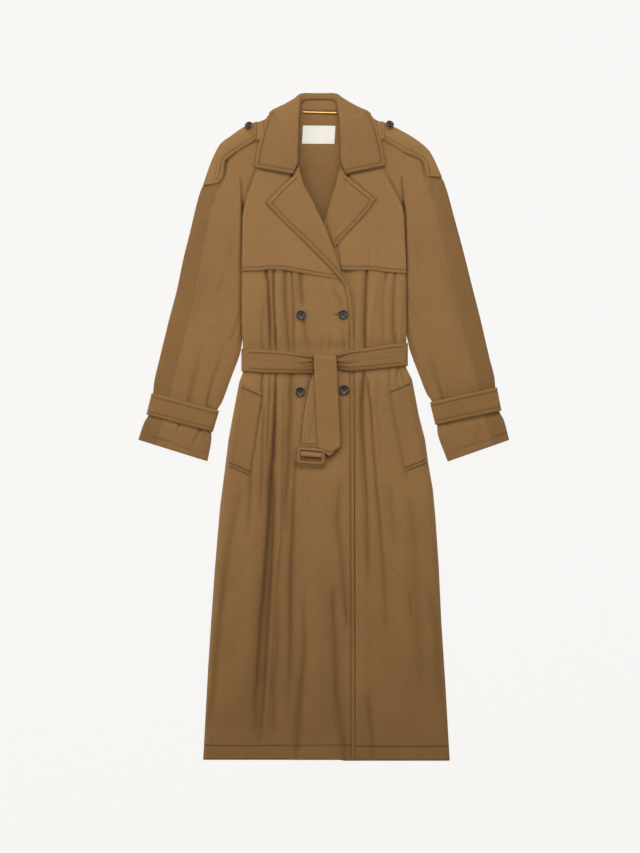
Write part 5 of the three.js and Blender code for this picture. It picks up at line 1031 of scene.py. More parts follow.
def collar_points(s):
    b = lambda p, q, t, rise: (mix(p[0], q[0], t), mix(p[1], q[1], t), mix(p[2], q[2], t) + rise)
    t = s.get("t") or b(s["r"], s["o"], 0.9, 0.2)
    pts = [s["i"], b(s["i"], s["r"], 0.55, 0.5), s["r"], b(s["r"], t, 0.1, 0.55), b(s["r"], t, 0.3, 0.9), b(s["r"], t, 0.6, 0.9), t]
    o = s["o"]
    if "t" in s:
        pts += [(mix(t[0], o[0], 0.12), mix(t[1], o[1], 0.05) + 0.3, mix(t[2], o[2], 0.88)), (mix(t[0], o[0], 0.4), mix(t[1], o[1], 0.4), o[2])]
    else:
        pts += [b(t, o, 0.33, 0), b(t, o, 0.67, 0)]
    pts.append(o)
    return pts


def skin(ctrl, rows_at, cols_at):
    """A smooth surface through sections of control points. rows_at and cols_at are in sections and points."""
    c = np.array(ctrl, float)
    n, k, _ = c.shape
    a = np.stack([np.stack([pchip(range(n), c[:, j, d])(rows_at) for d in range(3)], -1) for j in range(k)], 1)
    out = np.zeros((len(rows_at), len(cols_at), 3))
    seg = np.linalg.norm(np.diff(c * [1, 1, 0.55], axis=1), axis=2).mean(0)
    s = np.concatenate([[0], np.cumsum(np.maximum(seg, 1e-3))])
    where = np.interp(cols_at, range(k), s)
    for i in range(len(rows_at)):
        for d in range(3):
            out[i, :, d] = pchip(s, a[i, :, d])(where)
    return out


ctrl = [collar_points(s) for s in RIGHT_COLLAR] + [collar_points(NECK_COLLAR)] + [collar_points(s) for s in reversed(LEFT_COLLAR)]
n = len(ctrl)
dense = np.concatenate([[0, 0.02, 0.05, 0.09, 0.13, 0.18, 0.23, 0.28, 0.33, 0.4], np.arange(0.5, 4, 0.09), np.arange(4, n - 5, 0.14), np.arange(n - 5, n - 1.5, 0.09),
                        n - 1 - np.array([0.4, 0.33, 0.28, 0.23, 0.18, 0.13, 0.09, 0.05, 0.02, 0])])
cols_at = np.concatenate([np.linspace(0, 2, 7)[:-1], np.linspace(2, 3, 6)[:-1], np.linspace(3, 6, 34)[:-1], np.linspace(6, 9, 16)])
C = skin(ctrl, dense, cols_at)
X, Y, Z = C[..., 0], C[..., 1], C[..., 2]
right_leaf = [(293.2, 174), (255.2, 167.5), (256.5, 156.6), (258.6, 146.4), (262.6, 131.4), (266, 119.4), (269, 113.4), (272.2, 110)]
left_leaf = [(345.8, 174), (385, 165.8), (383.4, 155.2), (381, 144.6), (377.8, 131), (374, 119.4), (371, 114), (368, 111)]
right_line, left_line = offset(right_leaf, -3.3), offset(left_leaf, 3.3)
upper = (Z > 8) & (np.abs(dense[:, None] - (n - 1) / 2) > 4.2)
Zw = Z + uneven(X, Y, 0.25, 0.25, 0.07) * upper
Zw = Zw + crease_field([[(290, 126, 0, 1.8), (285, 134, 0.55, 1.6), (279, 144, 0.4, 1.8), (274, 150, 0, 2.2)], [(287, 168, 0, 2), (291, 171, 0.5, 1.4), (294, 172.6, 0, 1.2)]], X, Y) * upper
Zw, painted_light = welt(X, Y, Zw, [right_leaf[:6], left_leaf[:6]], [right_line, left_line], puff=0.3)
Z = np.where(upper, Zw, Z)
painted_light = np.where(upper, painted_light, 0)
# painted highlight and shade of the leaf's edges and stitching; the whole collar is painted darker
shell("collar_cloth", X, Y, Z, by_normal=True, painted_light=1.4 * painted_light, node="collar", painted_piece_shade=-1.0)
sew(right_line[:-1])
sew(left_line[:-1])

# The stand, inside the neck, with the fold that the fall makes on it.
u, v = np.meshgrid(np.linspace(0, 1, 46), np.linspace(0, 1, 30))
X = mix(mix(301.6, 299.6, v), mix(336, 338.6, v), u)
Y = mix(100.4, 110.6, v)
Z = mix(5.9, 5.3, v) + 0.25 * np.exp(-((v - 0.86) / 0.06) ** 2)
Z = Z + crease_field([[(303.5, 104.2, 0, 0.5), (305.6, 105.4, 0.45, 0.45), (308.6, 107.4, 0.4, 0.45), (311, 108.8, 0, 0.5)]], X, Y)
Z, painted_light = welt(X, Y, Z, [[(299.6, 110.6), (338.6, 110.6)]], [], puff=0.0, drop=0.4)
# painted highlight along the stand's lower edge; the whole stand is painted darker
shell("collar_stand_cloth", X, Y, Z, painted_light=painted_light, node="collar_stand", painted_piece_shade=-0.6)

# Cuff straps: bands round the sleeves.
def cuff(side, a, b, turn):
    AROUND = [(0.02, 8.2), (0.05, 8.8), (0.1, 9.3), (0.16, 9.7), (0.28, 10.1), (0.4, 10.4), (0.55, 10.4), (0.7, 10.2), (0.84, 9.7), (0.94, 8.9), (0.975, 8.1),
              (0.992, 7.0), (1, 5.2), (1, 3.4), (0.996, 1.6), (0.988, 0.5), (0.965, 0), (0.75, 0), (0.5, 0), (0.25, 0), (0.06, 0), (0.02, 0.2), (0.008, 1.0), (0, 2.4), (0, 4.2), (0.004, 6), (0.01, 7.2)]
    k = np.array(AROUND)
    seg = np.hypot(np.diff(k[:, 0]) * 70, np.diff(k[:, 1]) * 0.55)
    s = np.concatenate([[0], np.cumsum(seg)])
    close = math.hypot((k[0, 0] - k[-1, 0]) * 70, (k[0, 1] - k[-1, 1]) * 0.55)
    at = np.concatenate([np.linspace(0, s[10], 60), np.linspace(s[10], s[-1], 44)[1:]])
    sh, zz = np.interp(at, s, k[:, 0]), pchip(s, k[:, 1])(at)
    v = np.array([0, 0.02, 0.045, 0.075, 0.105, 0.13, 0.145, 0.16, 0.18, 0.21, 0.26, 0.33, 0.42, 0.5, 0.58, 0.67, 0.74, 0.79, 0.82, 0.84, 0.855, 0.87, 0.895, 0.925, 0.955, 0.98, 1])
    X = mix(mix(a[0], b[0], v)[:, None], mix(a[2], b[2], v)[:, None], sh[None, :])
    Y = mix(mix(a[1], b[1], v)[:, None], mix(a[3], b[3], v)[:, None], sh[None, :])
    Z = np.repeat(zz[None, :], len(v), 0)
    up = np.repeat((np.arange(len(at)) < 60)[None, :], len(v), 0)
    p0, p1 = [(a[0], a[1]), (a[2], a[3])], [(b[0], b[1]), (b[2], b[3])]
    l0 = [(mix(a[0], b[0], 0.152), mix(a[1], b[1], 0.152)), (mix(a[2], b[2], 0.152), mix(a[3], b[3], 0.152))]
    l1 = [(mix(a[0], b[0], 0.848), mix(a[1], b[1], 0.848)), (mix(a[2], b[2], 0.848), mix(a[3], b[3], 0.848))]
    Zt = over(X, Y, Z + uneven(X, Y, 0.2, 0.2, 0.05), T + 0.25, 1)
    Zw, painted_light = welt(X, Y, Zt, [p0, p1], [l0, l1], puff=0.25, drop=0.5)
    Z = np.where(up, Zw, Z)
    # painted highlight and shade of edges and stitching on the upper side; the whole strap is painted darker
    shell(f"cuff_strap_{side}_cloth", X, Y, Z, ring=True, by_normal=True, painted_light=np.where(up, painted_light, 0), node=f"cuff_strap_{side}", grain=math.radians(74 if side == "right" else -74), painted_piece_shade=-1.1)
    for l in (l0, l1):
        (x0, y0), (x1, y1) = l
        sew([(mix(x0, x1, 0.04), mix(y0, y1, 0.04)), (mix(x0, x1, 0.96), mix(y0, y1, 0.96))])


cuff("right", (151.7, 393.2, 219.2, 411.2), (146.6, 414.3, 213, 431.7), 1)
cuff("left", (496.9, 387.5, 429.8, 402.7), (501.3, 410.3, 435.2, 424.7), -1)

# Epaulettes and their loops.
RIGHT_EPAULETTE = [(256.3, 139.7, 256.7, 121.7), (249.4, 144, 245, 126.6), (239.6, 150.2, 230.6, 136.4), (229.8, 157, 220.7, 143.9),
                   (224.6, 162.4, 214.3, 154.9), (223.8, 171, 209.5, 166.5), (221.8, 178.4, 206, 176.5), (218.6, 183.2, 203, 185.4)]
LEFT_EPAULETTE = [(383.4, 139.7, 382, 121.4), (391.5, 144.6, 393, 126.6), (403.7, 152.2, 408.5, 134.9), (414, 156.4, 419.5, 142.2),
                  (421.4, 160.2, 429.2, 151.2), (424.8, 165, 435, 161.5), (426.2, 171, 438.6, 169.6), (427.2, 175.9, 442, 177.4)]


def epaulette(side, table, turn, ridges):
    k = np.array(table)
    s = np.concatenate([[0], np.cumsum(np.hypot(*np.diff((k[:, :2] + k[:, 2:]) / 2, axis=0).T))])
    at = np.concatenate([[0, 0.25, 0.6, 1.1, 1.8, 2.4, 2.8, 3.1, 3.4, 3.8], np.arange(4.6, s[-1] - 2, 0.85), s[-1] - np.array([1.6, 1.0, 0.6, 0.3, 0])])
    f = np.stack([pchip(s, k[:, c])(at) for c in range(4)], -1)
    w = np.hypot(f[:, 0] - f[:, 2], f[:, 1] - f[:, 3])[:, None]
    ks = across(w[:, 0], 1.0, EDGE, [0, 0.3, 0.8, 1.5, 2.4])
    ks = ks * 0.985
    top = 11.9 + 0.5 * np.sin(math.pi * ks) - 2.8 * np.clip((ks - 0.55) / 0.45, 0, 1) ** 2
    top = top - 0.7 * smooth((at - (s[-1] - 7)) / 7)[:, None]
    fold = [(0.996, 7.6), (1, 5.8), (1, 3.8), (0.995, 2.0), (0.985, 0.8), (0.965, 0.2), (0.93, 0), (0.8, 0), (0.65, 0), (0.5, 0)]
    X = np.concatenate([mix(f[:, 0:1], f[:, 2:3], ks), mix(f[:, 0:1], f[:, 2:3], np.array([q[0] for q in fold])[None, :])], 1)
    Y = np.concatenate([mix(f[:, 1:2], f[:, 3:4], ks), mix(f[:, 1:2], f[:, 3:4], np.array([q[0] for q in fold])[None, :])], 1)
    Z = np.concatenate([top, np.repeat(np.array([q[1] for q in fold])[None, :], len(at), 0)], 1)
    up = np.zeros(Z.shape, bool)
    up[:, :ks.shape[1]] = True
    edge = [tuple(p) for p in k[:, :2]]
    start, end = [tuple(k[0, :2]), tuple(k[0, 2:])], [tuple(k[-1, :2]), tuple(k[-1, 2:])]
    line = offset(edge, 3.3 * turn)
    line0 = [(mix(k[0, 0], k[1, 0], 0.28) , mix(k[0, 1], k[1, 1], 0.28)), (mix(k[0, 2], k[1, 2], 0.22), mix(k[0, 3], k[1, 3], 0.22))]
    Zt = Z + (uneven(X, Y, 0.25, 0.25, 0.07) + crease_field(ridges, X, Y)) * np.clip((1 - np.concatenate([ks, np.ones((len(at), len(fold)))], 1)) * 4, 0, 1)
    Zw, painted_light = welt(X, Y, Zt, [edge, start], [line, line0], puff=0.3)
    Z = np.where(up, Zw, Z)
    # painted highlight and shade of edges and stitching
    shell(f"epaulette_{side}_cloth", X, Y, Z, by_normal=True, painted_light=np.where(up, painted_light, 0), node=f"epaulette_{side}", grain=math.radians(-55 * turn))
    sew([line[0]] + line[1:-1])
    sew(line0)


epaulette("right", RIGHT_EPAULETTE, -1, [[(220.2, 150, 0, 1.2), (218.8, 160, 1.1, 0.9), (216.8, 171, 1.1, 0.9), (214.4, 182, 0.9, 0.9)], [(221.6, 158, 0, 0.8), (221.4, 168, 0.9, 0.8), (219.6, 178, 0.7, 0.8)],
                                         [(217.0, 156, 0, 1.3), (215.6, 166, -0.6, 1.3), (213, 178, -0.5, 1.3)]])
epaulette("left", LEFT_EPAULETTE, 1, [[(426.4, 158, 0, 1.4), (428.6, 163, 0.8, 1.3), (429.6, 170, 0.9, 1.0), (430.4, 176, 0.6, 0.9)], [(431.6, 160, 0, 1.4), (433, 167, 0.6, 1.2), (434.6, 175, 0.5, 1.0)]])


def loop(side, rows):
    ks = [(0, 10.6), (0.03, 11.0), (0.12, 11.25), (0.3, 11.35), (0.5, 11.3), (0.7, 10.9), (0.85, 10.3), (0.93, 9.5), (0.97, 8.6), (0.99, 7.2), (1, 5.2), (1, 3.4), (0.995, 2), (0.98, 0.7), (0.95, 0.1), (0.9, 0), (0.7, 0)]
    k = np.array(ks)
    s = np.arange(len(ks))
    at = np.linspace(0, len(ks) - 1, 52)
    kk, zz = np.interp(at, s, k[:, 0]), pchip(s, k[:, 1])(at)
    v = np.array([0, 0.05, 0.13, 0.25, 0.32, 0.38, 0.5, 0.62, 0.68, 0.75, 0.87, 0.95, 1])
    a, b = rows
    X = mix(mix(a[0], b[0], v)[:, None], mix(a[2], b[2], v)[:, None], kk[None, :])
    Y = mix(mix(a[1], b[1], v)[:, None], mix(a[3], b[3], v)[:, None], kk[None, :])
    Z = np.repeat(zz[None, :], len(v), 0) + np.where(zz > 8, 0.2, 0)[None, :] * np.sin(math.pi * v)[:, None]
    shell(f"epaulette_loop_{side}_cloth", X, Y, Z, by_normal=True, node=f"epaulette_loop_{side}", grain=1.2)


loop("right", [(262.2, 140.6, 263.2, 120.6), (257.2, 140.4, 257.6, 122.2)])
loop("left", [(377.2, 140.6, 376.6, 120.6), (382.5, 140.4, 381.4, 122)])

# Pockets.
def pocket(side, ends, inward):
    (sx0, sy0, nx0, ny0), (sx1, sy1, nx1, ny1) = ends
    w = math.hypot(sx0 - nx0, sy0 - ny0)
    l = math.hypot(sx0 - sx1, sy0 - sy1)
    u = across(np.full(1, w), 0.9, [0, 0.3, 0.8, 1.4, 2.2, 3.2], [0, 0.25, 0.6, 1.0, 1.6])[0]
    v = across(np.full(1, l), 1.4, EDGE, EDGE)[0]
    UU, VV = np.meshgrid(u, v)
    X = mix(mix(sx0, sx1, VV), mix(nx0, nx1, VV), UU)
    Y = mix(mix(sy0, sy1, VV), mix(ny0, ny1, VV), UU)
    high = blurred(widest(HEIGHT, 1), 2.0)
    Z = np.maximum(read(high, X, Y), read(widest(HEIGHT, 1), X, Y)) + 1.0 + 0.25
    top, low = [(sx0, sy0), (nx0, ny0)], [(sx1, sy1), (nx1, ny1)]
    d0, d1 = VV * l, (1 - VV) * l
    Z = Z + 0.55 * np.exp(-((d0 - 1.6) / 1.3) ** 2) + 0.55 * np.exp(-((d1 - 1.6) / 1.3) ** 2)
    e = lambda t: [(mix(sx0, sx1, t), mix(sy0, sy1, t)), (mix(nx0, nx1, t), mix(ny0, ny1, t))]
    l0, l1 = e(3.4 / l), e(1 - 3.4 / l)
    inner = [(nx0, ny0), (nx1, ny1)]
    Z, painted_light = welt(X, Y, Z, [top, low, inner], [l0, l1], puff=0.0, drop=0.5, depth=0.5)
    # painted shade: dark lines at both ends of the welt and beside their stitching, along the inner edge and along the
    # third line of stitching, with the edges' painted highlight; the whole welt is painted darker
    painted_light = 1.4 * painted_light
    for d_ in (d0, d1):
        painted_light = painted_light - 2.6 * np.exp(-((d_ - 0.1) / 0.8) ** 2) - 2.0 * np.exp(-((d_ - 3.3) / 0.8) ** 2)
    painted_light = painted_light - 2.0 * np.exp(-(((1 - UU) * w - 0.1) / 0.9) ** 2) - 0.8 * np.exp(-((UU * w - 0.14 * w) / 0.8) ** 2)
    shell(f"pocket_{side}_cloth", X, Y, Z, t=1.0, painted_light=painted_light, node=f"pocket_{side}", grain=math.radians(8 * inward), painted_piece_shade=-0.5)
    sew(l0)
    sew(l1)
    sew([(mix(sx0, nx0, 0.14), mix(sy0, ny0, 0.14) + 3.4), (mix(sx1, nx1, 0.14), mix(sy1, ny1, 0.14) - 3.4)])


pocket("right", [(241.9, 384, 262.5, 393.2), (229.0, 466.2, 250, 475.2)], 1)
pocket("left", [(409.6, 380.8, 389.4, 389.2), (426, 463.2, 405.0, 471.4)], -1)

# Belt: from the knot to the right side, beneath the back, up at the left side and back to the knot.
BELT = [(325, 12.2, 357.6, 372.6), (314, 12, 356.0, 373.4), (296, 11.7, 353.4, 373.2), (278, 11.5, 351.2, 373.0), (260, 11.4, 350.2, 372.4),
        (248.5, 10.9, 349.6, 371.4), (243.6, 9.6, 349.2, 371), (241.4, 6, 349.2, 371), (241.6, 1.6, 349.2, 371), (245, 0, 349.2, 371),
        (284, 0, 348, 370), (324, 0, 346.6, 368.6), (365, 0, 345.3, 367.3), (404, 0, 344.2, 366), (407.4, 1.6, 343.8, 365.8),
        (407.8, 6, 343.6, 365.6), (406.2, 9.6, 343.4, 365.5), (400.8, 10.9, 344, 366), (386, 11.4, 345.6, 367.6), (368, 11.6, 348.4, 369.6),
        (350, 12, 350.8, 370.8), (342, 12.3, 353.4, 370), (334, 12.3, 356, 366.6), (326, 12.3, 357.4, 366)]
k = np.array(BELT)
s = np.concatenate([[0], np.cumsum(np.hypot(np.diff(k[:, 0]), np.diff(k[:, 1]) / U))])
at = np.concatenate([np.linspace(0, s[5], 90), np.linspace(s[5], s[9], 26)[1:], np.linspace(s[9], s[13], 40)[1:], np.linspace(s[13], s[17], 26)[1:], np.linspace(s[17], s[-1], 90)[1:]])
bx, bz, bt, bf = (pchip(s, k[:, c])(at)[:, None] for c in range(4))
v = across(np.full(1, 22.0), 0.8, [0, 0.22, 0.5, 0.85, 1.3, 1.9, 2.4, 2.7, 2.95, 3.2, 3.5, 4.1], [0, 0.22, 0.5, 0.85, 1.3, 1.9, 2.4, 2.7, 2.95, 3.2, 3.5, 4.1])[0]
X = np.repeat(bx, len(v), 1)
Y = mix(bt, bf, v[None, :])
Z = np.repeat(bz, len(v), 1)
up = Z > 8.5
PLEATS = [
    [(314, 363.4, 2.6, 0.8), (310, 362.6, 1.6, 0.8), (303, 364.4, 1.0, 0.8), (296, 363.8, 0.5, 0.8), (288, 363, 0, 0.9)],
    [(314, 359.2, 0.9, 0.7), (306, 357.9, 0.7, 0.7), (299, 357.2, 0, 0.8)],
    [(313, 366, 0.8, 0.8), (304, 368, 0.5, 0.9), (292, 367.4, 0, 1.2)],
    [(310, 360.4, -0.7, 1.3), (302, 361, -0.5, 1.5), (292, 360, 0, 2)],
    [(336, 362.4, 2.4, 0.8), (340, 363.6, 1.6, 0.75), (346, 364.4, 1.0, 0.7), (356, 363.0, 0.8, 0.7), (370, 360.6, 0.6, 0.7), (386, 358.7, 0.5, 0.7), (404, 358, 0.3, 0.7)],
    [(336, 357.8, 1.8, 0.8), (341, 356.4, 1.3, 0.7), (348, 354.4, 0.8, 0.7), (358, 352.8, 0, 0.8)],
    [(337, 360.2, -0.8, 1.1), (344, 360, -0.7, 1.4), (354, 358.6, 0, 2)],
    [(337, 366.6, 0.9, 0.8), (342, 368, 0.6, 0.8), (350, 368.4, 0, 1)],
    [(250, 362, 0, 1.2), (262, 362.6, 0.35, 1.2), (276, 362, 0, 1.2)],
]
top_edge = [(float(a), float(b)) for a, b in zip(bx[:90:4, 0], bt[:90:4, 0])]
low_edge = [(float(a), float(b)) for a, b in zip(bx[:90:4, 0], bf[:90:4, 0])]
top_edge2 = [(float(a), float(b)) for a, b in zip(bx[-90::4, 0], bt[-90::4, 0])]
low_edge2 = [(float(a), float(b)) for a, b in zip(bx[-90::4, 0], bf[-90::4, 0])]
lines = [[(x, y + 3.1) for x, y in top_edge[3:]], [(x, y - 3.1) for x, y in low_edge[3:]],
         [(x, y + 3.1) for x, y in top_edge2[:-4]], [(x, y - 3.1) for x, y in low_edge2[:-4]]]
Zt = Z + 0.35 * np.sin(math.pi * v)[None, :] + crease_field(PLEATS, X, Y) + uneven(X, Y, 0.15, 0.2, 0.05)
# drawn together towards the knot
for x0, sign in ((314, -1), (336.5, 1)):
    d = np.abs(X - x0)
    Zt = Zt + 0.8 * np.exp(-(d / 9) ** 2) * np.sin(math.pi * v)[None, :]
Zw, painted_light = welt(X, Y, Zt, [top_edge, low_edge, top_edge2, low_edge2], lines, puff=0.2, drop=0.7, depth=0.4)
# painted light on the belt: pleat crests lighter and hollows darker near the knot, painted shade around the knot and
# along both long edges, and painted shadow beside the point end's edges; the whole belt is painted darker
pleat = crease_field(PLEATS, X, Y)
near = np.exp(-(np.maximum(np.abs(X - 325) - 11, 0) / 16) ** 1.4)
painted_light = 1.4 * painted_light + (2.2 * np.clip(pleat, -1, 1.0) - 2.0) * near - 1.3 * np.exp(-(np.minimum(np.abs(v[None, :]), np.abs(1 - v[None, :])) * 22 / 0.9) ** 2)
painted_light = painted_light - 3.0 * np.exp(-((np.abs(X - 325.2) - 11.2) / 1.6) ** 2)
fade = smooth((Z - 8.5) / 1.5)
Z = mix(Z, Zw, fade)
shell("belt_cloth", X, Y, Z, t=TB, by_normal=True, painted_light=np.where(up, painted_light, 0), node="belt", grain=math.radians(90), painted_piece_shade=-0.9)
for l in lines:
    sew(l)

# The belt's two ends. Each row: left edge x, y; right edge x, y; height.
BUCKLE_END = [(313.6, 374.6, 327, 374.6, 13.8), (309.4, 388, 324.6, 388, 14.6), (306.8, 402, 323.4, 402, 15), (304.2, 418, 322.8, 418, 15.4), (302.8, 431, 322.8, 431.6, 15.7),
              (301.9, 442.5, 322.9, 443.9, 16), (301.6, 450.2, 322.2, 451.8, 15.9), (301.4, 452, 322.0, 453.6, 18.2), (301.3, 453.4, 321.9, 455, 20.2),
              (301.2, 454.4, 321.8, 456, 20.7), (301.1, 456, 321.7, 457.6, 19.8), (301.1, 456.6, 321.7, 458.2, 17.2), (301.1, 455.8, 321.7, 457.4, 14.9),
              (301.2, 453.8, 321.8, 455.4, 14), (301.4, 451.2, 322.0, 452.8, 12.9), (301.6, 448.6, 322.2, 450.2, 12.4), (302, 443.8, 322.9, 445.2, 12.4)]
POINT_END = [(314.4, 366, 336, 367, 12.9), (314.3, 359, 336.0, 360.4, 13), (314.1, 355.8, 335.9, 357.4, 14.2), (314.0, 354.8, 335.9, 356.2, 16.2),
             (314.1, 355.4, 336.0, 356.8, 18.0), (314.3, 359.4, 336.2, 360.4, 19), (314.8, 374, 336.6, 374, 18.9), (316.2, 400, 338.0, 401, 18.5),
             (317.4, 425, 339.3, 425, 18.6), (318.6, 443.6, 340.1, 444.2, 19.6)]


def tape(name, node, table, creases, stitched, edges, counts, tip=None, seed=0):
    k = np.array(table)
    s = np.concatenate([[0], np.cumsum(np.sqrt(np.diff((k[:, 0] + k[:, 2]) / 2) ** 2 + np.diff((k[:, 1] + k[:, 3]) / 2) ** 2 + (np.diff(k[:, 4]) / U) ** 2))])
    at = []
    for (i, j, m) in counts:
        at += list(np.linspace(s[i], s[j], m)[:-1])
    at = np.array(at + [s[-1]])
    f = np.stack([pchip(s, k[:, c])(at) for c in range(5)], -1)
    v = across(np.full(1, 21.5), 0.75, [0, 0.22, 0.5, 0.85, 1.3, 1.9, 2.5, 2.9, 3.2, 3.5, 3.9, 4.6], [0, 0.22, 0.5, 0.85, 1.3, 1.9, 2.5, 2.9, 3.2, 3.5, 3.9, 4.6])[0][None, :]
    X, Y = mix(f[:, 0:1], f[:, 2:3], v), mix(f[:, 1:2], f[:, 3:4], v)
    Z = np.repeat(f[:, 4:5], v.shape[1], 1)
    if tip is not None:
        # the last rows run down to the point, inside an outline that narrows
        t = np.linspace(0, 1, 26)[1:]
        left, right = tip
        lx = np.interp(t, left[0], left[1]); ly = np.interp(t, left[0], left[2])
        rx = np.interp(t, right[0], right[1]); ry = np.interp(t, right[0], right[2])
        X2, Y2 = mix(lx[:, None], rx[:, None], v), mix(ly[:, None], ry[:, None], v)
        Z2 = np.repeat((f[-1, 4] + 0.4 * t)[:, None], v.shape[1], 1)
        X, Y, Z = np.concatenate([X, X2]), np.concatenate([Y, Y2]), np.concatenate([Z, Z2])
    return X, Y, Z, v


X, Y, Z, v = tape("belt_buckle_end", "belt_buckle_end", BUCKLE_END, None, None, None, [(0, 5, 90), (5, 6, 16), (6, 12, 60), (12, 16, 24)])
top = Z > 13.2
left_edge = [(313.6, 374.6), (309.4, 388), (306.8, 402), (304.2, 418), (302.8, 431), (301.9, 442.5), (301.6, 449)]
left_in = offset(left_edge, -3.3)
bar1, bar2 = [(302, 443.4), (319, 444.8)], [(301.8, 446.4), (319, 447.8)]
Zt = Z + 0.3 * np.sin(math.pi * v) + crease_field([
    [(314.6, 376, 1.2, 0.8), (311.4, 390, 0.9, 0.9), (310.2, 404, 0.6, 1.0), (309.8, 416, 0, 1.2)],
    [(318.4, 426, 0, 0.7), (316.4, 431.6, 0.9, 0.7), (311.4, 438.6, 0.7, 0.7), (309, 441.6, 0, 0.8)],
    [(305.4, 404, 0, 1.2), (307.2, 412, -0.4, 1.4), (306, 424, 0, 1.6)]], X, Y) + uneven(X, Y, 0.15, 0.2, 0.05)
Zw, painted_light = welt(X, Y, Zt, [left_edge], [left_in, bar1, bar2], puff=0.25, drop=0.7, depth=0.4)
rows_up = np.zeros(Z.shape, bool)
rows_up[:104] = True
Z = np.where(rows_up, Zw, Z)
# painted shadow along the point end's left edge, and painted shade and highlight on a crease
painted_light = 1.6 * painted_light - 3.0 * np.exp(-(distance(X, Y, [(313.9, 366), (314.5, 374), (315.9, 400), (317.1, 425), (318.3, 443.6)]) / 1.5) ** 1.4)
painted_light = painted_light - 1.5 * np.exp(-(distance(X, Y, [(317, 398), (312.4, 416), (308.6, 438)]) / 1.3) ** 2) + 0.8 * np.exp(-(distance(X, Y, [(315, 404), (310.8, 420), (306.8, 438)]) / 1.2) ** 2)
shell("belt_buckle_end_cloth", X, Y, Z, t=1.7, by_normal=True, painted_light=np.where(rows_up, painted_light, 0), node="belt_buckle_end")
sew(left_in[1:])
sew(bar1)
sew(bar2)

tip_left = ([0, 0.35, 0.85, 1], [318.6, 318.9, 328.4, 329.3], [443.6, 446.9, 455.2, 455.9])
tip_right = ([0, 0.35, 0.85, 1], [340.1, 339.6, 331.2, 330.2], [444.2, 446.6, 454.8, 455.9])
X, Y, Z, v = tape("belt_point_end", "belt_point_end", POINT_END, None, None, None, [(0, 2, 10), (2, 5, 26), (5, 9, 130)], tip=(tip_left, tip_right))
left_edge = [(314.1, 355.0), (314.3, 359.4), (314.8, 374), (316.2, 400), (317.4, 425), (318.6, 443.6), (319.2, 447.2), (329.4, 456)]
right_edge = [(336.0, 356.6), (336.2, 360.4), (336.6, 374), (338.0, 401), (339.3, 425), (340.1, 444.2), (339.2, 447.2), (330.0, 456)]
left_in, right_in = offset(left_edge[:-1] + [(329.7, 456.2)], -3.3), offset(right_edge[:-1] + [(329.7, 456.2)], 3.3)
left_in[-1] = right_in[-1] = (329.8, 451.6)
Zt = Z + 0.35 * np.sin(math.pi * v) + crease_field([
    [(325.4, 354.6, 1.6, 0.7), (325.8, 357.4, 0.9, 0.7), (326.4, 361, 0, 0.8)],
    [(321, 362, 0, 1.4), (321.4, 385, 0.22, 1.4), (322, 410, 0, 1.4)],
    [(331.6, 380, 0, 1.2), (332.4, 405, 0.2, 1.2), (333, 430, 0, 1.2)],
    [(327.5, 440, 0, 1.2), (328.2, 447, 0.35, 1.0), (329.2, 452, 0, 0.9)]], X, Y) + uneven(X, Y, 0.15, 0.2, 0.05)
Zw, painted_light = welt(X, Y, Zt, [left_edge, right_edge], [left_in, right_in], puff=0.25, drop=0.7, depth=0.4)
rows_up = np.zeros(Z.shape, bool)
rows_up[26:] = True
Z = np.where(rows_up, Zw, Z)
# painted highlight and shade of edges and stitching; the whole end is painted a little darker
shell("belt_point_end_cloth", X, Y, Z, t=TB, by_normal=True, painted_light=np.where(rows_up, 1.6 * painted_light, 0), node="belt_point_end", painted_piece_shade=-0.2)
sew(left_in)
sew(right_in)

# Buckle frame: a rounded ring with a rounded section, covered with the coat's cloth.
def buckle():
    cx, cy, cz = 311.1, 456.15, 18.2
    rot = math.radians(-4.8)
    a, b, rad = (50.4 - 4.3) / 2, (28.9 - 4.3) / 2, 2.6
    pts = []
    for (sx, sy, a0) in ((1, 1, 0), (-1, 1, 90), (-1, -1, 180), (1, -1, 270)):
        for t in np.linspace(0, 90, 10):
            ang = math.radians(a0 + t)
            pts.append((sx * (a - rad) + rad * math.cos(ang), sy * (b - rad) + rad * math.sin(ang)))
        nx, ny = {(1, 1): (-1, 1), (-1, 1): (-1, -1), (-1, -1): (1, -1), (1, -1): (1, 1)}[(sx, sy)]
        p0 = np.array(pts[-1])
        q = {(1, 1): (-(a - rad), b), (-1, 1): (-a, -(b - rad)), (-1, -1): (a - rad, -b), (1, -1): (a, b - rad)}[(sx, sy)]
        for t in np.linspace(0, 1, 14)[1:-1]:
            pts.append(tuple(mix(p0, np.array(q), t)))
    p = np.array(pts)
    d = np.roll(p, -1, 0) - np.roll(p, 1, 0)
    d /= np.linalg.norm(d, axis=1, keepdims=True)
    nrm = np.stack([d[:, 1], -d[:, 0]], -1)
    m = 20
    v, f = [], []
    for i in range(len(p)):
        for j in range(m):
            t = 2 * math.pi * j / m
            c_, s_ = math.cos(t), math.sin(t)
            r = abs(c_) ** 2.6 + abs(s_) ** 2.6
            r = r ** (-1 / 2.6)
            q = p[i] + nrm[i] * 2.15 * c_ * r
            z = 1.6 * s_ * r
            x_, y_ = q[0] * math.cos(rot) - q[1] * math.sin(rot), q[0] * math.sin(rot) + q[1] * math.cos(rot)
            v.append(((cx - MX) * U + x_, (MY - cy) * U + y_, cz + z))
    n_ = len(p)
    for i in range(n_):
        for j in range(m):
            f.append((i * m + j, ((i + 1) % n_) * m + j, ((i + 1) % n_) * m + (j + 1) % m, i * m + (j + 1) % m))
    v = np.array(v)
    f = np.array(f)
    if volume_sign(v, f) < 0:
        f = f[:, ::-1]
    uv = v[:, :2] * 1e-3
    o = build("buckle_frame_covered", (v * 1e-3).tolist(), f.tolist(), uv, np.zeros(len(v)))
    PIECES["buckle_frame_covered"] = (o, "buckle_frame")


buckle()

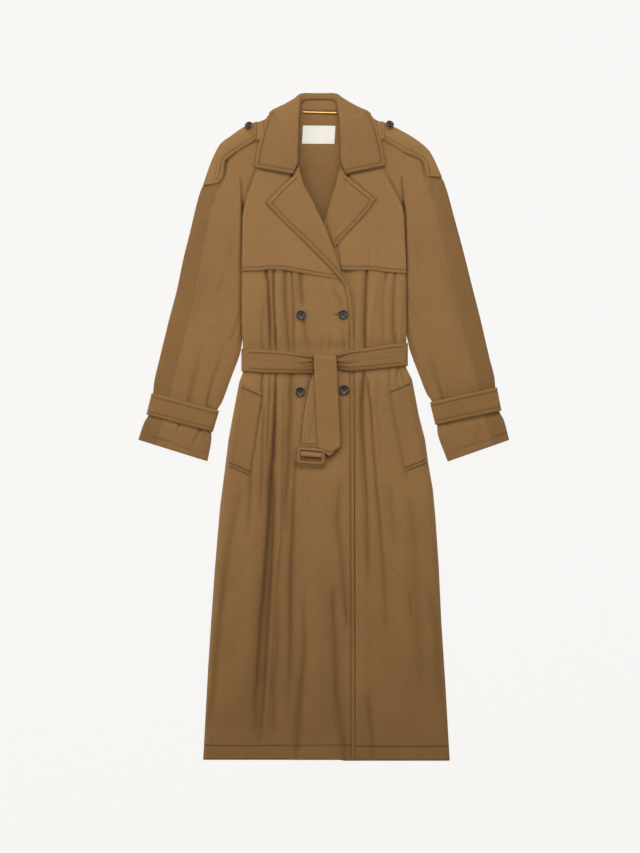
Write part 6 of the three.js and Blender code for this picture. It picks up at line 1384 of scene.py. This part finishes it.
# ---- Buttons ---------------------------------------------------------------------------------------------------------------
def button(name, node, x, y, z, r, thick, lean=0.0, turn=0.0, spin=0.5):
    """A sew-through button: rounded rim, dished middle, four holes and the thread through them."""
    prof = [(0.0, 0.62), (0.18, 0.62), (0.3, 0.625), (0.36, 0.63), (0.42, 0.64), (0.52, 0.66), (0.6, 0.7), (0.66, 0.78), (0.71, 0.88), (0.76, 0.96), (0.82, 1.0), (0.88, 0.98),
            (0.94, 0.88), (0.98, 0.7), (1.0, 0.5), (0.985, 0.3), (0.94, 0.12), (0.86, 0.02), (0.7, 0.0), (0.35, 0.0), (0.0, 0.0)]
    rr = [0, 0.05, 0.1, 0.14, 0.17, 0.2, 0.23, 0.26, 0.29, 0.32, 0.36, 0.4, 0.46]
    top = [(q, np.interp(q, [p[0] for p in prof[:12]], [p[1] for p in prof[:12]])) for q in rr] + [p for p in prof[5:] if p[0] > 0.46 or p[1] < 0.3]
    m = 72
    v, f = [], []
    hole_r, hole_at = 0.085, 0.235
    for i, (q, h) in enumerate(top):
        for j in range(m):
            t = 2 * math.pi * j / m
            px, py = q * math.cos(t), q * math.sin(t)
            zz = h * thick
            if i < len(rr):
                for kx, ky in ((1, 1), (1, -1), (-1, 1), (-1, -1)):
                    d = math.hypot(px - kx * hole_at * 0.72, py - ky * hole_at * 0.72)
                    zz -= thick * 0.42 * (1 / (1 + (d / hole_r) ** 6))
            v.append((px * r, py * r, zz))
    rows = len(top)
    for i in range(rows - 1):
        for j in range(m):
            f.append((i * m + j, i * m + (j + 1) % m, (i + 1) * m + (j + 1) % m, (i + 1) * m + j))
    v = np.array(v)
    # close the centre of both faces with a fan of one point each
    c0, c1 = len(v), len(v) + 1
    top_z, low_z = v[:m, 2].mean(), 0.0
    keep_v = np.concatenate([v, [[0, 0, top_z]], [[0, 0, low_z]]])
    faces = [tuple(q) for q in f if q[0] // m != 0 and q[3] // m != rows - 1]
    for j in range(m):
        faces.append((c0, m + (j + 1) % m, m + j)[::-1])
        faces.append((c1, (rows - 2) * m + j, (rows - 2) * m + (j + 1) % m)[::-1])
    used = sorted({a for q in faces for a in q})
    back_ = {a: i for i, a in enumerate(used)}
    w = keep_v[used]
    faces = [tuple(back_[a] for a in q) for q in faces]
    cr, sr = math.cos(spin), math.sin(spin)
    w = np.stack([w[:, 0] * cr - w[:, 1] * sr, w[:, 0] * sr + w[:, 1] * cr, w[:, 2]], -1)
    cl, sl = math.cos(math.radians(-lean)), math.sin(math.radians(-lean))
    w2 = np.stack([w[:, 0], w[:, 1] * cl - w[:, 2] * sl, w[:, 1] * sl + w[:, 2] * cl], -1)
    ct, st = math.cos(math.radians(turn)), math.sin(math.radians(turn))
    rotate = lambda a: np.stack([a[:, 0] * ct - a[:, 1] * st, a[:, 0] * st + a[:, 1] * ct, a[:, 2]], -1)
    w3 = rotate(w2) + mm(x, y, z)
    vol = 0.0
    for q in faces:
        for k_ in range(1, len(q) - 1):
            vol += float(np.dot(w3[q[0]], np.cross(w3[q[k_]], w3[q[k_ + 1]])))
    if vol < 0:
        faces = [q[::-1] for q in faces]
    o = build(name, (w3 * 1e-3).tolist(), faces)
    PIECES[name] = (o, node)
    # thread: two bars across the holes
    tv, tf = [], []
    for sgn in (1, -1):
        a = np.array([hole_at * 0.72 * r, sgn * hole_at * 0.72 * r, thick * 0.5])
        b = np.array([-hole_at * 0.72 * r, -sgn * hole_at * 0.72 * r, thick * 0.5])
        for i in range(9):
            t = i / 8
            c_ = mix(a, b, t) + np.array([0, 0, thick * 0.24 * math.sin(math.pi * t) ** 0.5])
            d = b - a
            side_ = np.array([-d[1], d[0], 0]) / np.linalg.norm(d)
            for j in range(6):
                ang = 2 * math.pi * j / 6
                tv.append(c_ + side_ * 0.42 * math.cos(ang) + np.array([0, 0, 0.34 * math.sin(ang)]))
        base = len(tv) - 54
        for i in range(8):
            for j in range(6):
                tf.append((base + i * 6 + j, base + (i + 1) * 6 + j, base + (i + 1) * 6 + (j + 1) % 6, base + i * 6 + (j + 1) % 6))
        tf.append(tuple(base + j for j in range(6)))
        tf.append(tuple(base + 48 + j for j in reversed(range(6))))
    tv = np.array(tv)
    tv = np.stack([tv[:, 0] * cr - tv[:, 1] * sr, tv[:, 0] * sr + tv[:, 1] * cr, tv[:, 2]], -1)
    tv = np.stack([tv[:, 0], tv[:, 1] * cl - tv[:, 2] * sl, tv[:, 1] * sl + tv[:, 2] * cl], -1)
    tv = rotate(tv) + mm(x, y, z)
    t_o = build(name + "_thread", (tv * 1e-3).tolist(), tf)
    return o, t_o


HORN, THREADS = [], []
for name, x, y, r in (("button_upper_right", 301.0, 315.2, 9.0), ("button_upper_left", 343.0, 314.8, 9.0),
                      ("button_lower_right", 300.3, 391.9, 9.1), ("button_lower_left", 344.0, 390.0, 9.7)):
    z = float(read(widest(HEIGHT, 7), x, y)) + 0.3
    o, t_ = button(name + "_horn", name, x, y, z, r, 3.5, spin=0.5 + x % 1)
    HORN.append(o)
    THREADS.append(t_)
for name, x, y, lean, turn in (("button_epaulette_right", 249.0, 126.1, 38, 30), ("button_epaulette_left", 389.7, 125.0, 38, -28)):
    o, t_ = button(name + "_horn", name, x, y, 12.9, 7.6, 3.1, lean=lean, turn=turn)
    HORN.append(o)
    THREADS.append(t_)

# ---- Label and hanger bar -----------------------------------------------------------------------------------------------------
u, v = np.meshgrid(across(np.full(1, 32.2), 1.1, [0, 0.2, 0.5, 0.9, 1.3, 1.8], [0, 0.2, 0.5, 0.9, 1.3, 1.8])[0], across(np.full(1, 18.0), 1.0, [0, 0.2, 0.5, 0.9, 1.3, 1.8], [0, 0.2, 0.5, 0.9, 1.3, 1.8])[0])
quad = ((303.1, 125.9), (335.3, 126.2), (334.2, 144.1), (302.1, 143.8))
X = mix(mix(quad[0][0], quad[1][0], u), mix(quad[3][0], quad[2][0], u), v)
Y = mix(mix(quad[0][1], quad[1][1], u), mix(quad[3][1], quad[2][1], u), v)
Z = read(blurred(widest(HEIGHT, 1), 2), X, Y) + 0.95 + 0.10 * np.sin(X * 0.5 + 1) * np.sin(Y * 0.7)
label_outline = [quad[0], quad[1], quad[2], quad[3], quad[0]]
line = [(mix(x, 318.7, 0.06), mix(y, 135.0, 0.1)) for x, y in label_outline]
Z, _ = welt(X, Y, Z, [label_outline], [line], puff=0.0, drop=0.2, depth=0.12, round_at=0.6)
label = shell("label_woven", X, Y, Z, t=0.7, node="label")
label_seam = line


def rod(name, a, b, r, rings=40, m=20):
    v, f = [], []
    d = b - a
    n_ = np.linalg.norm(d)
    d = d / n_
    side_ = np.array([-d[1], d[0], 0])
    up_ = np.cross(d, side_)
    prof = [(0, 0.0), (0.05, 0.45), (0.2, 0.78), (0.5, 0.96), (0.9, 1.0)]
    st = [(p[0] * r, p[1]) for p in prof] + [(q, 1.0) for q in np.linspace(0.06, 0.94, rings) * n_] + [(n_ - p[0] * r, p[1]) for p in reversed(prof)]
    v.append(a)
    for q, w in st[1:-1]:
        for j in range(m):
            t = 2 * math.pi * j / m
            v.append(a + d * q + (side_ * math.cos(t) + up_ * math.sin(t)) * r * w)
    v.append(b)
    k_ = len(st) - 2
    for j in range(m):
        f.append((0, 1 + (j + 1) % m, 1 + j))
        f.append((len(v) - 1, 1 + (k_ - 1) * m + j, 1 + (k_ - 1) * m + (j + 1) % m))
    for i in range(k_ - 1):
        for j in range(m):
            f.append((1 + i * m + j, 1 + i * m + (j + 1) % m, 1 + (i + 1) * m + (j + 1) % m, 1 + (i + 1) * m + j))
    return v, f


a, b = mm(302.9, 112.35, 6.1), mm(336.7, 113.3, 6.1)
v, f = rod("bar", a, b, 1.65)
bar = build("hanger_bar_brass", (np.array(v) * 1e-3).tolist(), f)
PIECES["hanger_bar_brass"] = (bar, "hanger_bar")
lay(np.array([[302.9, 302.9], [336.7, 336.7]]), np.array([[112.0, 112.7], [112.9, 113.6]]), np.full((2, 2), 7.75))

# ---- Stitching as one piece, and the buttonhole -----------------------------------------------------------------------------
for yy in (314.1, 315.5):
    sew([(334.9, yy), (339.0, yy)], pitch=0.42, length=0.5, lift=0.02, r=0.34)
sew([(334.7, 314.1), (334.7, 315.5)], pitch=0.5, length=0.5, lift=0.02, r=0.34)
stitching = threads()
SEAMS.clear()
sew(label_seam, pitch=1.3, length=0.95, lift=0.0, r=0.17)
label_stitching = threads()
label_stitching.name = "label_stitching"

# ---- Materials --------------------------------------------------------------------------------------------------------------
def linear(c):
    return tuple((v / 255 / 12.92) if v / 255 <= 0.04045 else ((v / 255 + 0.055) / 1.055) ** 2.4 for v in c) + (1.0,)


def new(name):
    m = bpy.data.materials.new(name)
    m.use_nodes = True
    nt = m.node_tree
    nt.nodes.clear()
    out = nt.nodes.new("ShaderNodeOutputMaterial")
    b = nt.nodes.new("ShaderNodeBsdfPrincipled")
    nt.links.new(b.outputs[0], out.inputs[0])
    return m, nt, b


def node(nt, kind, **props):
    n_ = nt.nodes.new(kind)
    for k_, v_ in props.items():
        setattr(n_, k_, v_)
    return n_


def noise(nt, vec, scale, detail=3.0, rough=0.55):
    n_ = node(nt, "ShaderNodeTexNoise")
    n_.inputs["Scale"].default_value = scale
    n_.inputs["Detail"].default_value = detail
    n_.inputs["Roughness"].default_value = rough
    nt.links.new(vec, n_.inputs["Vector"])
    return n_.outputs["Fac"]


def mapped(nt, vec, scale=(1, 1, 1), rot=(0, 0, 0)):
    n_ = node(nt, "ShaderNodeMapping")
    n_.inputs["Scale"].default_value = scale
    n_.inputs["Rotation"].default_value = rot
    nt.links.new(vec, n_.inputs["Vector"])
    return n_.outputs["Vector"]


def math_(nt, op, a_, b_=None, c_=None):
    n_ = node(nt, "ShaderNodeMath", operation=op)
    for i, v_ in enumerate((a_, b_, c_)):
        if v_ is None:
            continue
        if isinstance(v_, (int, float)):
            n_.inputs[i].default_value = v_
        else:
            nt.links.new(v_, n_.inputs[i])
    return n_.outputs[0]


def ramp(nt, fac, lo, hi, a_=0.35, b_=0.65):
    n_ = node(nt, "ShaderNodeMapRange")
    n_.inputs["From Min"].default_value = a_
    n_.inputs["From Max"].default_value = b_
    n_.inputs["To Min"].default_value = lo
    n_.inputs["To Max"].default_value = hi
    nt.links.new(fac, n_.inputs["Value"])
    return n_.outputs["Result"]


def shade(nt, colour, factors):
    """A colour multiplied by several factors round 1."""
    total = None
    for f_ in factors:
        total = f_ if total is None else math_(nt, "MULTIPLY", total, f_)
    n_ = node(nt, "ShaderNodeVectorMath", operation="SCALE")
    n_.inputs[0].default_value = colour[:3]
    nt.links.new(total, n_.inputs["Scale"])
    return n_.outputs["Vector"]


def bumps(nt, parts, bsdf):
    last = None
    for height, strength, dist in parts:
        n_ = node(nt, "ShaderNodeBump")
        n_.inputs["Strength"].default_value = strength
        n_.inputs["Distance"].default_value = dist
        nt.links.new(height, n_.inputs["Height"])
        if last is not None:
            nt.links.new(last, n_.inputs["Normal"])
        last = n_.outputs["Normal"]
    nt.links.new(last, bsdf.inputs["Normal"])


def cloth(name, colour, sheen=0.22, rough=0.66):
    m, nt, b = new(name)
    uv = node(nt, "ShaderNodeUVMap", uv_map="grain").outputs["UV"]
    obj = node(nt, "ShaderNodeTexCoord").outputs["Object"]
    # gabardine: fine steep diagonal ribs, crossed faintly by the weft
    twill = node(nt, "ShaderNodeTexWave", wave_type="BANDS", bands_direction="X", wave_profile="SIN")
    twill.inputs["Scale"].default_value = 470
    twill.inputs["Distortion"].default_value = 1.2
    twill.inputs["Detail"].default_value = 1.0
    twill.inputs["Detail Scale"].default_value = 0.6
    nt.links.new(mapped(nt, uv, rot=(0, 0, math.radians(63))), twill.inputs["Vector"])
    weft = node(nt, "ShaderNodeTexWave", wave_type="BANDS", bands_direction="Y", wave_profile="SIN")
    weft.inputs["Scale"].default_value = 620
    weft.inputs["Distortion"].default_value = 0.8
    nt.links.new(uv, weft.inputs["Vector"])
    warp_slub = noise(nt, mapped(nt, uv, (900, 70, 1)), 1.0, 2.0)
    weft_slub = noise(nt, mapped(nt, uv, (60, 700, 1)), 1.0, 2.0)
    speck = noise(nt, uv, 520, 2.0, 0.6)
    cloud = noise(nt, obj, 16, 3.0, 0.5)
    broad = noise(nt, obj, 4.5, 2.0, 0.5)
    # the painted light and shade of each point scales the colour, from 0.25 in the deepest painted shade to 1.1 in
    # painted highlight
    painted_light = node(nt, "ShaderNodeAttribute", attribute_name="painted_light").outputs["Fac"]
    edge = ramp(nt, painted_light, 0.25, 1.1, -7.5, 1.0)
    colour_out = shade(nt, colour, [
        ramp(nt, warp_slub, 0.94, 1.06), ramp(nt, weft_slub, 0.965, 1.035), ramp(nt, speck, 0.92, 1.08), ramp(nt, noise(nt, uv, 240, 2.0), 0.98, 1.02),
        ramp(nt, cloud, 0.965, 1.035), ramp(nt, broad, 0.97, 1.03), ramp(nt, twill.outputs["Fac"], 0.93, 1.05, 0, 1)])
    # painted shade: in a fold the cloth lights itself, so the painted shade grows redder as it darkens
    deep = node(nt, "ShaderNodeCombineXYZ")
    nt.links.new(edge, deep.inputs[0])
    nt.links.new(math_(nt, "POWER", edge, 1.14), deep.inputs[1])
    nt.links.new(math_(nt, "POWER", edge, 1.38), deep.inputs[2])
    both = node(nt, "ShaderNodeVectorMath", operation="MULTIPLY")
    nt.links.new(colour_out, both.inputs[0])
    nt.links.new(deep.outputs[0], both.inputs[1])
    nt.links.new(both.outputs["Vector"], b.inputs["Base Color"])
    nt.links.new(ramp(nt, cloud, rough - 0.05, rough + 0.05), b.inputs["Roughness"])
    b.inputs["Sheen Weight"].default_value = sheen
    b.inputs["Sheen Roughness"].default_value = 0.45
    b.inputs["Sheen Tint"].default_value = (0.95, 0.8, 0.62, 1)
    b.inputs["Specular IOR Level"].default_value = 0.22
    crumple = noise(nt, obj, 55, 3.0, 0.5)
    bumps(nt, [(crumple, 0.5, 0.0009), (warp_slub, 0.35, 0.00012), (weft.outputs["Fac"], 0.25, 0.00005), (twill.outputs["Fac"], 0.5, 0.00012)], b)
    return m


CLOTH = cloth("gabardine", linear((145, 109, 66)), sheen=0.06)
THREAD, nt, b = new("sewing_thread")
obj = node(nt, "ShaderNodeTexCoord").outputs["Object"]
ply = node(nt, "ShaderNodeTexWave", wave_type="BANDS", bands_direction="DIAGONAL")
ply.inputs["Scale"].default_value = 900
nt.links.new(obj, ply.inputs["Vector"])
nt.links.new(shade(nt, linear((108, 76, 43)), [ramp(nt, ply.outputs["Fac"], 0.85, 1.1, 0, 1), ramp(nt, noise(nt, obj, 60), 0.94, 1.06)]), b.inputs["Base Color"])
nt.links.new(ramp(nt, noise(nt, obj, 300), 0.45, 0.6), b.inputs["Roughness"])
b.inputs["Sheen Weight"].default_value = 0.15
bumps(nt, [(ply.outputs["Fac"], 0.5, 0.00008)], b)

HORN_M, nt, b = new("horn")
obj = node(nt, "ShaderNodeTexCoord").outputs["Object"]
streak = noise(nt, mapped(nt, obj, (260, 900, 260), (0, 0, 0.6)), 1.0, 4.0, 0.6)
mottle = noise(nt, obj, 240, 3.0, 0.6)
nt.links.new(shade(nt, linear((40, 35, 33)), [ramp(nt, streak, 0.75, 1.35), ramp(nt, mottle, 0.85, 1.2)]), b.inputs["Base Color"])
nt.links.new(ramp(nt, mottle, 0.32, 0.44), b.inputs["Roughness"])
b.inputs["Coat Weight"].default_value = 0.15
b.inputs["Coat Roughness"].default_value = 0.12
bumps(nt, [(streak, 0.25, 0.00006)], b)

BUTTON_THREAD, nt, b = new("button_thread")
obj = node(nt, "ShaderNodeTexCoord").outputs["Object"]
nt.links.new(shade(nt, linear((52, 44, 38)), [ramp(nt, noise(nt, obj, 1500), 0.7, 1.3)]), b.inputs["Base Color"])
nt.links.new(ramp(nt, noise(nt, obj, 900), 0.55, 0.75), b.inputs["Roughness"])
bumps(nt, [(noise(nt, obj, 1500), 0.5, 0.0001)], b)

BRASS, nt, b = new("brass")
obj = node(nt, "ShaderNodeTexCoord").outputs["Object"]
brushed = noise(nt, mapped(nt, obj, (40, 2200, 2200)), 1.0, 3.0)
nt.links.new(shade(nt, linear((205, 168, 104)), [ramp(nt, brushed, 0.92, 1.06), ramp(nt, noise(nt, obj, 90), 0.95, 1.04)]), b.inputs["Base Color"])
nt.links.new(ramp(nt, brushed, 0.22, 0.36), b.inputs["Roughness"])
b.inputs["Metallic"].default_value = 1.0
bumps(nt, [(brushed, 0.2, 0.00004)], b)

LABEL, nt, b = new("woven_label")
uv = node(nt, "ShaderNodeUVMap", uv_map="grain").outputs["UV"]
wl = node(nt, "ShaderNodeTexWave", wave_type="BANDS", bands_direction="X")
wl.inputs["Scale"].default_value = 900
nt.links.new(uv, wl.inputs["Vector"])
wt = node(nt, "ShaderNodeTexWave", wave_type="BANDS", bands_direction="Y")
wt.inputs["Scale"].default_value = 700
nt.links.new(uv, wt.inputs["Vector"])
slub = noise(nt, mapped(nt, uv, (120, 1400, 1)), 1.0, 2.0)
nt.links.new(shade(nt, linear((236, 233, 226)), [ramp(nt, wl.outputs["Fac"], 0.97, 1.0, 0, 1), ramp(nt, slub, 0.965, 1.01), ramp(nt, noise(nt, uv, 60), 0.98, 1.01)]), b.inputs["Base Color"])
nt.links.new(ramp(nt, slub, 0.42, 0.56), b.inputs["Roughness"])
b.inputs["Sheen Weight"].default_value = 0.2
bumps(nt, [(wl.outputs["Fac"], 0.35, 0.00005), (wt.outputs["Fac"], 0.35, 0.00005)], b)

LABEL_THREAD, nt, b = new("label_thread")
obj = node(nt, "ShaderNodeTexCoord").outputs["Object"]
nt.links.new(shade(nt, linear((226, 221, 210)), [ramp(nt, noise(nt, obj, 1400), 0.9, 1.05)]), b.inputs["Base Color"])
nt.links.new(ramp(nt, noise(nt, obj, 900), 0.5, 0.65), b.inputs["Roughness"])

# ---- Who wears what, and what it stands for --------------------------------------------------------------------------------
SLOT = {"cloth": CLOTH, "label": LABEL, "brass": BRASS, "horn": HORN_M}
# Each piece gets its material, hides the frame part it stands for and hangs from the root.
for name, (o, nd) in PIECES.items():
    slot = "horn" if "button" in nd else "brass" if nd in ("hanger_bar", "buckle_bar") else "label" if nd == "label" else "cloth"
    o.data.materials.append(SLOT[slot])
    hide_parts(nd)
    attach(o, "root")
for o in (stitching, label_stitching):
    o.data.materials.append(THREAD if o is stitching else LABEL_THREAD)
    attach(o, "root")
for o in THREADS:
    o.data.materials.append(BUTTON_THREAD)
    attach(o, "root")
bar_node = frame["nodes"]["buckle_bar"] if isinstance(frame["nodes"], dict) else None
if bar_node is not None:
    for s_ in bar_node.material_slots:
        s_.material = BRASS


def area_of(o):
    me = o.data
    a_ = np.empty(len(me.polygons))
    me.polygons.foreach_get("area", a_)
    return float(a_.sum()) / 2


for name, (o, nd) in PIECES.items():
    if "button" in nd or nd in ("hanger_bar", "buckle_bar", "buckle_frame"):
        continue
    print("AREA", name, round(area_of(o), 5), [round(float(v_), 4) for v_ in o.dimensions], "tris", TRIS[o.name])
print("TRIS total", sum(TRIS.values()), "stitching", TRIS["stitching"])

# ---- Floor, light and camera -------------------------------------------------------------------------------------------------
def floor():
    n_ = 24
    vs = [((i / n_ - 0.5) * 12, (j / n_ - 0.5) * 12, -0.0006) for j in range(n_ + 1) for i in range(n_ + 1)]
    fs = [(j * (n_ + 1) + i, j * (n_ + 1) + i + 1, (j + 1) * (n_ + 1) + i + 1, (j + 1) * (n_ + 1) + i) for j in range(n_) for i in range(n_)]
    me = bpy.data.meshes.new("floor")
    me.from_pydata(vs, [], fs)
    o = bpy.data.objects.new("floor", me)
    bpy.context.collection.objects.link(o)
    m, nt, b = new("floor_paper")
    b.inputs["Base Color"].default_value = (0.03, 0.03, 0.03, 1)
    b.inputs["Roughness"].default_value = 0.9
    b.inputs["Specular IOR Level"].default_value = 0.0
    b.inputs["Emission Color"].default_value = linear((248, 247, 245))
    b.inputs["Emission Strength"].default_value = 0.968
    me.materials.append(m)
    return o


floor()

world = bpy.data.worlds.new("studio")
bpy.context.scene.world = world
world.use_nodes = True
world.node_tree.nodes["Background"].inputs[0].default_value = (1.0, 0.935, 0.845, 1)
world.node_tree.nodes["Background"].inputs[1].default_value = 0.10


def area(name, loc, target, size, power, colour=(1, 1, 1), size_y=None):
    l = bpy.data.lights.new(name, "AREA")
    l.shape = "RECTANGLE"
    l.size, l.size_y = size, size_y or size
    l.energy = power
    l.color = colour
    o = bpy.data.objects.new(name, l)
    bpy.context.collection.objects.link(o)
    d = np.array(target, float) - np.array(loc, float)
    from mathutils import Vector
    o.location = loc
    o.rotation_euler = Vector(d).to_track_quat("-Z", "Y").to_euler()
    return o


area("top softbox", (0.0, 2.3, 1.75), (0.0, 0.2, 0.0), 2.0, 50, (1.0, 0.99, 0.97), 1.1)
area("overhead", (0.0, 0.36, 1.6), (0.0, 0.36, 0.0), 0.7, 7.5, (1.0, 0.99, 0.97), 0.7)
area("left softbox", (-1.9, 0.30, 1.05), (0.0, 0.0, 0.0), 1.0, 19.0, (1.0, 0.94, 0.84), 1.5)
area("right softbox", (1.9, 0.30, 1.15), (0.0, 0.0, 0.0), 1.0, 7.0, (1.0, 0.955, 0.87), 1.5)

cam_data = bpy.data.cameras.new("camera")
cam = bpy.data.objects.new("camera", cam_data)
bpy.context.collection.objects.link(cam)
cam.location = (-0.00705, -0.00056, 6.0)
cam.rotation_euler = (0, 0, 0)
cam_data.sensor_fit = "HORIZONTAL"
cam_data.sensor_width = 36
cam_data.lens = 36 * 6 / 1.2032
cam_data.clip_end = 50
bpy.context.scene.camera = cam
bpy.context.scene.view_settings.view_transform = "Standard"
bpy.context.scene.view_settings.look = "None"
bpy.context.scene.view_settings.exposure = 0
bpy.context.scene.view_settings.gamma = 1
